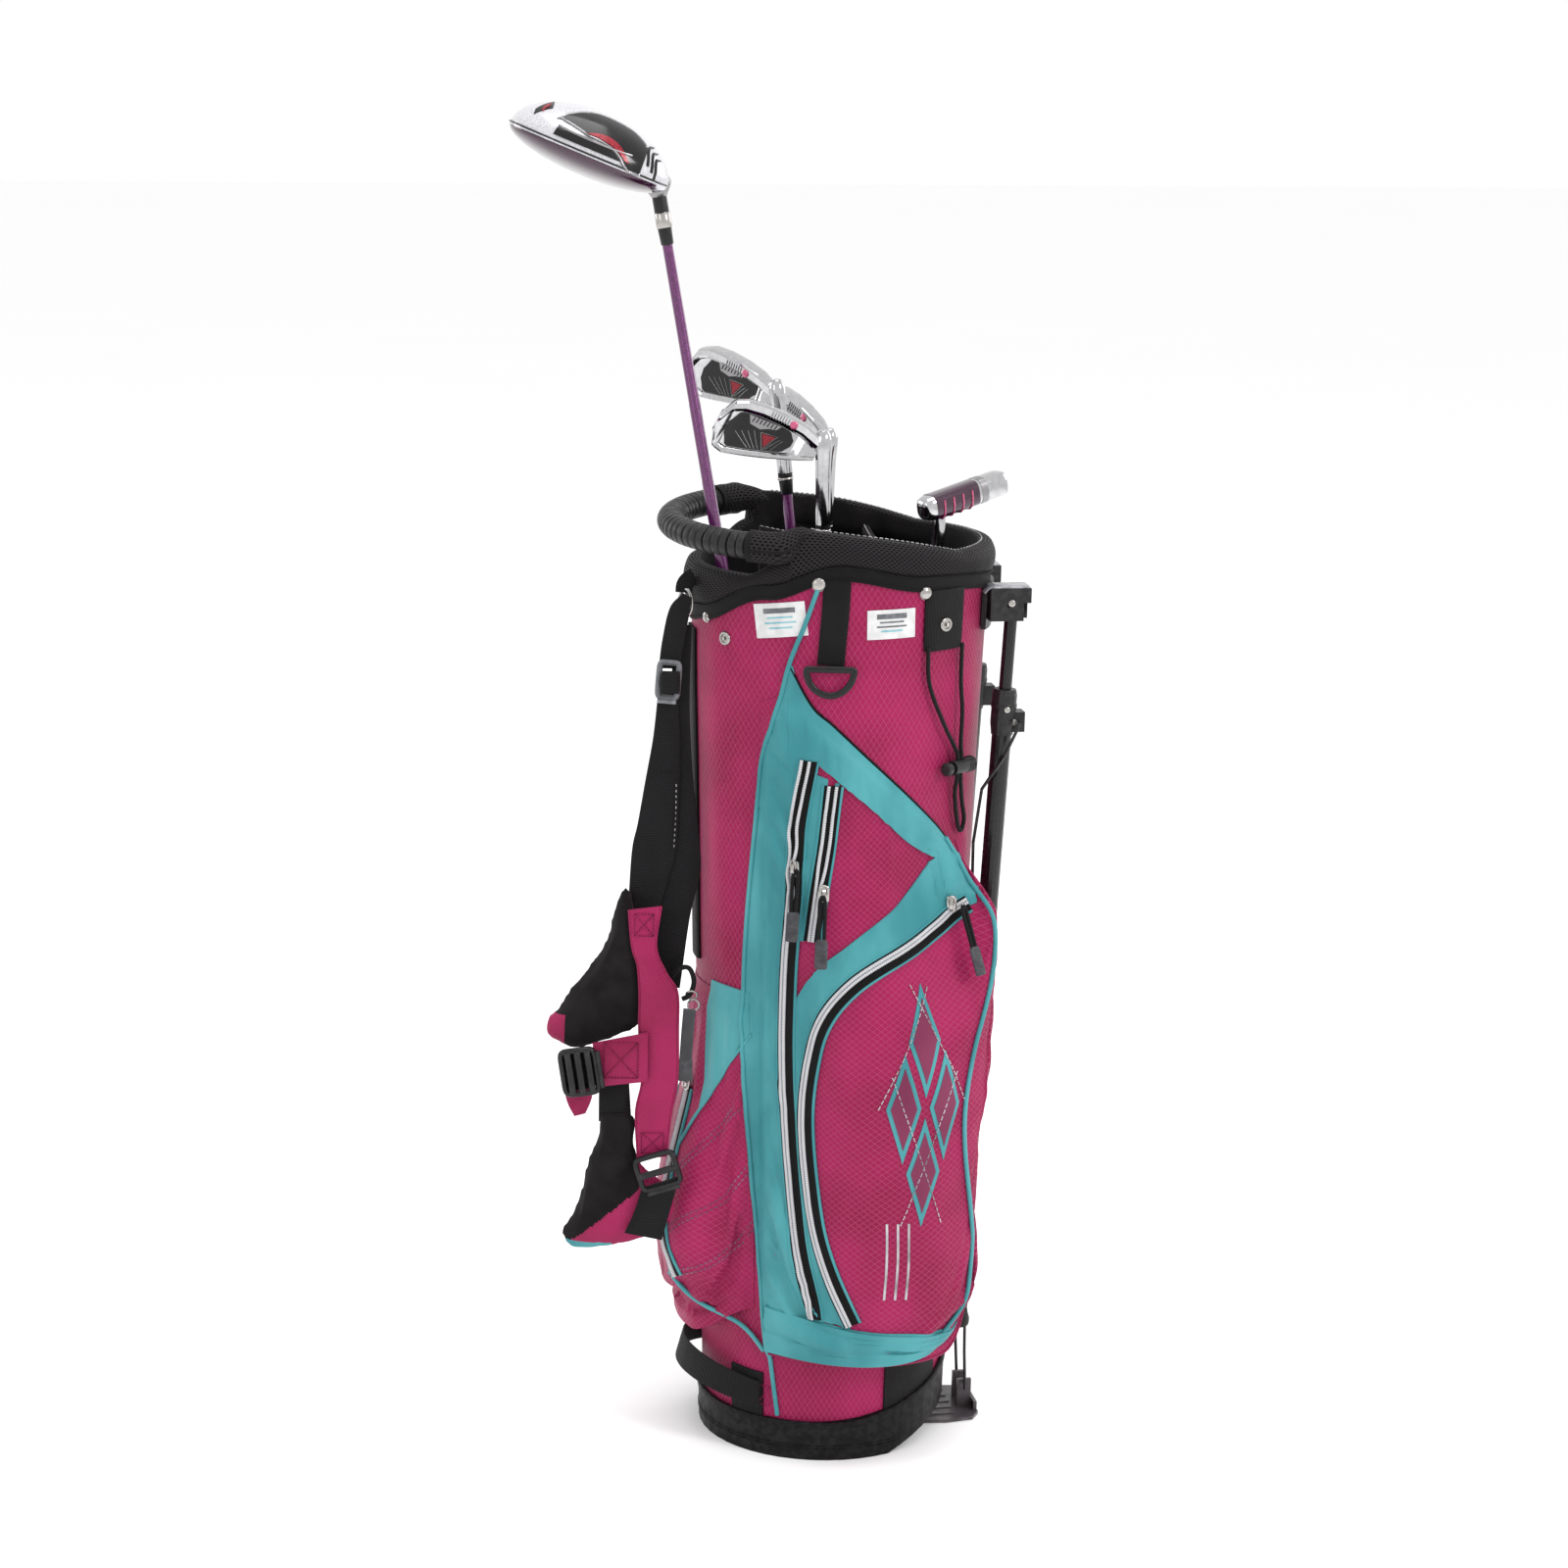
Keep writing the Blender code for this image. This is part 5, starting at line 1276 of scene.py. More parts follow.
def cord_loop(cloth):
    """The umbrella cord: a snap tab, two strands through the lock and a loop below it."""
    fronts, backs, rows = [], [], 12
    for j in range(rows + 1):
        z = lerp(.800, .7465, j / rows)
        narrow = 1 - 0.04 * smooth(j / rows, 0.8, 1.0)
        row = [(-56 + 10 * s * narrow, z) for s in (-1, -0.9, -0.5, 0, 0.5, 0.9, 1)]
        found = [cloth.at(a, z) for a, z in row]
        fronts.append([p + n * (0.0040 - 0.0012 * (k in (0, 6))) for k, (p, n) in enumerate(found)])
        backs.append([p + n * 0.0006 for p, n in found])
    piece("umbrella_snap_tab", shell(fronts, backs), "webbing")
    stitched(cloth, "snap_tab_stitches", ((-65, .752), (-56, .7515), (-47, .752)), "binding", 0.003, 0.0015)
    left = [(-65.0, 0.7500), (-63.5, 0.717), (-56.0, 0.680), (-50.0, 0.660)]
    right = [(-46.8, 0.7500), (-46.2, 0.715), (-45.6, 0.690), (-45.4, 0.660)]
    lock = bag_point(*CORD_LOCK, 0.0085)
    across = UP.cross(bag_outward(*CORD_LOCK)).normalized()
    apart, half = across * 0.0027, UP * 0.010
    below = ((-47.0, 0.615, 0.0055), (-44.0, 0.590, 0.0045), (-40.5, 0.578, 0.0045), (-38.0, 0.588, 0.0045),
             (-41.5, 0.606, 0.0055))
    route = [bag_point(a, z, 0.0045 if z > 0.70 else 0.0065) for a, z in left]
    route += [lock - apart + half, lock - apart - half]
    route += [bag_point(*spot) for spot in below]
    route += [lock + apart - half, lock + apart + half]
    route += [bag_point(a, z, 0.0045 if z > 0.70 else 0.0065) for a, z in reversed(right)]
    cord = rod(curve_through(route, 0.0024), 0.0019, 10)
    piece("umbrella_elastic_cord", cord, "cord", replaces=["umbrella_cord"])
    soften(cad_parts["cord_lock"], 0.0009, 3)
    rib = ((0, .0066), (.0006, .0071), (.0016, .0071), (.0022, .0066))
    grips = [turned(lock + across * far, across, rib, 28) for far in (0.0085, 0.0120, 0.0155)]
    piece("cord_lock_ribs", grips, "plastic")


def spine_and_webbing(cloth):
    """Black webbing patches at the foot, the spine strip on the strap side and the piping up the back."""
    spine = [(-180, z) for z in (.752, .68, .60, .52, .450)]
    flat_trim(cloth, "spine_strip", spine, 0.0150, 0.0032, "binding", step=0.01)
    stitched(cloth, "spine_strip_stitches", ((-173.8, .748), (-173.8, .60), (-173.8, .455)), "dark_thread")
    for name, left, right in (("foot_patch_right", [(-70, .094), (-52, .094), (-35, .095)],
                               [(-70, .040), (-52, .046), (-35, .055)]),
                              ("foot_patch_left", [(-147, .080), (-138, .079), (-129, .078)],
                               [(-147, .036), (-138, .036), (-129, .036)]),
                              ("foot_patch_far", [(147, .080), (138, .079), (129, .078)],
                               [(147, .036), (138, .036), (129, .036)])):
        piece(name, cloth.patch(left, right, thick=0.0024), "webbing")
    for side, tag in ((1, "near"), (-1, "far")):
        spots = SIDE_PIPING if side > 0 else mirrored(SIDE_PIPING)
        piping(cloth, "side_piping_" + tag, spots, "teal", EDGE_RADIUS)


def pocket_trims(cloth):
    """Piping, seams, panels and zips of the two garment pockets."""
    for side, tag in ((1, "near"), (-1, "far")):
        spots = POCKET_PIPING if side > 0 else mirrored(POCKET_PIPING)
        piping(cloth, "pocket_edge_piping_" + tag, spots, "teal", EDGE_RADIUS, passes=12)
        line, outs = pocket_edge(side)
        piece("pocket_gusset_seam_" + tag, sweep(line, round_profile(0.0012, 10), outs), "plain_magenta")
    near_panels(cloth)
    zip_run(cloth, "zip_long", ZIP_LONG, 0.0030, 0.556)
    zip_run(cloth, "zip_short", ZIP_SHORT, 0.0008, 0.534)
    zip_run(cloth, "zip_side", ZIP_SIDE, 0.0028)
    far_panel_left = mirrored([(-119, .737), (-130, .646), (-137, .511), (-138, .357), (-130, .174),
                               (-126, .110)])
    far_panel_right = mirrored([(-117.5, .735), (-110.5, .646), (-116.5, .511), (-118, .357), (-108, .174),
                                (-103, .110)])
    piece("teal_side_panel_far", cloth.patch(far_panel_left, far_panel_right), "teal")
    zip_run(cloth, "zip_far", mirrored(ZIP_LONG), 0.0)
    slider(cloth, "zip_far_slider", 110.5, .650)


# name, place on the pocket, outward lean of the hanging pull
PULLS = (("zip_puller_long", 0.125, 0.757, 0.24), ("zip_puller_short", 0.205, 0.745, 0.24),
         ("zip_puller_side", 0.765, 0.872, 0.40))
PULL_STRAND = ((0.0003, -0.0015), (0.0021, 0.003), (0.0024, 0.012), (0.0023, 0.026), (0.0022, 0.040))


def zip_pulls(cloth):
    """Cord loops with ribbed rubber ends, hung from the sliders."""
    for name, u, v, lean in PULLS:
        angle, z = pocket_place(u, v)
        out = bag_outward(angle, z)
        place = bag_point(angle, z, pocket_depth(u, v) + 0.0042)
        down = (out * lean - UP).normalized()
        side = down.cross(out).normalized()
        thick = side.cross(down).normalized()
        strands = []
        for s in (-1, 1):
            spots = [place + side * s * x + down * y for x, y in PULL_STRAND]
            strands.append(rod(curve_through(spots, 0.002), 0.00175, 10))
        piece(name + "_cord_loop", strands, "cord", name, [name])
        ends = [block(place + down * 0.0495, side, down, (0.0055, 0.0125, 0.0021), 0.35)]
        for k in range(4):
            for s in (1, -1):
                spot = place + down * (0.0450 + 0.0036 * k) + thick * s * 0.0017
                ends.append(block(spot, side, down, (0.0042, 0.0008, 0.0009), 0.5))
        ends.append(block(place + down * 0.0385, side, down, (0.0044, 0.0025, 0.0022), 0.3))
        piece(name + "_grip", ends, "puller", name)
        slider(cloth, name + "_slider", angle, z + 0.002)


# ---------------------------------------------------------------- collar, dividers and handle
def collar_spot(angle, out, share):
    """Point of the collar's section; near the handle's roots its lip ramps up."""
    ramp = LIP_HEIGHT + 0.019 * smooth(from_handle(angle), LIP_SPAN - 19, LIP_SPAN + 1)
    low, high = seam_height(angle), max(rim_height(angle), ramp)
    place = bag_point(angle, TAPER_HEIGHT, out)
    return Vector((place.x, place.y, lerp(low, high, share)))


BINDING_SECTION = ((0.0004, -0.0118), (0.0022, -0.0114), (0.0028, -0.0060), (0.0034, 0.0),
                   (0.0052, 0.0012), (0.0032, 0.0022), (0.0004, 0.0012))


def collar():
    """Padded mesh collar with its binding tape and white stitching."""
    section = curve_through([(x * 100, y) for x, y in COLLAR_PROFILE], None, closed=True)[::3]
    wall = [180 + s * (LIP_SPAN + d) for s in (-1, 1) for d in (0.0, 0.6, 1.25, 1.9, 2.5)]
    even = [360 * k / 220 for k in range(220)]
    angles = sorted([a for a in even if all(abs(a - w) > 1.4 for w in wall)] + wall)
    start = min(range(len(angles)), key=lambda k: abs(angles[k] - 180))
    angles = angles[start:] + angles[:start]
    rings = []
    for angle in angles:
        ring = []
        out = bag_outward(angle, TAPER_HEIGHT)
        for x, share in section:
            place = collar_spot(angle, x / 100, min(share, 1.0))
            puff = 0.0009 * ripple(place, 20, (1, 1, 1.6)) + 0.0005 * ripple(place, 55, (1, 1, 1), 2.0)
            ring.append(place + out * puff)
        rings.append(ring)
    obj = piece("mesh_collar", loft(rings, closed=True), "mesh", replaces=["top_collar"], sharp=70)
    two_tone(obj, "lining", lambda centre, normal: normal.xy.dot(centre.xy) < 0 and normal.z < 0.35)
    bindings = []
    for k in range(220):
        angle = 180 + 360 * k / 220
        top = seam_height(angle)
        wave = 0.0005 * ripple(bag_point(angle, top), 30)
        bindings.append([bag_point(angle, top + high, far + wave) for far, high in BINDING_SECTION])
    piece("collar_binding", loft(bindings, closed=True), "binding")
    stitch_line, stitch_outs = [], []
    for k in range(181):
        angle = 180 + 360 * k / 180
        stitch_line.append(bag_point(angle, seam_height(angle) - 0.0092, 0.0030))
        stitch_outs.append(bag_outward(angle, TAPER_HEIGHT))
    piece("collar_binding_stitches", stitches(stitch_line, stitch_outs, 0.003, 0.0015, 0.0004), "lining")
    rim = []
    for first, last in ((-112, 66), (66, 112)):
        line = [collar_spot(lerp(first, last, k / 80), -0.0062, 1.0) + UP * 0.0006 for k in range(81)]
        rim += stitches(line, [UP] * 81, 0.0030, 0.0020, 0.00045)
    piece("rim_stitches", rim, "thread")


def dividers():
    """Padded bars across the mouth, piped along the top, with a row of white stitches."""
    reach = TOP_A - 0.0108
    side = TOP_B * math.sqrt(1 - (DIVIDER_X / TOP_A) ** 2) - 0.0125
    bars = (("divider_long", (-0.070, DIVIDER_Y), (reach, DIVIDER_Y), (0, 1, 0)),
            ("divider_near", (DIVIDER_X, -side), (DIVIDER_X, DIVIDER_Y - DIVIDER_HALF - 0.0003), (1, 0, 0)),
            ("divider_far", (DIVIDER_X, DIVIDER_Y + DIVIDER_HALF + 0.0003), (DIVIDER_X, side), (1, 0, 0)))
    for name, start, end, thin in bars:
        rings, crest = [], []
        start, end, thin = Vector((*start, 0)), Vector((*end, 0)), Vector(thin)
        for k in range(41):
            t = k / 40
            spot = start.lerp(end, t)
            sag = 0.006 * math.sin(math.pi * t)
            high = full_rim(spot.x) - DIVIDER_DEPTH - sag
            wander = 0.0008 * ripple(spot, 40)
            sides = [spot + thin * (DIVIDER_HALF * across + wander * (1 - low))
                     + UP * lerp(high - 0.003, DIVIDER_LOW, low)
                     for across, low in ((-0.75, 1.0), (0.75, 1.0), (0.95, 0.7), (0.85, 0.35),
                                         (-0.85, 0.35), (-0.95, 0.7))]
            crown = [spot + thin * (DIVIDER_HALF * math.cos(turn) + wander)
                     + UP * (high - 0.004 + 0.004 * math.sin(turn))
                     for turn in (math.pi * n / 6 for n in range(7))]
            rings.append(sides[:4] + crown + sides[4:])
            crest.append(spot - thin * (DIVIDER_HALF * 0.55) + UP * (high - 0.0004))
        piece("padded_" + name, loft(rings), "lining", replaces=[name], sharp=70)
        piece(name + "_stitches", stitches(crest, [UP] * len(crest), 0.0030, 0.0022, 0.0004), "thread")


def handle_point(turn):
    """A point on the carrying handle's centre line."""
    t = math.radians(180 + turn)
    x, y = HANDLE_A * math.cos(t), HANDLE_B * math.sin(t)
    return Vector((x, y, HANDLE_Z + HANDLE_TILT * y))


def carrying_handle():
    """The corrugated rubber handle and the mesh sleeves at its ends."""
    step, rib_pitch = 0.0009, 0.0078
    line = even_steps([handle_point(HANDLE_SPAN * (2 * k / 120 - 1)) for k in range(121)], step)

    def rib(i):
        fold = (i * step / rib_pitch) % 1.0
        groove = smooth(abs(fold - 0.5), 0.36, 0.47)
        ends = smooth(min(i, len(line) - 1 - i) * step, 0.0, 0.004)
        radius = HANDLE_RADIUS * (1.0 - 0.17 * groove) * lerp(0.86, 1.0, ends)
        return round_profile(radius, 28, 0.94)

    handle = sweep(line, rib, UP)
    piece("corrugated_handle", handle, "handle", replaces=["grab_handle"], sharp=60)
    sleeves = []
    for side in (-1, 1):
        turns = [side * lerp(50.5, 61.0, k / 14) for k in range(15)]
        spots = [handle_point(t) for t in turns]
        spots += [collar_spot(180 + side * t, -0.003, share) for t, share in ((64.0, 0.84), (67.5, 0.80))]
        spots = curve_through(spots, 0.0035)

        def wrap_profile(i, steps=len(spots) - 1):
            share = i / steps
            grow = 0.0134 + 0.0006 * smooth(share, 0, 0.2) - 0.0062 * smooth(share, 0.42, 1.0)
            return round_profile(grow + 0.0003 * math.sin(i * 1.3), 28)
        sleeves.append(sweep(spots, wrap_profile, UP))
    piece("handle_sleeves", sleeves, "mesh", sharp=70)
    cuffs = []
    for side in (-1, 1):
        spots = [handle_point(side * lerp(49.6, 51.6, k / 4)) for k in range(5)]
        cuffs.append(sweep(spots, round_profile(0.0140, 28), UP))
    piece("handle_cuff_bindings", cuffs, "binding")


# ---------------------------------------------------------------- straps
# Each strap part is an outline of (x, z) spots, left and right edges from the top down, standing in a
# plane that faces FACING. The plane is given by the y it has at x = -0.18.
FACING = Vector((-0.20, -0.96, 0.14)).normalized()
ASIDE = Vector((0.97, -0.20, 0.0)).normalized()
OUTLINES = {
    "webbing_upper": (-.036, ((-.147, .789), (-.158, .776), (-.164, .748), (-.167, .722)),
                      ((-.139, .785), (-.143, .760), (-.146, .740), (-.149, .722))),
    "webbing_lower": (-.034, ((-.167, .702), (-.168, .687), (-.171, .657), (-.177, .620), (-.183, .582),
                              (-.188, .555),
                              (-.191, .495)),
                      ((-.149, .702), (-.149, .687), (-.147, .657), (-.147, .618), (-.148, .583),
                       (-.151, .551),
                       (-.166, .495))),
    "second_webbing": (-.030, ((-.152, .760), (-.156, .692), (-.158, .633), (-.160, .583), (-.168, .540),
                               (-.176, .483),
                               (-.178, .430)),
                       ((-.138, .760), (-.139, .692), (-.136, .633), (-.132, .596), (-.128, .559),
                        (-.128, .534),
                        (-.136, .496), (-.144, .430))),
    "yoke": (-.052, ((-.192, .507), (-.189, .474), (-.184, .456), (-.182, .429), (-.182, .396),
                     (-.179, .351),
                     (-.184, .320), (-.182, .276)),
             ((-.165, .511), (-.169, .474), (-.160, .450), (-.150, .432), (-.149, .397), (-.149, .351),
              (-.154, .320),
              (-.158, .279))),
    "pad_upper": (-.042, ((-.194, .527), (-.204, .507), (-.217, .476), (-.231, .453), (-.245, .434),
                          (-.257, .412),
                          (-.264, .398), (-.262, .386)),
                  ((-.186, .520), (-.182, .490), (-.176, .456), (-.172, .425), (-.174, .402), (-.194, .388),
                   (-.222, .377), (-.240, .374))),
    "pad_lower": (-.046, ((-.217, .318), (-.222, .295), (-.230, .274), (-.241, .234), (-.250, .203),
                          (-.248, .195),
                          (-.240, .186)),
                  ((-.184, .318), (-.180, .292), (-.172, .270), (-.154, .253), (-.145, .229), (-.160, .204),
                   (-.206, .189))),
    "arm": (-.060, ((-.224, .386), (-.176, .397)), ((-.221, .345), (-.176, .351))),
    "arm_tip": (-.056, ((-.249, .344), (-.245, .328), (-.239, .316)),
                ((-.222, .346), (-.224, .332), (-.229, .319))),
    "linking_strap": (-.044, ((-.216, .352), (-.216, .308)), ((-.190, .352), (-.187, .306))),
    "tail": (-.062, ((-.180, .252), (-.187, .228), (-.195, .209)),
             ((-.147, .264), (-.154, .235), (-.162, .203))),
    "glide_hump": (-.048, ((-.166, .722), (-.168, .712), (-.167, .702)),
                   ((-.1505, .722), (-.150, .712), (-.1505, .702))),
}


def on_plane(x, z, y_at):
    """A point on the strap's slanting plane, y_at its y where x is -0.18."""
    return Vector((x, y_at - (x + 0.18) * FACING.x / FACING.y, z))


def strap_rows(name, step=0.004):
    """Left and right edge points of a strap part, evenly spaced from its top down."""
    y_at, lefts, rights = OUTLINES[name]
    edges = []
    for edge in (lefts, rights):
        spots = [on_plane(x, z, y_at) for x, z in edge]
        edges.append(curve_through(spots, None) if len(spots) > 2 else
                     [spots[0].lerp(spots[1], k / 12) for k in range(13)])
    reach = max((edge[0] - edge[-1]).length for edge in edges)
    rows = max(int(reach / step), 4)
    return [(sample(edges[0], k / rows), sample(edges[1], k / rows)) for k in range(rows + 1)]


STRAP_SECTION = ((-1, -0.35), (-0.94, -1), (-0.5, -1), (0, -1), (0.5, -1), (0.94, -1), (1, -0.35),
                 (1, 0.35), (0.94, 1), (0.5, 1), (0, 1), (-0.5, 1), (-0.94, 1), (-1, 0.35))


def strap_band(name, thick, look, bulge, finished, replaces=()):
    """A flat strap with rounded edges and a slight roll across its width."""
    rings = []
    found = strap_rows(name)
    for k, (left, right) in enumerate(found):
        middle, wide = (left + right) / 2, (right - left) / 2
        roll = bulge * math.sin(math.pi * k / max(len(found) - 1, 1)) + 0.0007 * ripple(middle, 45)
        rings.append([middle + wide * s + FACING * (thick * t + roll * (1 - s * s)) for s,
                      t in STRAP_SECTION])
    return piece(finished, loft(rings), look, replaces=replaces)


def stuffed(name, outline, thick, replaces):
    """A foam pad: a crowned closed form let out by cloth simulation."""
    rings = []
    found = strap_rows(outline, 0.005)
    for row, (left, right) in enumerate(found):
        middle, wide = (left + right) / 2, (right - left) / 2
        end = min(row, len(found) - 1 - row) / 2
        plump = thick * (0.45 + 0.55 * min(end, 1.0))
        ring = []
        for t in turns_of(24):
            across, through = squared(math.cos(t), 0.55), squared(math.sin(t), 0.8)
            thin = 1 - 0.35 * abs(across) ** 3
            ring.append(middle + wide * 0.985 * across + FACING * plump * through * thin)
        rings.append(ring)
    obj = piece(name, loft(rings), "lining", replaces=replaces, sharp=80)
    remesh = obj.modifiers.new("even_cells", "REMESH")
    remesh.mode = "VOXEL"
    remesh.voxel_size = 0.0040
    remesh.use_smooth_shade = True
    apply_modifiers(obj)
    settle(obj, set(), frames=16, pressure=3.5, slack=0.015, cap=0.0045, gravity=0.0, stiffness=6.0)
    smoothing = obj.modifiers.new("even_out", "SMOOTH")
    smoothing.iterations = 3
    apply_modifiers(obj)
    refine(obj)
    set_lengths(obj.data, [(v.co.dot(ASIDE), v.co.z, 0.0) for v in obj.data.vertices])
    return obj


def edge_binding(name, outline, look, radius, forward):
    """Both edges of a strap part, bound."""
    found = strap_rows(outline)
    lines = [[row[side] + FACING * forward for row in found] for side in (0, 1)]
    piece(name, [rod(curve_through(line, 0.003), radius, 8) for line in lines], look)


def ladder_buckle(name, centre, turn, half, bars, replaces, look="plastic"):
    """A ladder-lock buckle: a rounded frame, thick cross bars and a lift tab at its lower end."""
    turn = math.radians(turn)
    across = (ASIDE * math.cos(turn) + UP * math.sin(turn)).normalized()
    down = -(UP * math.cos(turn) - ASIDE * math.sin(turn)).normalized()
    centre = Vector(centre)
    wide, high = half
    halves = (-1, -0.5, 0, 0.5, 1)

    def bow(y):
        return 0.0030 * (1 - (y / high) ** 2)

    outline = []
    for t in turns_of(40):
        x = squared(math.cos(t), 0.28) * (wide - 0.0024)
        y = squared(math.sin(t), 0.28) * (high - 0.0024)
        outline.append(centre + across * x + down * y + FACING * bow(y))
    shapes = [sweep(outline, round_profile(0.0027, 12, 1.15), FACING, closed=True)]
    for k in range(1, bars + 1):
        y = lerp(-high, high, k / (bars + 1))
        line = [centre + across * (wide - 0.003) * s + down * y + FACING * (bow(y) + 0.0012)
                for s in halves]
        shapes.append(sweep(line, round_profile(0.0027, 12, 0.9), FACING))
        line = [p + down * 0.0022 + FACING * 0.0012 for p in line]
        shapes.append(sweep(line, round_profile(0.0012, 10), FACING))
    lip = [centre + across * wide * 0.75 * s + down * (high + 0.0008) + FACING * 0.0022 for s in halves]
    shapes.append(sweep(lip, round_profile(0.0024, 10), FACING))
    piece(name, shapes, look, replaces=replaces, sharp=50)


def box_stitch(name, centre, half):
    """A sewn box with a cross in it."""
    a, b = ASIDE * half[0], UP * half[1]
    out = ASIDE.cross(UP)
    if out.dot(FACING) < 0:
        out = -out
    corners = [centre + a * x + b * y for x, y in ((-1, -1), (1, -1), (1, 1), (-1, 1))]
    shapes = []
    for first, second in ((0, 1), (1, 2), (2, 3), (3, 0), (0, 2), (1, 3)):
        line = [corners[first].lerp(corners[second], k / 6) for k in range(7)]
        shapes += stitches(line, [out] * 7, 0.002, 0.001, 0.0004)
    piece(name, shapes, "dark_thread")


def strap_spot(x, z, y_at, forward=0.0024):
    """A point standing forward of the strap's plane."""
    return on_plane(x, z, y_at) + FACING * forward


def straps():
    """The double shoulder strap on the strap side: webbing, glide, yoke, pads, buckles and stitching."""
    strap_band("second_webbing", 0.0014, "webbing", 0.001, "second_strap_webbing")
    strap_band("webbing_upper", 0.0014, "webbing", 0.001, "strap_webbing_upper_cloth",
               ["strap_webbing_upper"])
    strap_band("webbing_lower", 0.0014, "webbing", 0.002, "strap_webbing_lower_cloth",
               ["strap_webbing_lower"])
    upper = stuffed("shoulder_pad_upper_cloth", "pad_upper", 0.0060, ["shoulder_pad_upper"])
    two_tone(upper, "plain_magenta", lambda c, n: n.dot(FACING) < 0.10 or (c.x < -.247 and c.z < .408))
    lower = stuffed("shoulder_pad_lower_cloth", "pad_lower", 0.0060, ["shoulder_pad_lower"])
    two_tone(lower, "plain_magenta", lambda c,
             n: n.dot(FACING) < 0.10 or c.x > -.1815 - 1.15 * max(.248 - c.z, 0))
    lower.data.materials.append(LOOKS["teal"].material)
    for face in lower.data.polygons:
        if face.center.z < .1965 and face.center.x < -.205:
            face.material_index = 2
    strap_band("linking_strap", 0.0016, "webbing", 0.002, "pad_linking_strap")
    strap_band("yoke", 0.0030, "plain_magenta", 0.003, "strap_yoke_cloth", ["strap_yoke"])
    edge_binding("yoke_seams", "yoke", "plain_magenta", 0.0015, 0.0012)
    strap_band("arm", 0.0016, "plain_magenta", 0.001, "strap_arm_cloth")
    strap_band("arm_tip", 0.0016, "plain_magenta", 0.0, "strap_arm_tip_cloth")
    strap_band("tail", 0.0013, "webbing", 0.001, "strap_tail_webbing")
    ladder_buckle("ladder_buckle_upper", (-.2360, -.0545, .3610), 99, (.0225, .0175), 3,
                  ["strap_buckle_upper"])
    piece("buckle_upper_webbing",
          block((-.2355, -.0520, .3610), ASIDE * 0.985 + UP * 0.16, UP, (.0150, .0180, .0016),
                                        0.3), "webbing")
    ladder_buckle("ladder_buckle_lower", (-.1660, -.0640, .2680), 18, (.0200, .0175), 1,
                  ["strap_buckle_lower"])
    ladder_buckle("triglide_frame", (-.1585, -.0420, .7120), -4, (.0110, .0180), 0, ["strap_triglide"],
                  "nylon")
    strap_band("glide_hump", 0.0022, "webbing", 0.0045, "webbing_through_glide")
    box_stitch("strap_arm_stitches", strap_spot(-.199, .371, -.060), (0.0150, 0.0165))
    box_stitch("yoke_lower_stitches", strap_spot(-.1695, .292, -.052, .0042), (0.0100, 0.0095))
    box_stitch("yoke_upper_stitches", strap_spot(-.1790, .494, -.052, .0042), (0.0085, 0.0100))
    across = [strap_spot(x, .629, -.034, .0042) for x in (-.175, -.162, -.1485)]
    piece("strap_cross_stitches", stitches(even_steps(across, 0.004), [FACING] * 12, 0.003, 0.0015),
          "binding")
    down = [strap_spot(x, z, -.034, .0032) for x, z in ((-.1500, .618), (-.1500, .590), (-.1515, .558))]
    piece("strap_edge_stitches", stitches(even_steps(down, 0.004), [FACING] * 16, 0.0016, 0.0026), "thread")
    strap_hardware()


def hoop(centre, across, up, half, radius, sides, steps):
    """A closed wire ring with half sizes across and up."""
    spots = [Vector(centre) + across * half[0] * math.cos(t) + up * half[1] * math.sin(t)
             for t in turns_of(steps)]
    return rod(spots, radius, sides, closed=True)


def strap_hardware():
    """The ring and webbing at the strap's top, the cord lashed round it and the ball pocket's pull."""
    ring = hoop((-.1430, -.0345, .7790), Vector((0.35, -0.2, 0.0)).normalized(), UP, (0.0060, 0.0120),
                0.0016, 12, 33)
    piece("strap_top_ring", ring, "nickel")
    anchor = ((-.1352, -.0290, .8010), (-.1402, -.0310, .7985), (-.1438, -.0330, .7945),
              (-.1445, -.0335, .7880))
    piece("strap_top_anchor", sweep(curve_through(anchor, 0.002), band_profile(0.0075, 0.0022), FACING),
          "webbing")
    lash = ((-.1520, -.0450, .444), (-.1460, -.0500, .452), (-.1380, -.0520, .452), (-.1340, -.0530, .440),
            (-.1380, -.0540, .428), (-.1440, -.0520, .424))
    piece("strap_cord_loop", rod(curve_through(lash, 0.002), 0.0023, 10), "cord")
    rings = [hoop(centre, ASIDE, (UP * 0.8 + FACING * 0.6 * flip).normalized(), (0.0052, 0.0052), 0.0009, 8,
                  24)
             for centre, flip in (((-.1360, -.0540, .428), 1), ((-.1345, -.0550, .419), -1))]
    piece("strap_cord_rings", rings, "nickel")
    tag = ((-.1380, -.0560, .416), (-.1400, -.0580, .394), (-.1415, -.0590, .368))
    tongue = sweep(curve_through(tag, 0.003), band_profile(0.0056, 0.0026), FACING)
    end = block((-.1420, -.0594, .360), ASIDE, UP, (0.0066, 0.0100, 0.0024), 0.4)
    piece("ball_pocket_pull", [tongue, end], "puller")


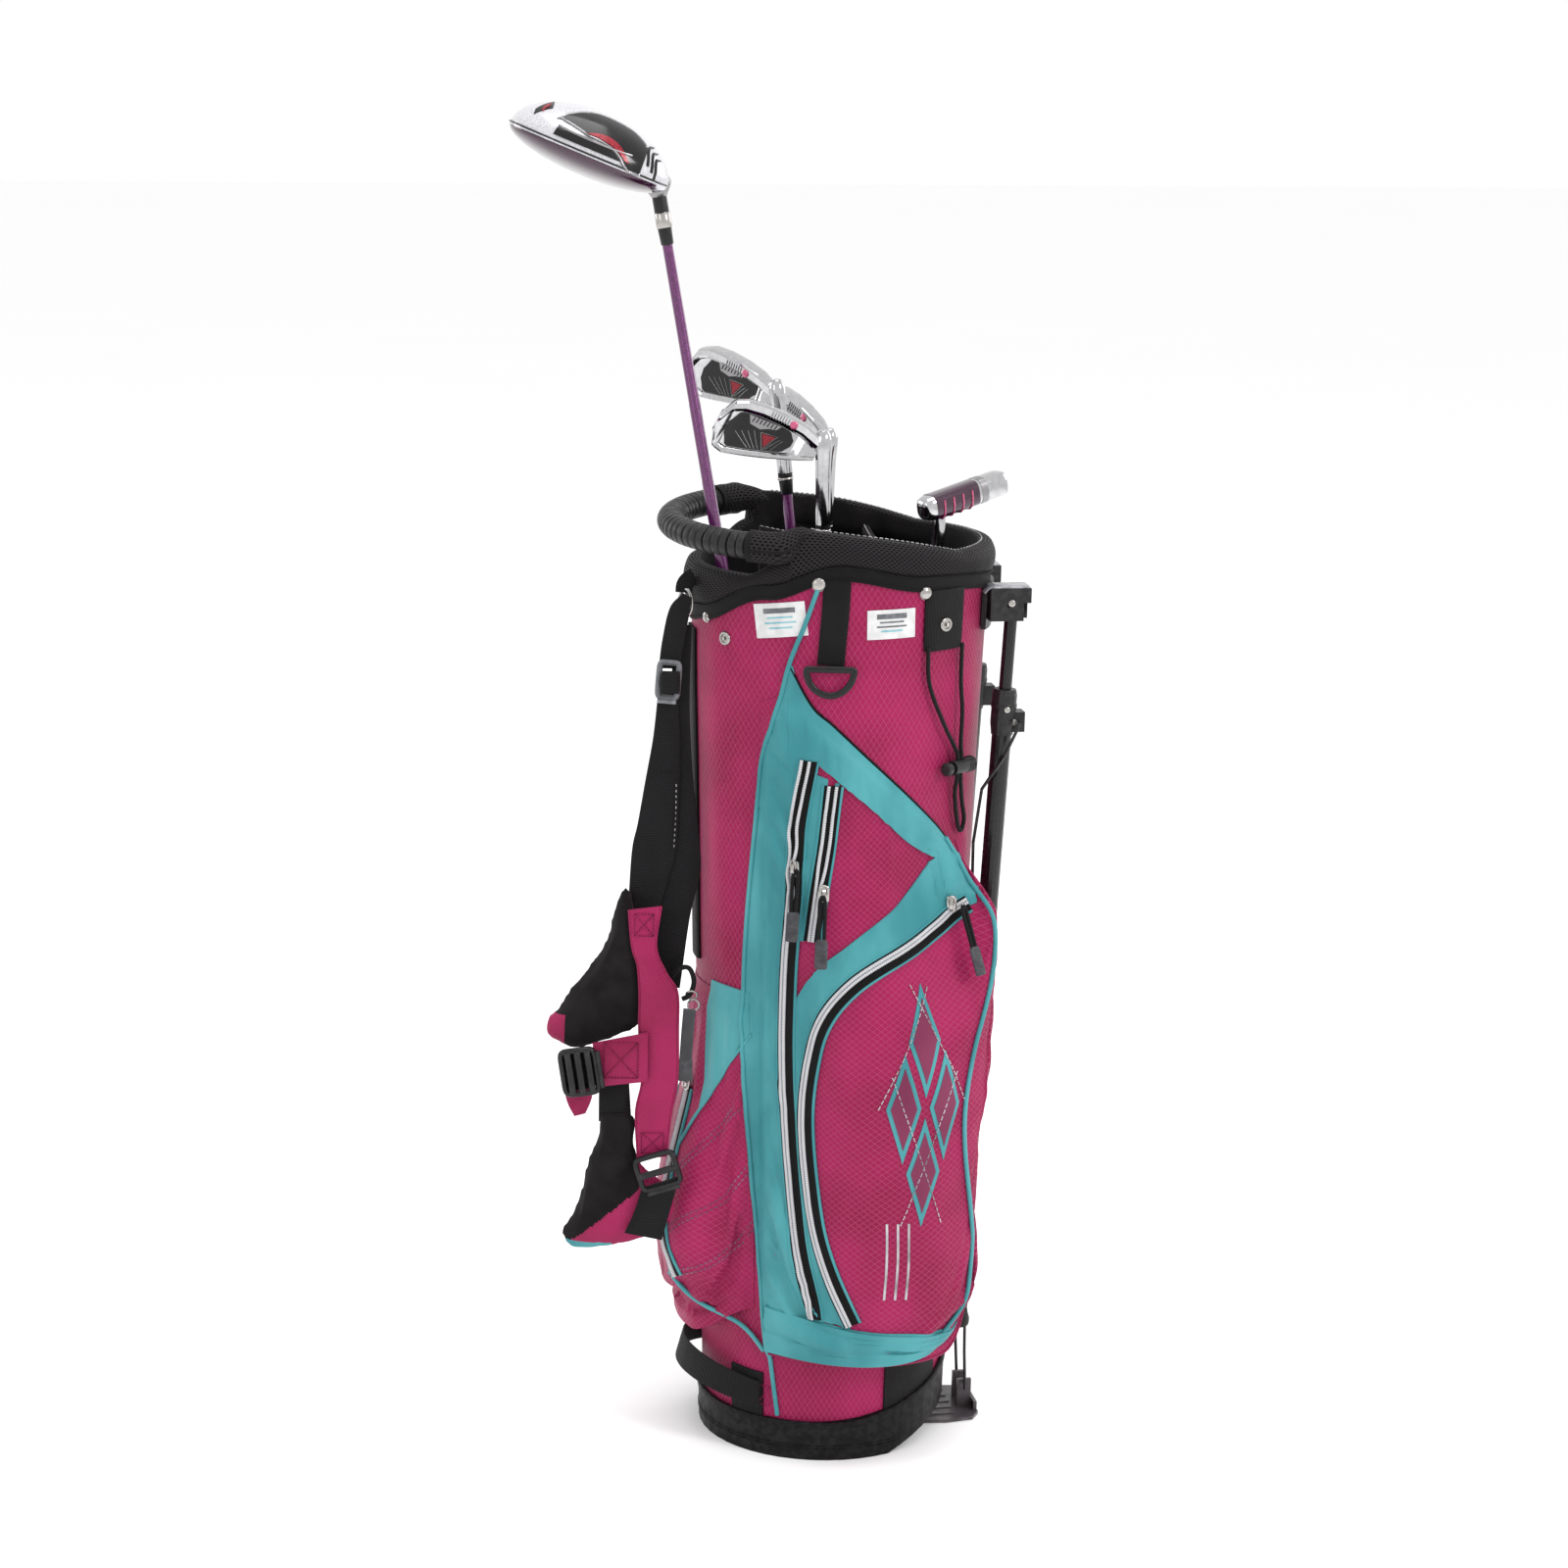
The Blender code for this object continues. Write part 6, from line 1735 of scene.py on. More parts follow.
def base_strap(cloth):
    """Webbing carry loop at the foot, sewn down at both ends."""
    section = ((-1, -0.4), (-0.9, -1), (0, -1), (0.9, -1), (1, -0.4), (1, 0.4), (0.9, 1), (0, 1), (-0.9, 1),
               (-1, 0.4))
    rings = []
    for k in range(49):
        turn = lerp(-50, 50, k / 48)
        lift = max(math.cos(math.radians(turn * 1.8)), 0)
        centre = bag_point(180 + turn, lerp(0.058, 0.072, lift), 0.0048 + 0.016 * lift)
        out = bag_outward(180 + turn, 0.08)
        sag = out * (0.0006 * ripple(centre, 60))
        lean = out * 0.0035 * lift
        rings.append([centre + sag + UP * 0.0125 * s - lean * s + out * 0.0010 * t for s, t in section])
    piece("base_carry_loop", loft(rings), "webbing", replaces=["base_grab_strap"])
    for turn, tag in ((-52, "near"), (52, "far")):
        spot, out = cloth.at(180 + turn, .058)
        side = UP.cross(out)
        corners = ((-1, -1), (1, -1), (1, 1), (-1, 1), (-1, -1), (1, 1))
        box = [spot + out * 0.0034 + side * 0.006 * x + UP * 0.009 * y for x, y in corners]
        piece("base_loop_stitches_" + tag, stitches(even_steps(box, 0.001), [out] * 8, 0.002, 0.001),
              "dark_thread")


# ---------------------------------------------------------------- base, stand legs
def dress(node, look, width=0.0, segments=2):
    """Give a carried-over solid its finish and, where it is moulded, softer edges."""
    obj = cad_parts[node]
    obj.data.materials.clear()
    obj.data.materials.append(LOOKS[look].material)
    if width:
        soften(obj, width, segments)


def base():
    """The moulded cup, its rim bead and tread lines, and the actuator flap with its grip ribs."""
    dress("base_cup", "base", 0.0012, 3)
    dress("actuator_flap", "flap", 0.0006, 2)
    dress("flap_hinge_pin", "nickel")
    for hidden in ("collar_frame", "stay_rod_near", "stay_rod_far"):
        dress(hidden, "plastic")
    bead = ((-0.0002, -0.0050), (0.0011, -0.0040), (0.0013, -0.0012), (0.0006, 0.0005), (-0.0014, 0.0008),
            (-0.0012, -0.0040))
    lip = []
    for angle in range(0, 360, 2):
        z = CUP_RIM + CUP_RIM_RISE * max(math.cos(math.radians(angle)), 0.0) ** 1.5
        lip.append([bag_point(angle, z + high, CUP_OUT + far) for far, high in bead])
    piece("base_rim_bead", loft(lip, closed=True), "base")
    ridges = []
    for level in (0.0105, 0.0135):
        ring = [bag_point(a, level, CUP_OUT + 0.0001) for a in range(62, 299, 2)]
        ridges.append(rod(ring, 0.0006, 8))
    piece("base_tread_lines", ridges, "base")
    ribs = [block((0.098, y, 0.0038), (1, 0, 0), (0, 1, 0), (0.026, 0.0012, 0.0007), 0.5)
            for y in (-0.028, -0.014, 0.0, 0.014, 0.028)]
    piece("flap_grip_ribs", ribs, "flap", "flap")


def screw_head(centre, out, radius):
    """A pan head with a cross recess."""
    shape = ((0.25, 1), (0.45, 0.72), (0.42, 0.30), (0.15, 0.26))
    profile = [(radius * far, radius * wide) for far, wide in shape]
    return turned(centre, out, [(-0.0004, radius)] + profile + [(radius * 0.13, 0.0001)], 24)


def stand_legs():
    """The bracket, the two legs with their caps, screws and feet, and the wire."""
    dress("leg_bracket", "plastic", 0.0011, 3)
    x, y, z = LEG_PIVOT
    caps, screws = [], []
    for side in (-1, 1):
        caps.append(block((x - 0.0035, side * y, z + 0.0156), (1, 0, 0), (0, 1, 0),
                          (0.0175, 0.0108, 0.0011), 0.3))
        rise = Vector((0.118, side * y, z + 0.010))
        lip = [rise, rise + Vector((0.004, 0, 0.004)), rise + Vector((0.010, 0, 0.0058))]
        caps.append(sweep(curve_through(lip, 0.002), band_profile(0.0095, 0.0016), UP))
        screws.append(screw_head(Vector((x - 0.003, side * (y + 0.0120), z + 0.002)), (0, side, 0), 0.0030))
        screws.append(screw_head(bag_point(side * 24.5, 0.775, 0.0062), bag_outward(side * 24.5, 0.775),
                                 0.0040))
    piece("bracket_covers", caps, "bracket_top")
    piece("bracket_screws", screws, "nickel")
    for tag, side in (("near", -1), ("far", 1)):
        body = "leg_" + tag
        dress(body + "_pin", "nickel")
        for tube in ("_upper_tube", "_lower_tube", "_wire"):
            dress(body + tube, "tube")
        dress(body + "_housing", "plastic", 0.0008, 2)
        down = (Vector((x - LEG_LEAN * 0.6, side * y, z - 0.6)) - Vector((x, side * y, z))).normalized()

        def on_leg(height):
            return Vector((x - LEG_LEAN * (z - height), side * y, height))

        collars = [turned(on_leg(0.7015), down,
                          ((0, .0064), (.0004, .0098), (.0030, .0106), (.0046, .0106)), 32),
                   turned(on_leg(0.6885), down,
                          ((0, .0112), (.0010, .0117), (.0036, .0117), (.0046, .0112)), 32),
                   turned(on_leg(0.7790), down, ((0, .0001), (.0006, .0050), (.0024, .0069), (.0040, .0070),
                                                 (.0060, .0060)), 28)]
        piece(body + "_collars", collars, "plastic", body)
        outer = Vector((on_leg(KNOB[2]).x + 0.001, side * (y + 0.0110), 0.684))
        inner = Vector((KNOB[0] - 0.004, side * (KNOB[1] - 0.0069), KNOB[2]))
        piece(body + "_screws", [screw_head(outer, (0, side, 0), 0.0026),
                                 screw_head(inner, (0, -side, 0), 0.0028)],
              "nickel", body)
        rings = [(0, .0101), (.0015, .0106)]
        for k in range(6):
            start = 0.004 + 0.0046 * k
            rings += [(start, .0106), (start + .0008, .0098), (start + .0018, .0098),
                      (start + .0026, .0106)]
        rings += [(0.0335, .0112), (0.0385, .0130), (0.0430, .0131), (0.0452, .0124), (0.0456, .0100)]
        piece(body + "_ribbed_foot", turned(on_leg(0.1497), down, rings, 32), "rubber", body,
              [body + "_foot"])


# ---------------------------------------------------------------- clubs
GRIP_LENGTH, GRIP_SLIM, GRIP_FULL = 0.27, 0.0098, 0.0130
CLUB_FLOOR, HEEL_START, HEEL_ANGLE, HEEL_THICK = 0.0145, 0.043, math.radians(22), 0.0048
SHAFT_TIP, SHAFT_BUTT = 0.0046, 0.0068
CLUBS = (("driver", (0.033, -0.060), (-0.1085, -0.009, 0.815), 1.075),
         ("iron_long", (0.058, 0.040), (-0.0400, 0.0360, 0.850), 0.8810),
         ("iron_mid", (0.000, 0.005), (-0.0190, -0.0170, 0.839), 0.8430),
         ("iron_short", (-0.020, 0.079), (0.0010, 0.0680, 0.847), 0.8320),
         ("putter", (0.076, -0.034), (0.0820, -0.0300, 0.825), 0.8150))
TOE_TURN = {"iron_long": 134.0, "iron_mid": 176.0, "iron_short": 122.0}
LIE = math.radians(62)
IRON_STATIONS = ((-0.003, 0.005, 0.027, 0.011, 0.009), (0.017, 0.000, 0.037, 0.0165, 0.006),
                 (0.036, -0.001, 0.045, 0.0175, 0.005), (0.055, 0.000, 0.052, 0.0175, 0.005),
                 (0.071, 0.003, 0.057, 0.0165, 0.005), (0.082, 0.009, 0.055, 0.0140, 0.005),
                 (0.088, 0.018, 0.046, 0.0100, 0.005))
CAVITY_ABOVE_SOLE, CAVITY_BELOW_TOP, CAVITY_WEB = 0.0132, 0.0072, 0.0028
DRIVER_NECK_RISE = 0.029


def club_axis(butt, mouth):
    """Where a club's grip starts inside the bag, and its direction up through the mouth."""
    heel = (butt[0] + GRIP_FULL - HEEL_START) * math.tan(HEEL_ANGLE) + HEEL_THICK + 0.003
    start = Vector((butt[0], butt[1], max(CLUB_FLOOR, heel)))
    return start, (Vector(mouth) - start).normalized()


class Iron:
    """An iron head's own directions: toe, sole and depth, the depth pointing at its cavity side."""

    def __init__(self, top, up, toe_angle):
        flat = Vector((math.cos(math.radians(toe_angle)), math.sin(math.radians(toe_angle)), 0))
        flat = (flat - up * flat.dot(up)).normalized()
        self.toe = (flat * math.sin(LIE) + up * math.cos(LIE)).normalized()
        self.sole = (up * math.sin(LIE) - flat * math.cos(LIE)).normalized()
        self.depth = self.sole.cross(self.toe).normalized()
        self.heel = top + up * 0.082

    def at(self, out, down, deep):
        """A point: out towards the toe, down from the sole's edge to the top line, deep to the cavity."""
        return self.heel + self.toe * out - self.sole * down + self.depth * deep

    def section(self, out):
        """Sole height, top height, sole and top thickness at a distance towards the toe."""
        return [along([(row[0], row[k]) for row in IRON_STATIONS], out) for k in range(1, 5)]

    def cavity(self, out):
        """The cavity's lower edge, upper edge and floor at a distance towards the toe."""
        low, high, thick, _ = self.section(out)
        return low + CAVITY_ABOVE_SOLE, high - CAVITY_BELOW_TOP, CAVITY_WEB - thick * 0.5


def iron_head(name, top, up, toe_angle):
    """A cavity-back iron: sole bar, top line, recessed cavity with an inset, grooved face and hosel."""
    iron = Iron(top, up, toe_angle)
    reach = IRON_STATIONS[-1][0]
    columns, rings = 44, []
    for k in range(columns + 1):
        t = k / columns
        out = lerp(-0.003, reach, 1 - (1 - t) ** 1.35)
        low, high, thick, thin = iron.section(out)
        end = smooth(out, reach - 0.010, reach)
        middle = (low + high) / 2
        low, high = lerp(low, middle, 0.35 * end ** 2), lerp(high, middle, 0.35 * end ** 2)
        hollow = smooth(out, 0.010, 0.020) * smooth(reach - out, 0.006, 0.012)
        floor = lerp(thin - thick * 0.5, CAVITY_WEB - thick * 0.5, hollow)
        face, back = -thick * 0.5, thick * 0.5
        ring = [(low + 0.0022, face), (low + 0.0006, face + 0.0014), (low, face + 0.0040),
                (low, back - 0.0040),
                (low + 0.0008, back - 0.0012), (low + 0.0026, back), (low + 0.0080, back - 0.0004),
                (low + 0.0105, back - 0.0026), (low + 0.0118, lerp(back - 0.0040, floor + 0.0016, hollow)),
                (low + 0.0130, floor), (lerp(low + 0.0130, high - 0.0068, 0.5), floor),
                (high - 0.0068, floor),
                (high - 0.0056, floor + 0.0012 * hollow), (high - 0.0046, face + thin - 0.0004),
                (high - 0.0016, face + thin), (high - 0.0003, face + thin * 0.6), (high, face + thin * 0.3),
                (high - 0.0010, face)]
        if high - low < 0.020:
            ring = [(lerp(low, high, i / 17), d) for i, (_, d) in enumerate(ring)]
        rings.append([iron.at(out, d, deep) for d, deep in ring])
    hosel = turned(top, up, ((0.0003, 0.0060), (0.0006, 0.0066), (0.050, 0.0066), (0.060, 0.0069),
                             (0.068, 0.0075),
                             (0.076, 0.0074), (0.081, 0.0062), (0.0838, 0.0040), (0.0845, 0.0004)), 36)
    piece(name + "_head_chrome", [loft(rings), hosel], "chrome", name, [name + "_head"], sharp=28)
    edges = []
    for k in range(25):
        out = lerp(0.0190, reach - 0.0110, k / 24)
        low, high, floor = iron.cavity(out)
        pinch = 0.5 * (high - low) * (1 - min(1, math.sin(math.pi * (0.04 + 0.92 * k / 24)) * 2.6))
        edges.append((out, low + max(pinch, 0), high - max(pinch, 0), floor))
    fronts = [[iron.at(out, lerp(a, b, i / 6), floor + 0.0009) for i in range(7)] for out, a, b,
              floor in edges]
    backs = [[iron.at(out, lerp(a, b, i / 6), floor - 0.0004) for i in range(7)] for out, a, b,
             floor in edges]
    piece(name + "_cavity_inset", shell(fronts, backs), "gloss_black", name)
    iron_badge(name, iron)
    grooves = []
    for k in range(9):
        level = 0.008 + 0.0030 * k
        ends = [iron.at(out, level, -iron.section(out)[2] * 0.5 - 0.00025) for out in (0.022, 0.040, 0.058)]
        if level < iron.section(0.022)[1] - 0.003:
            grooves.append(sweep(curve_through(ends, 0.006), band_profile(0.0004, 0.0003), -iron.depth))
    piece(name + "_face_lines", grooves, "satin_chrome", name)


def flat_on_iron(iron, outline, lift=0.0011, thick=0.0006):
    """A flat shape standing on the inset: outline lists (out, share of the cavity's height)."""
    fronts, backs = [], []
    for out, share in outline:
        low, high, floor = iron.cavity(out)
        spot = lerp(low, high, share)
        fronts.append(iron.at(out, spot, floor + lift + thick))
        backs.append(iron.at(out, spot, floor + lift - 0.0006))
    return loft([backs, fronts])


def line_on_iron(iron, start, end, half=0.00035, lift=0.0012):
    """A straight bead on the inset, its ends given as (out, share of the cavity's height)."""
    spots = []
    for k in range(7):
        out, share = lerp(start[0], end[0], k / 6), lerp(start[1], end[1], k / 6)
        low, high, floor = iron.cavity(out)
        spots.append(iron.at(out, lerp(low, high, share), floor + lift))
    return sweep(spots, round_profile(half, 8), iron.depth)


def iron_badge(name, iron):
    """The cavity's plain geometric dressing: a wedge, converging lines, a ribbed panel and a dot."""
    piece(name + "_badge_wedge", flat_on_iron(iron, [(0.0345, 0.45), (0.0465, 0.45), (0.0405, 0.88)]),
          "red", name)
    left, right, tip = (0.0330, 0.42), (0.0480, 0.42), (0.0405, 0.97)
    lines = [line_on_iron(iron, start, end) for start, end in ((left, tip), (right, tip), (left, right))]
    for k in range(4):
        lines.append(line_on_iron(iron, (0.0540 + 0.0050 * k, 0.42 + 0.04 * k), (0.0440 + 0.0030 * k, 0.95),
                                  0.00032))
    for k in range(2):
        lines.append(line_on_iron(iron, (0.0300 - 0.0030 * k, 0.50), (0.0385 - 0.0050 * k, 0.95), 0.00032))
    piece(name + "_badge_lines", lines, "satin_chrome", name)
    ribs = []
    for k in range(7):
        out = 0.0330 + 0.0026 * k
        low, _, thick_here, _ = iron.section(out)
        ribs.append(sweep([iron.at(out, low + d, thick_here * 0.5 + e) for d, e in
                           ((0.0030, 0.0002), (0.0060, 0.0003), (0.0090, -0.0006))],
                          round_profile(0.0005, 8),
                          iron.depth))
    piece(name + "_sole_ribs", ribs, "satin_chrome", name)
    low, _, thick_here, _ = iron.section(0.0275)
    dot = iron.at(0.0275, low + 0.0058, thick_here * 0.5 + 0.0002)
    piece(name + "_sole_dot", ball(dot, 0.0036, iron.depth, 0.30, 6, 24), "pink", name)
    plate = [(0.0340, 0.02), (0.0640, 0.02), (0.0600, 0.26), (0.0500, 0.34), (0.0430, 0.24), (0.0370, 0.20)]
    piece(name + "_badge_plate", flat_on_iron(iron, plate, 0.0009, 0.0004), "satin_chrome", name)
    grille = [line_on_iron(iron, (0.0380 + 0.0034 * k, 0.05), (0.0388 + 0.0034 * k, 0.20), 0.0005, 0.0016)
              for k in range(7)]
    piece(name + "_badge_grille", grille, "gloss_black", name)


def driver_head(name, top, up):
    """A rounded wood head standing sole up: pearl sole, dark crown, black inset, skirt panel and face."""
    toe = Vector((-0.99, 0.10, 0)).normalized()
    toe = (toe - up * toe.dot(up)).normalized()
    lean = math.radians(58)
    toe_tip = (toe * math.sin(lean) + up * math.cos(lean)).normalized()
    high = (up * math.sin(lean) - toe * math.cos(lean)).normalized()
    back = high.cross(toe_tip).normalized()
    centre = top + up * 0.064 + toe_tip * 0.064 + back * 0.020
    long, deep, flat, sole_rise, crown_rise = 0.072, 0.055, -0.84, 0.038, 0.019

    def surface(x, y, grow=0.0):
        """Point of the sole at shares x towards the toe and y towards the back, raised by grow."""
        lift = sole_rise * max(1 - x * x - y * y, 0.0) ** 0.5
        spot = centre + toe_tip * x * long + back * max(y, flat) * deep + high * lift
        normal = toe_tip * x / long + back * y / deep + high * max(lift, 0.002) / sole_rise ** 2
        return spot + normal.normalized() * grow

    rows, rings = 44, []
    for j in range(rows + 1):
        tilt = math.pi * (j / rows)
        z = math.cos(tilt)
        spread = max(math.sin(tilt), 0.004)
        lift = sole_rise if z > 0 else crown_rise
        rings.append([centre + toe_tip * spread * math.cos(t) * long
                      + back * max(spread * math.sin(t), flat) * deep + high * z * lift
                      for t in turns_of(72)])
    hosel = turned(top, up, ((0.0515, 0.0058), (0.0518, 0.0068), (0.055, 0.0084), (0.059, 0.0108),
                             (0.063, 0.0126), (0.068, 0.0110)), 36)
    shell_obj = piece(name + "_head_shell", [loft(rings), hosel], "pearl", name, [name + "_head"], sharp=50)
    two_tone(shell_obj, "crown", lambda c, n: n.dot(high) < -0.25 and (c - centre).dot(high) < -0.002
             and (c - centre).dot(toe_tip) > -0.062)
    shell_obj.data.materials.append(LOOKS["satin_chrome"].material)
    for face in shell_obj.data.polygons:
        if face.normal.dot(back) < -0.93 or (face.center - top).cross(up).length < 0.0122:
            face.material_index = 2

    def panel(place, lift, rows, columns):
        """A thin plate on the sole: place turns shares along and across it into the sole's own shares."""
        fronts, backs = [], []
        for j in range(rows + 1):
            spots = [place(i / columns, j / rows) for i in range(columns + 1)]
            fronts.append([surface(x, y, lift) for x, y in spots])
            backs.append([surface(x, y, -0.0006) for x, y in spots])
        return shell(fronts, backs)

    def inset(u, v):
        """A rounded lens along the sole, its blunt end at the heel."""
        x = lerp(-0.60, 0.52, u)
        half = 0.25 * min(1.0, math.sin(math.pi * min(0.10 + 0.95 * u, 1.0))
                          * 1.25) ** 0.6 * (1 - 0.45 * u ** 3)
        return x, 0.665 + 0.05 * u + half * (2 * v - 1)

    def streak(u, v):
        x, low = inset(lerp(0.14, 0.66, u), 1.0)
        return x, low - 0.065 * math.sin(math.pi * u) * (1 - v) - 0.012

    def skirt(u, v):
        turn = math.radians(lerp(60, 118, u))
        far = lerp(0.952, 0.992, v) - 0.012 * abs(2 * u - 1) ** 3 * (1 - v)
        return far * math.cos(turn), far * math.sin(turn)

    piece(name + "_sole_inset", panel(inset, 0.0010, 14, 30), "gloss_black", name)
    piece(name + "_sole_streak", panel(streak, 0.0016, 4, 22), "red", name)
    rim = [surface(*inset(2 * t if t < 0.5 else 2 - 2 * t, 1.0 if t < 0.5 else 0.0), 0.0007)
           for t in (k / 64 for k in range(64))]
    piece(name + "_sole_inset_rim", rod(rim, 0.0011, 8, closed=True), "satin_chrome", name)
    piece(name + "_skirt_panel", panel(skirt, 0.0009, 6, 26), "gloss_black", name)
    edge = [surface(*skirt(t, 0.0), 0.0009) for t in (k / 20 for k in range(21))]
    piece(name + "_skirt_rim", rod(edge, 0.0010, 8), "satin_chrome", name)
    slots = []
    for start, long_half in ((-0.665, 0.20), (-0.735, 0.16), (-0.795, 0.11)):
        line = [surface(start + 0.05 * math.sin(math.pi * t), 0.50 + long_half * (2 * t - 1), 0.0002)
                for t in (k / 10 for k in range(11))]
        slots.append(sweep(line, band_profile(0.0014, 0.0010, -0.0003), high))
    piece(name + "_sole_slots", slots, "gloss_black", name)

    def toe_wedge(u, v):
        return lerp(0.60, 0.78, u), 0.34 + 0.12 * u + (0.05 + 0.09 * (1 - u)) * (2 * v - 1)

    def toe_mark(u, v):
        return lerp(0.63, 0.70, u), 0.37 + 0.10 * u + 0.05 * (2 * v - 1)

    piece(name + "_toe_weight", panel(toe_wedge, 0.0008, 5, 8), "gloss_black", name)
    piece(name + "_toe_accent", panel(toe_mark, 0.0014, 3, 5), "red", name)
    seam = [centre + toe_tip * math.cos(t) * (long + 0.0004)
            + back * max(math.sin(t), flat - 0.006) * (deep + 0.0004) + high * 0.0008 for t in turns_of(72)]
    piece(name + "_crown_joint", rod(seam, 0.0009, 8, closed=True), "gloss_black", name)
    face_lines = []
    for k in range(7):
        level = -0.009 + 0.0034 * k
        ends = [centre + toe_tip * s * 0.020 + back * (flat * deep - 0.0002) + high * level
                for s in (-1, 0, 1)]
        face_lines.append(sweep(ends, band_profile(0.0005, 0.0004), -back))
    piece(name + "_face_lines", face_lines, "gloss_black", name)


def putter_head(name, top, up):
    """A blade putter on a bent neck."""
    ahead = Vector((0.87, 0.42, 0.20)).normalized()
    side = ahead.cross(UP).normalized()
    high = side.cross(ahead).normalized()
    centre = top + up * 0.0475 + ahead * 0.026

    def around(out, t, wide, tall):
        """A point on the blade's rounded outline, out along the blade and at angle t round it."""
        return (centre + ahead * out + side * squared(math.cos(t), 0.55) * wide
                + high * squared(math.sin(t), 0.7) * tall)

    rings = []
    for out, scale in ((-0.0465, 0.30), (-0.0460, 0.62), (-0.044, 0.84), (-0.039, 0.97), (-0.030, 1),
                       (0, 1), (0.028, 1),
                       (0.039, 1), (0.0445, 0.92), (0.0465, 0.70), (0.047, 0.30)):
        rings.append([around(out, t, 0.0105 * scale, 0.0112 * scale) for t in turns_of(28)])
    neck = turned(top, up, ((0.0003, 0.0052), (0.0006, 0.0058), (0.030, 0.0058), (0.038, 0.0062),
                            (0.044, 0.0060),
                            (0.050, 0.0030)), 28)
    piece(name + "_head_body", [loft(rings), neck], "chrome", name, [name + "_head"], sharp=50)
    for band, out, half, look in (("_colour_band", -0.012, 0.0240, "crown"),
                                  ("_grey_band", 0.0185, 0.0035, "satin_chrome")):
        wrap = [[around(out + half * s, t, 0.0108, 0.0115) for t in turns_of(28)]
                for s in (-1, -0.5, 0, 0.5, 1)]
        piece(name + band, loft(wrap), look, name)
    stripes = []
    for k in range(4):
        start = -0.034 + 0.0105 * k
        line = [around(start + 0.0008 * n, math.radians(lerp(160, 380, n / 8)), 0.0111,
                       0.0118) for n in range(9)]
        stripes.append(rod(line, 0.0010, 8))
    piece(name + "_stripes", stripes, "pink", name)


def clubs():
    """Each club's ribbed grip, stepped shaft, ferrule with its bright ring, and head."""
    for name, butt, mouth, shaft_top in CLUBS:
        start, up = club_axis(butt, mouth)
        length = (shaft_top - start.z) / up.z
        top = start + up * length
        grip = [(0, 0.0115), (0.001, GRIP_FULL), (0.004, GRIP_FULL)]
        for k in range(40):
            far = 0.008 + k * 0.0062
            radius = along(((0, GRIP_FULL), (0.135, 0.0112), (0.27, GRIP_SLIM)), far)
            grip += [(far, radius), (far + 0.0008, radius - 0.0005), (far + 0.0022, radius - 0.0005),
                     (far + 0.0030, radius)]
        grip += [(GRIP_LENGTH - 0.0003, GRIP_SLIM)]
        piece(name + "_ribbed_grip", turned(start, up, grip, 24), "grip", name, [name + "_grip"])
        shaft = [(GRIP_LENGTH, SHAFT_BUTT)]
        for k in range(1, 10):
            far = lerp(GRIP_LENGTH + 0.06, length - 0.06, k / 10)
            radius = lerp(SHAFT_BUTT, SHAFT_TIP, k / 10)
            shaft += [(far, radius + 0.0002), (far + 0.0010, radius)]
        neck = DRIVER_NECK_RISE if name == "driver" else 0.0
        shaft.append((length + neck - 0.001, SHAFT_TIP))
        piece(name + "_stepped_shaft", turned(start, up, shaft, 24), "shaft", name, [name + "_shaft"])
        radius = {"driver": 0.0064, "putter": 0.0058}.get(name, 0.0066)
        foot, end = length + neck, length + (0.0520 if name == "driver" else 0.0)
        ferrule = turned(start, up, ((foot - 0.019, SHAFT_TIP + 0.0001), (foot - 0.018, SHAFT_TIP + 0.0009),
                                     (foot - 0.006, radius * 0.94), (foot, radius), (end + 0.0002, radius)),
                         28)
        piece(name + "_ferrule", ferrule, "plastic", name)
        near, far = (0.0380, 0.0250) if name == "driver" else (-0.0035, -0.0060)
        bright = turned(start, up, [(length + far, radius + 0.0001),
                                    (length + far + 0.0004, radius + 0.0004),
                                    (length + near - 0.0004, radius + 0.0004),
                                    (length + near, radius + 0.0001)], 28)
        piece(name + "_ferrule_ring", bright, "nickel", name)
        if name == "driver":
            driver_head(name, top, up)
        elif name == "putter":
            putter_head(name, top, up)
        else:
            iron_head(name, top, up, TOE_TURN[name])


# ---------------------------------------------------------------- camera, floor and light
def camera():
    """A long lens a little above the bag, looking down at it from the near side."""
    turn, pitch, roll = math.radians(-11), math.radians(13.57), math.radians(1.16)
    ahead = Vector((-math.sin(turn), math.cos(turn), 0))
    right = Vector((math.cos(turn), math.sin(turn), 0))
    look = ahead * math.cos(pitch) - UP * math.sin(pitch)
    upward = ahead * math.sin(pitch) + UP * math.cos(pitch)
    across = right * math.cos(roll) + upward * math.sin(roll)
    upward = upward * math.cos(roll) - right * math.sin(roll)
    data = bpy.data.cameras.new("camera")
    data.sensor_width, data.lens = 36.0, 86.8
    data.clip_start, data.clip_end = 0.05, 60
    obj = bpy.data.objects.new("camera", data)
    place = -ahead * 3.3 - right * 0.045 + UP * 1.40
    turned_to = Matrix((across, upward, -look)).transposed().to_4x4()
    obj.matrix_world = Matrix.Translation(place) @ turned_to
    bpy.context.scene.collection.objects.link(obj)
    bpy.context.scene.camera = obj


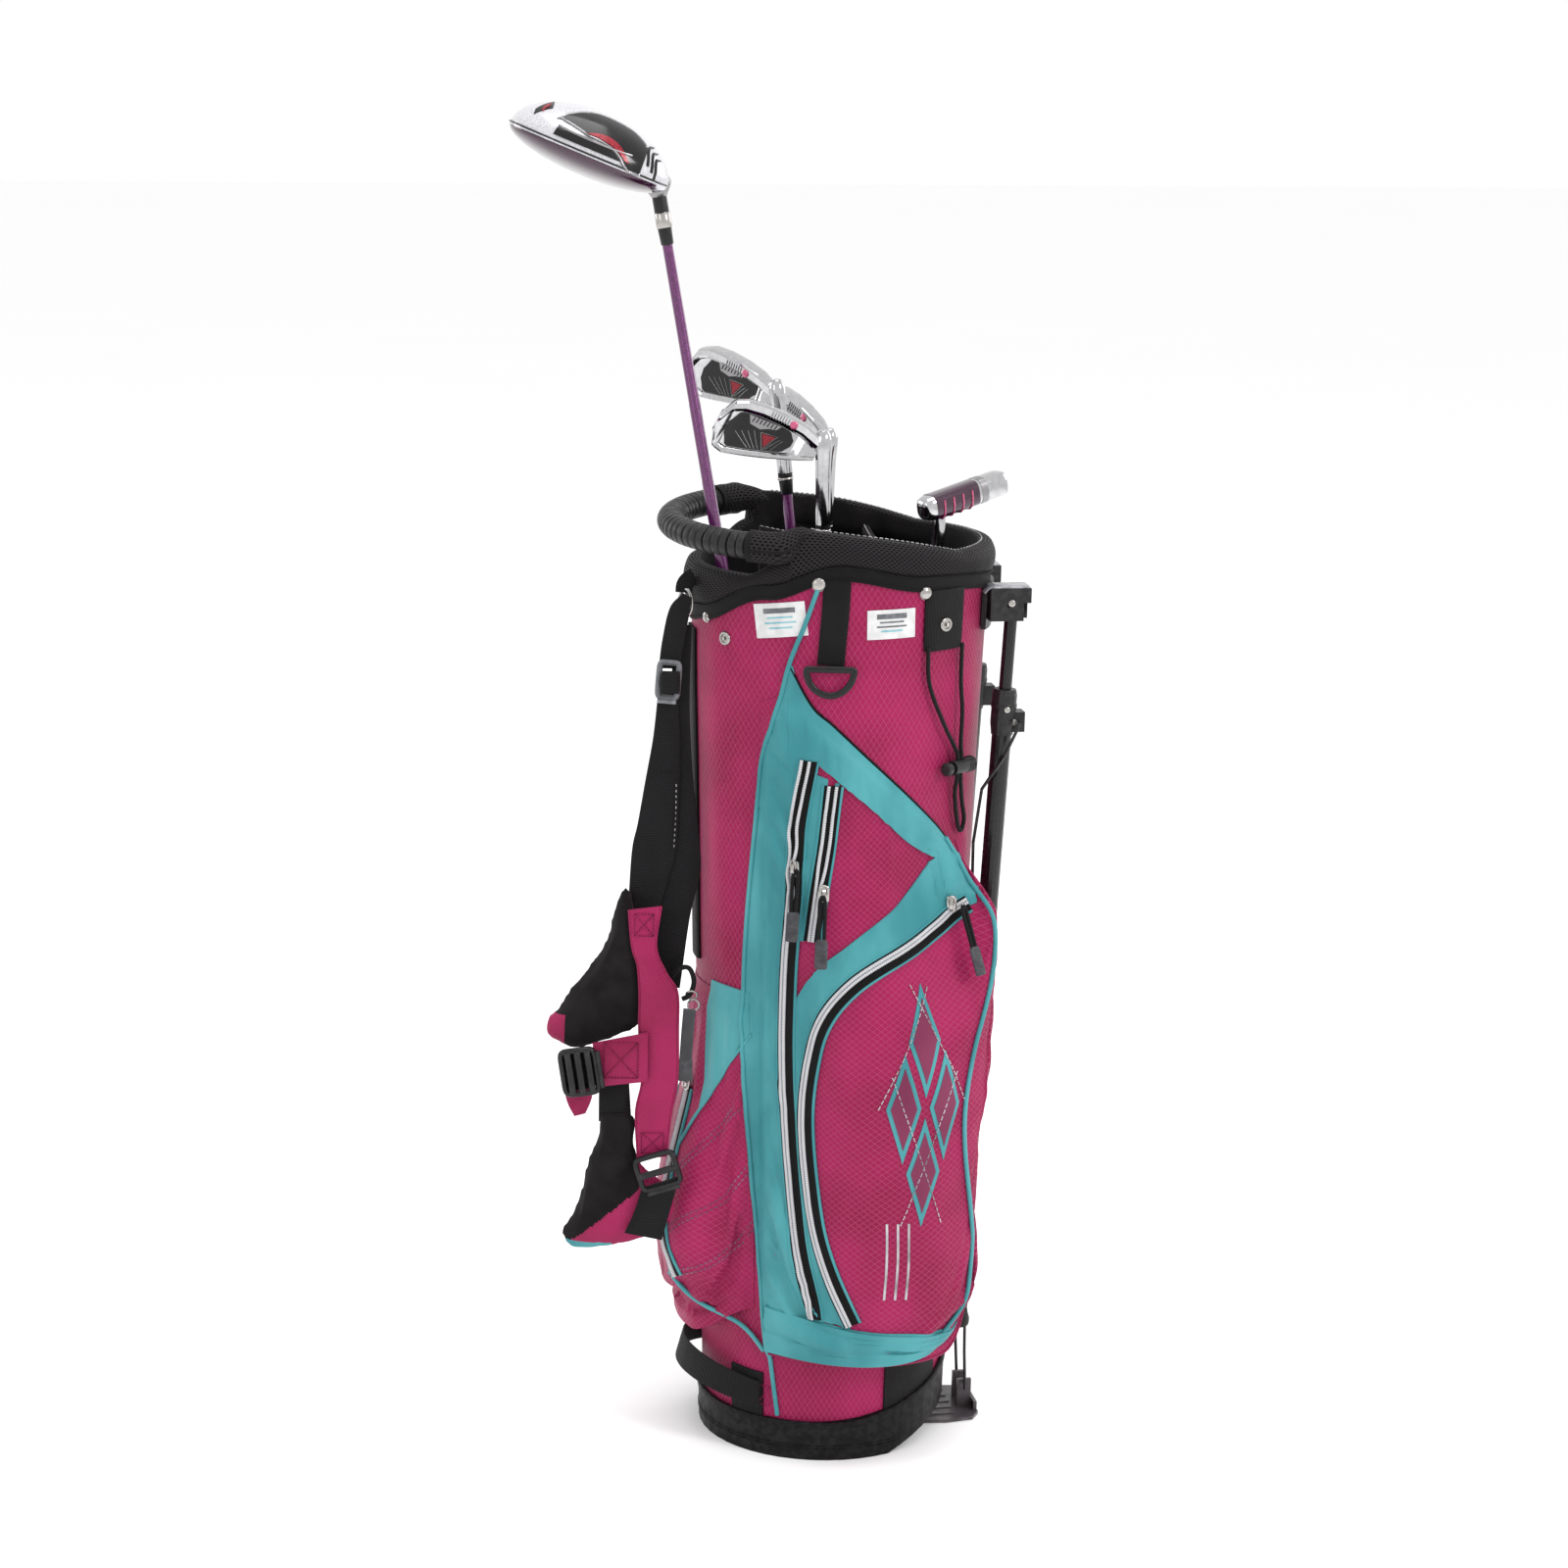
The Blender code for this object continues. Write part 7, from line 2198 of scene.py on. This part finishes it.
def floor():
    """The pale ground the set stands on."""
    reach = 14.0
    corners = [(x * reach, y * reach, 0) for x, y in ((-1, -1), (1, -1), (1, 1), (-1, 1))]
    mesh = bpy.data.meshes.new("floor")
    mesh.from_pydata(corners, [], [(0, 1, 2, 3)])
    obj = bpy.data.objects.new("floor", mesh)
    bpy.context.scene.collection.objects.link(obj)
    look = Look("pale_floor", "floor", (0.97, 0.97, 0.97, 1.0), 0.9)
    look.set("Base Color", look.mix(look.noise(1.5, 2), (0.965, 0.965, 0.965, 1.0),
                                    (0.98, 0.98, 0.98, 1.0)))
    mesh.materials.append(look.material)


LIGHTS = (("key", (2.3, -2.3, 2.4), (0, 0, 0.6), 44, 0.9),
          ("fill", (-2.6, -1.8, 1.6), (0, 0, 0.55), 9, 1.6),
          ("rim_left", (-2.2, 1.4, 1.4), (0, 0, 0.6), 10, 1.2),
          ("rim_right", (2.2, 1.2, 1.5), (0, 0, 0.6), 12, 1.2),
          ("top", (0, -0.2, 3.4), (0, 0, 0.7), 44, 2.0))


def lights():
    """An even white surround and five soft lamps."""
    world = bpy.data.worlds.new("studio")
    world.use_nodes = True
    background = world.node_tree.nodes["Background"]
    background.inputs["Color"].default_value = (1.0, 1.0, 1.0, 1.0)
    background.inputs["Strength"].default_value = 1.0
    bpy.context.scene.world = world
    for name, place, target, power, size in LIGHTS:
        data = bpy.data.lights.new(name, "AREA")
        data.energy, data.size = power, size
        obj = bpy.data.objects.new(name, data)
        obj.location = place
        obj.rotation_euler = (Vector(target) - Vector(place)).to_track_quat("-Z", "Y").to_euler()
        bpy.context.scene.collection.objects.link(obj)
    bpy.context.scene.view_settings.view_transform = "Standard"


def build():
    """Everything that is seen, skins first because the trims lie on them."""
    camera()
    floor()
    lights()
    skin = bag_skin()
    near, far = garment_pockets()
    balls = ball_pocket()
    cloth = Cloth([skin, near, far, balls])
    pocket_trims(cloth)
    argyle(cloth)
    ball_pocket_trims(cloth)
    upper_fittings(cloth)
    towel_loop(cloth)
    cord_loop(cloth)
    spine_and_webbing(cloth)
    zip_pulls(cloth)
    collar()
    dividers()
    carrying_handle()
    straps()
    base_strap(cloth)
    base()
    stand_legs()
    clubs()
    dress("cord_lock", "plastic")
    dress("cord_lock_button", "plastic", 0.0006, 2)


build()
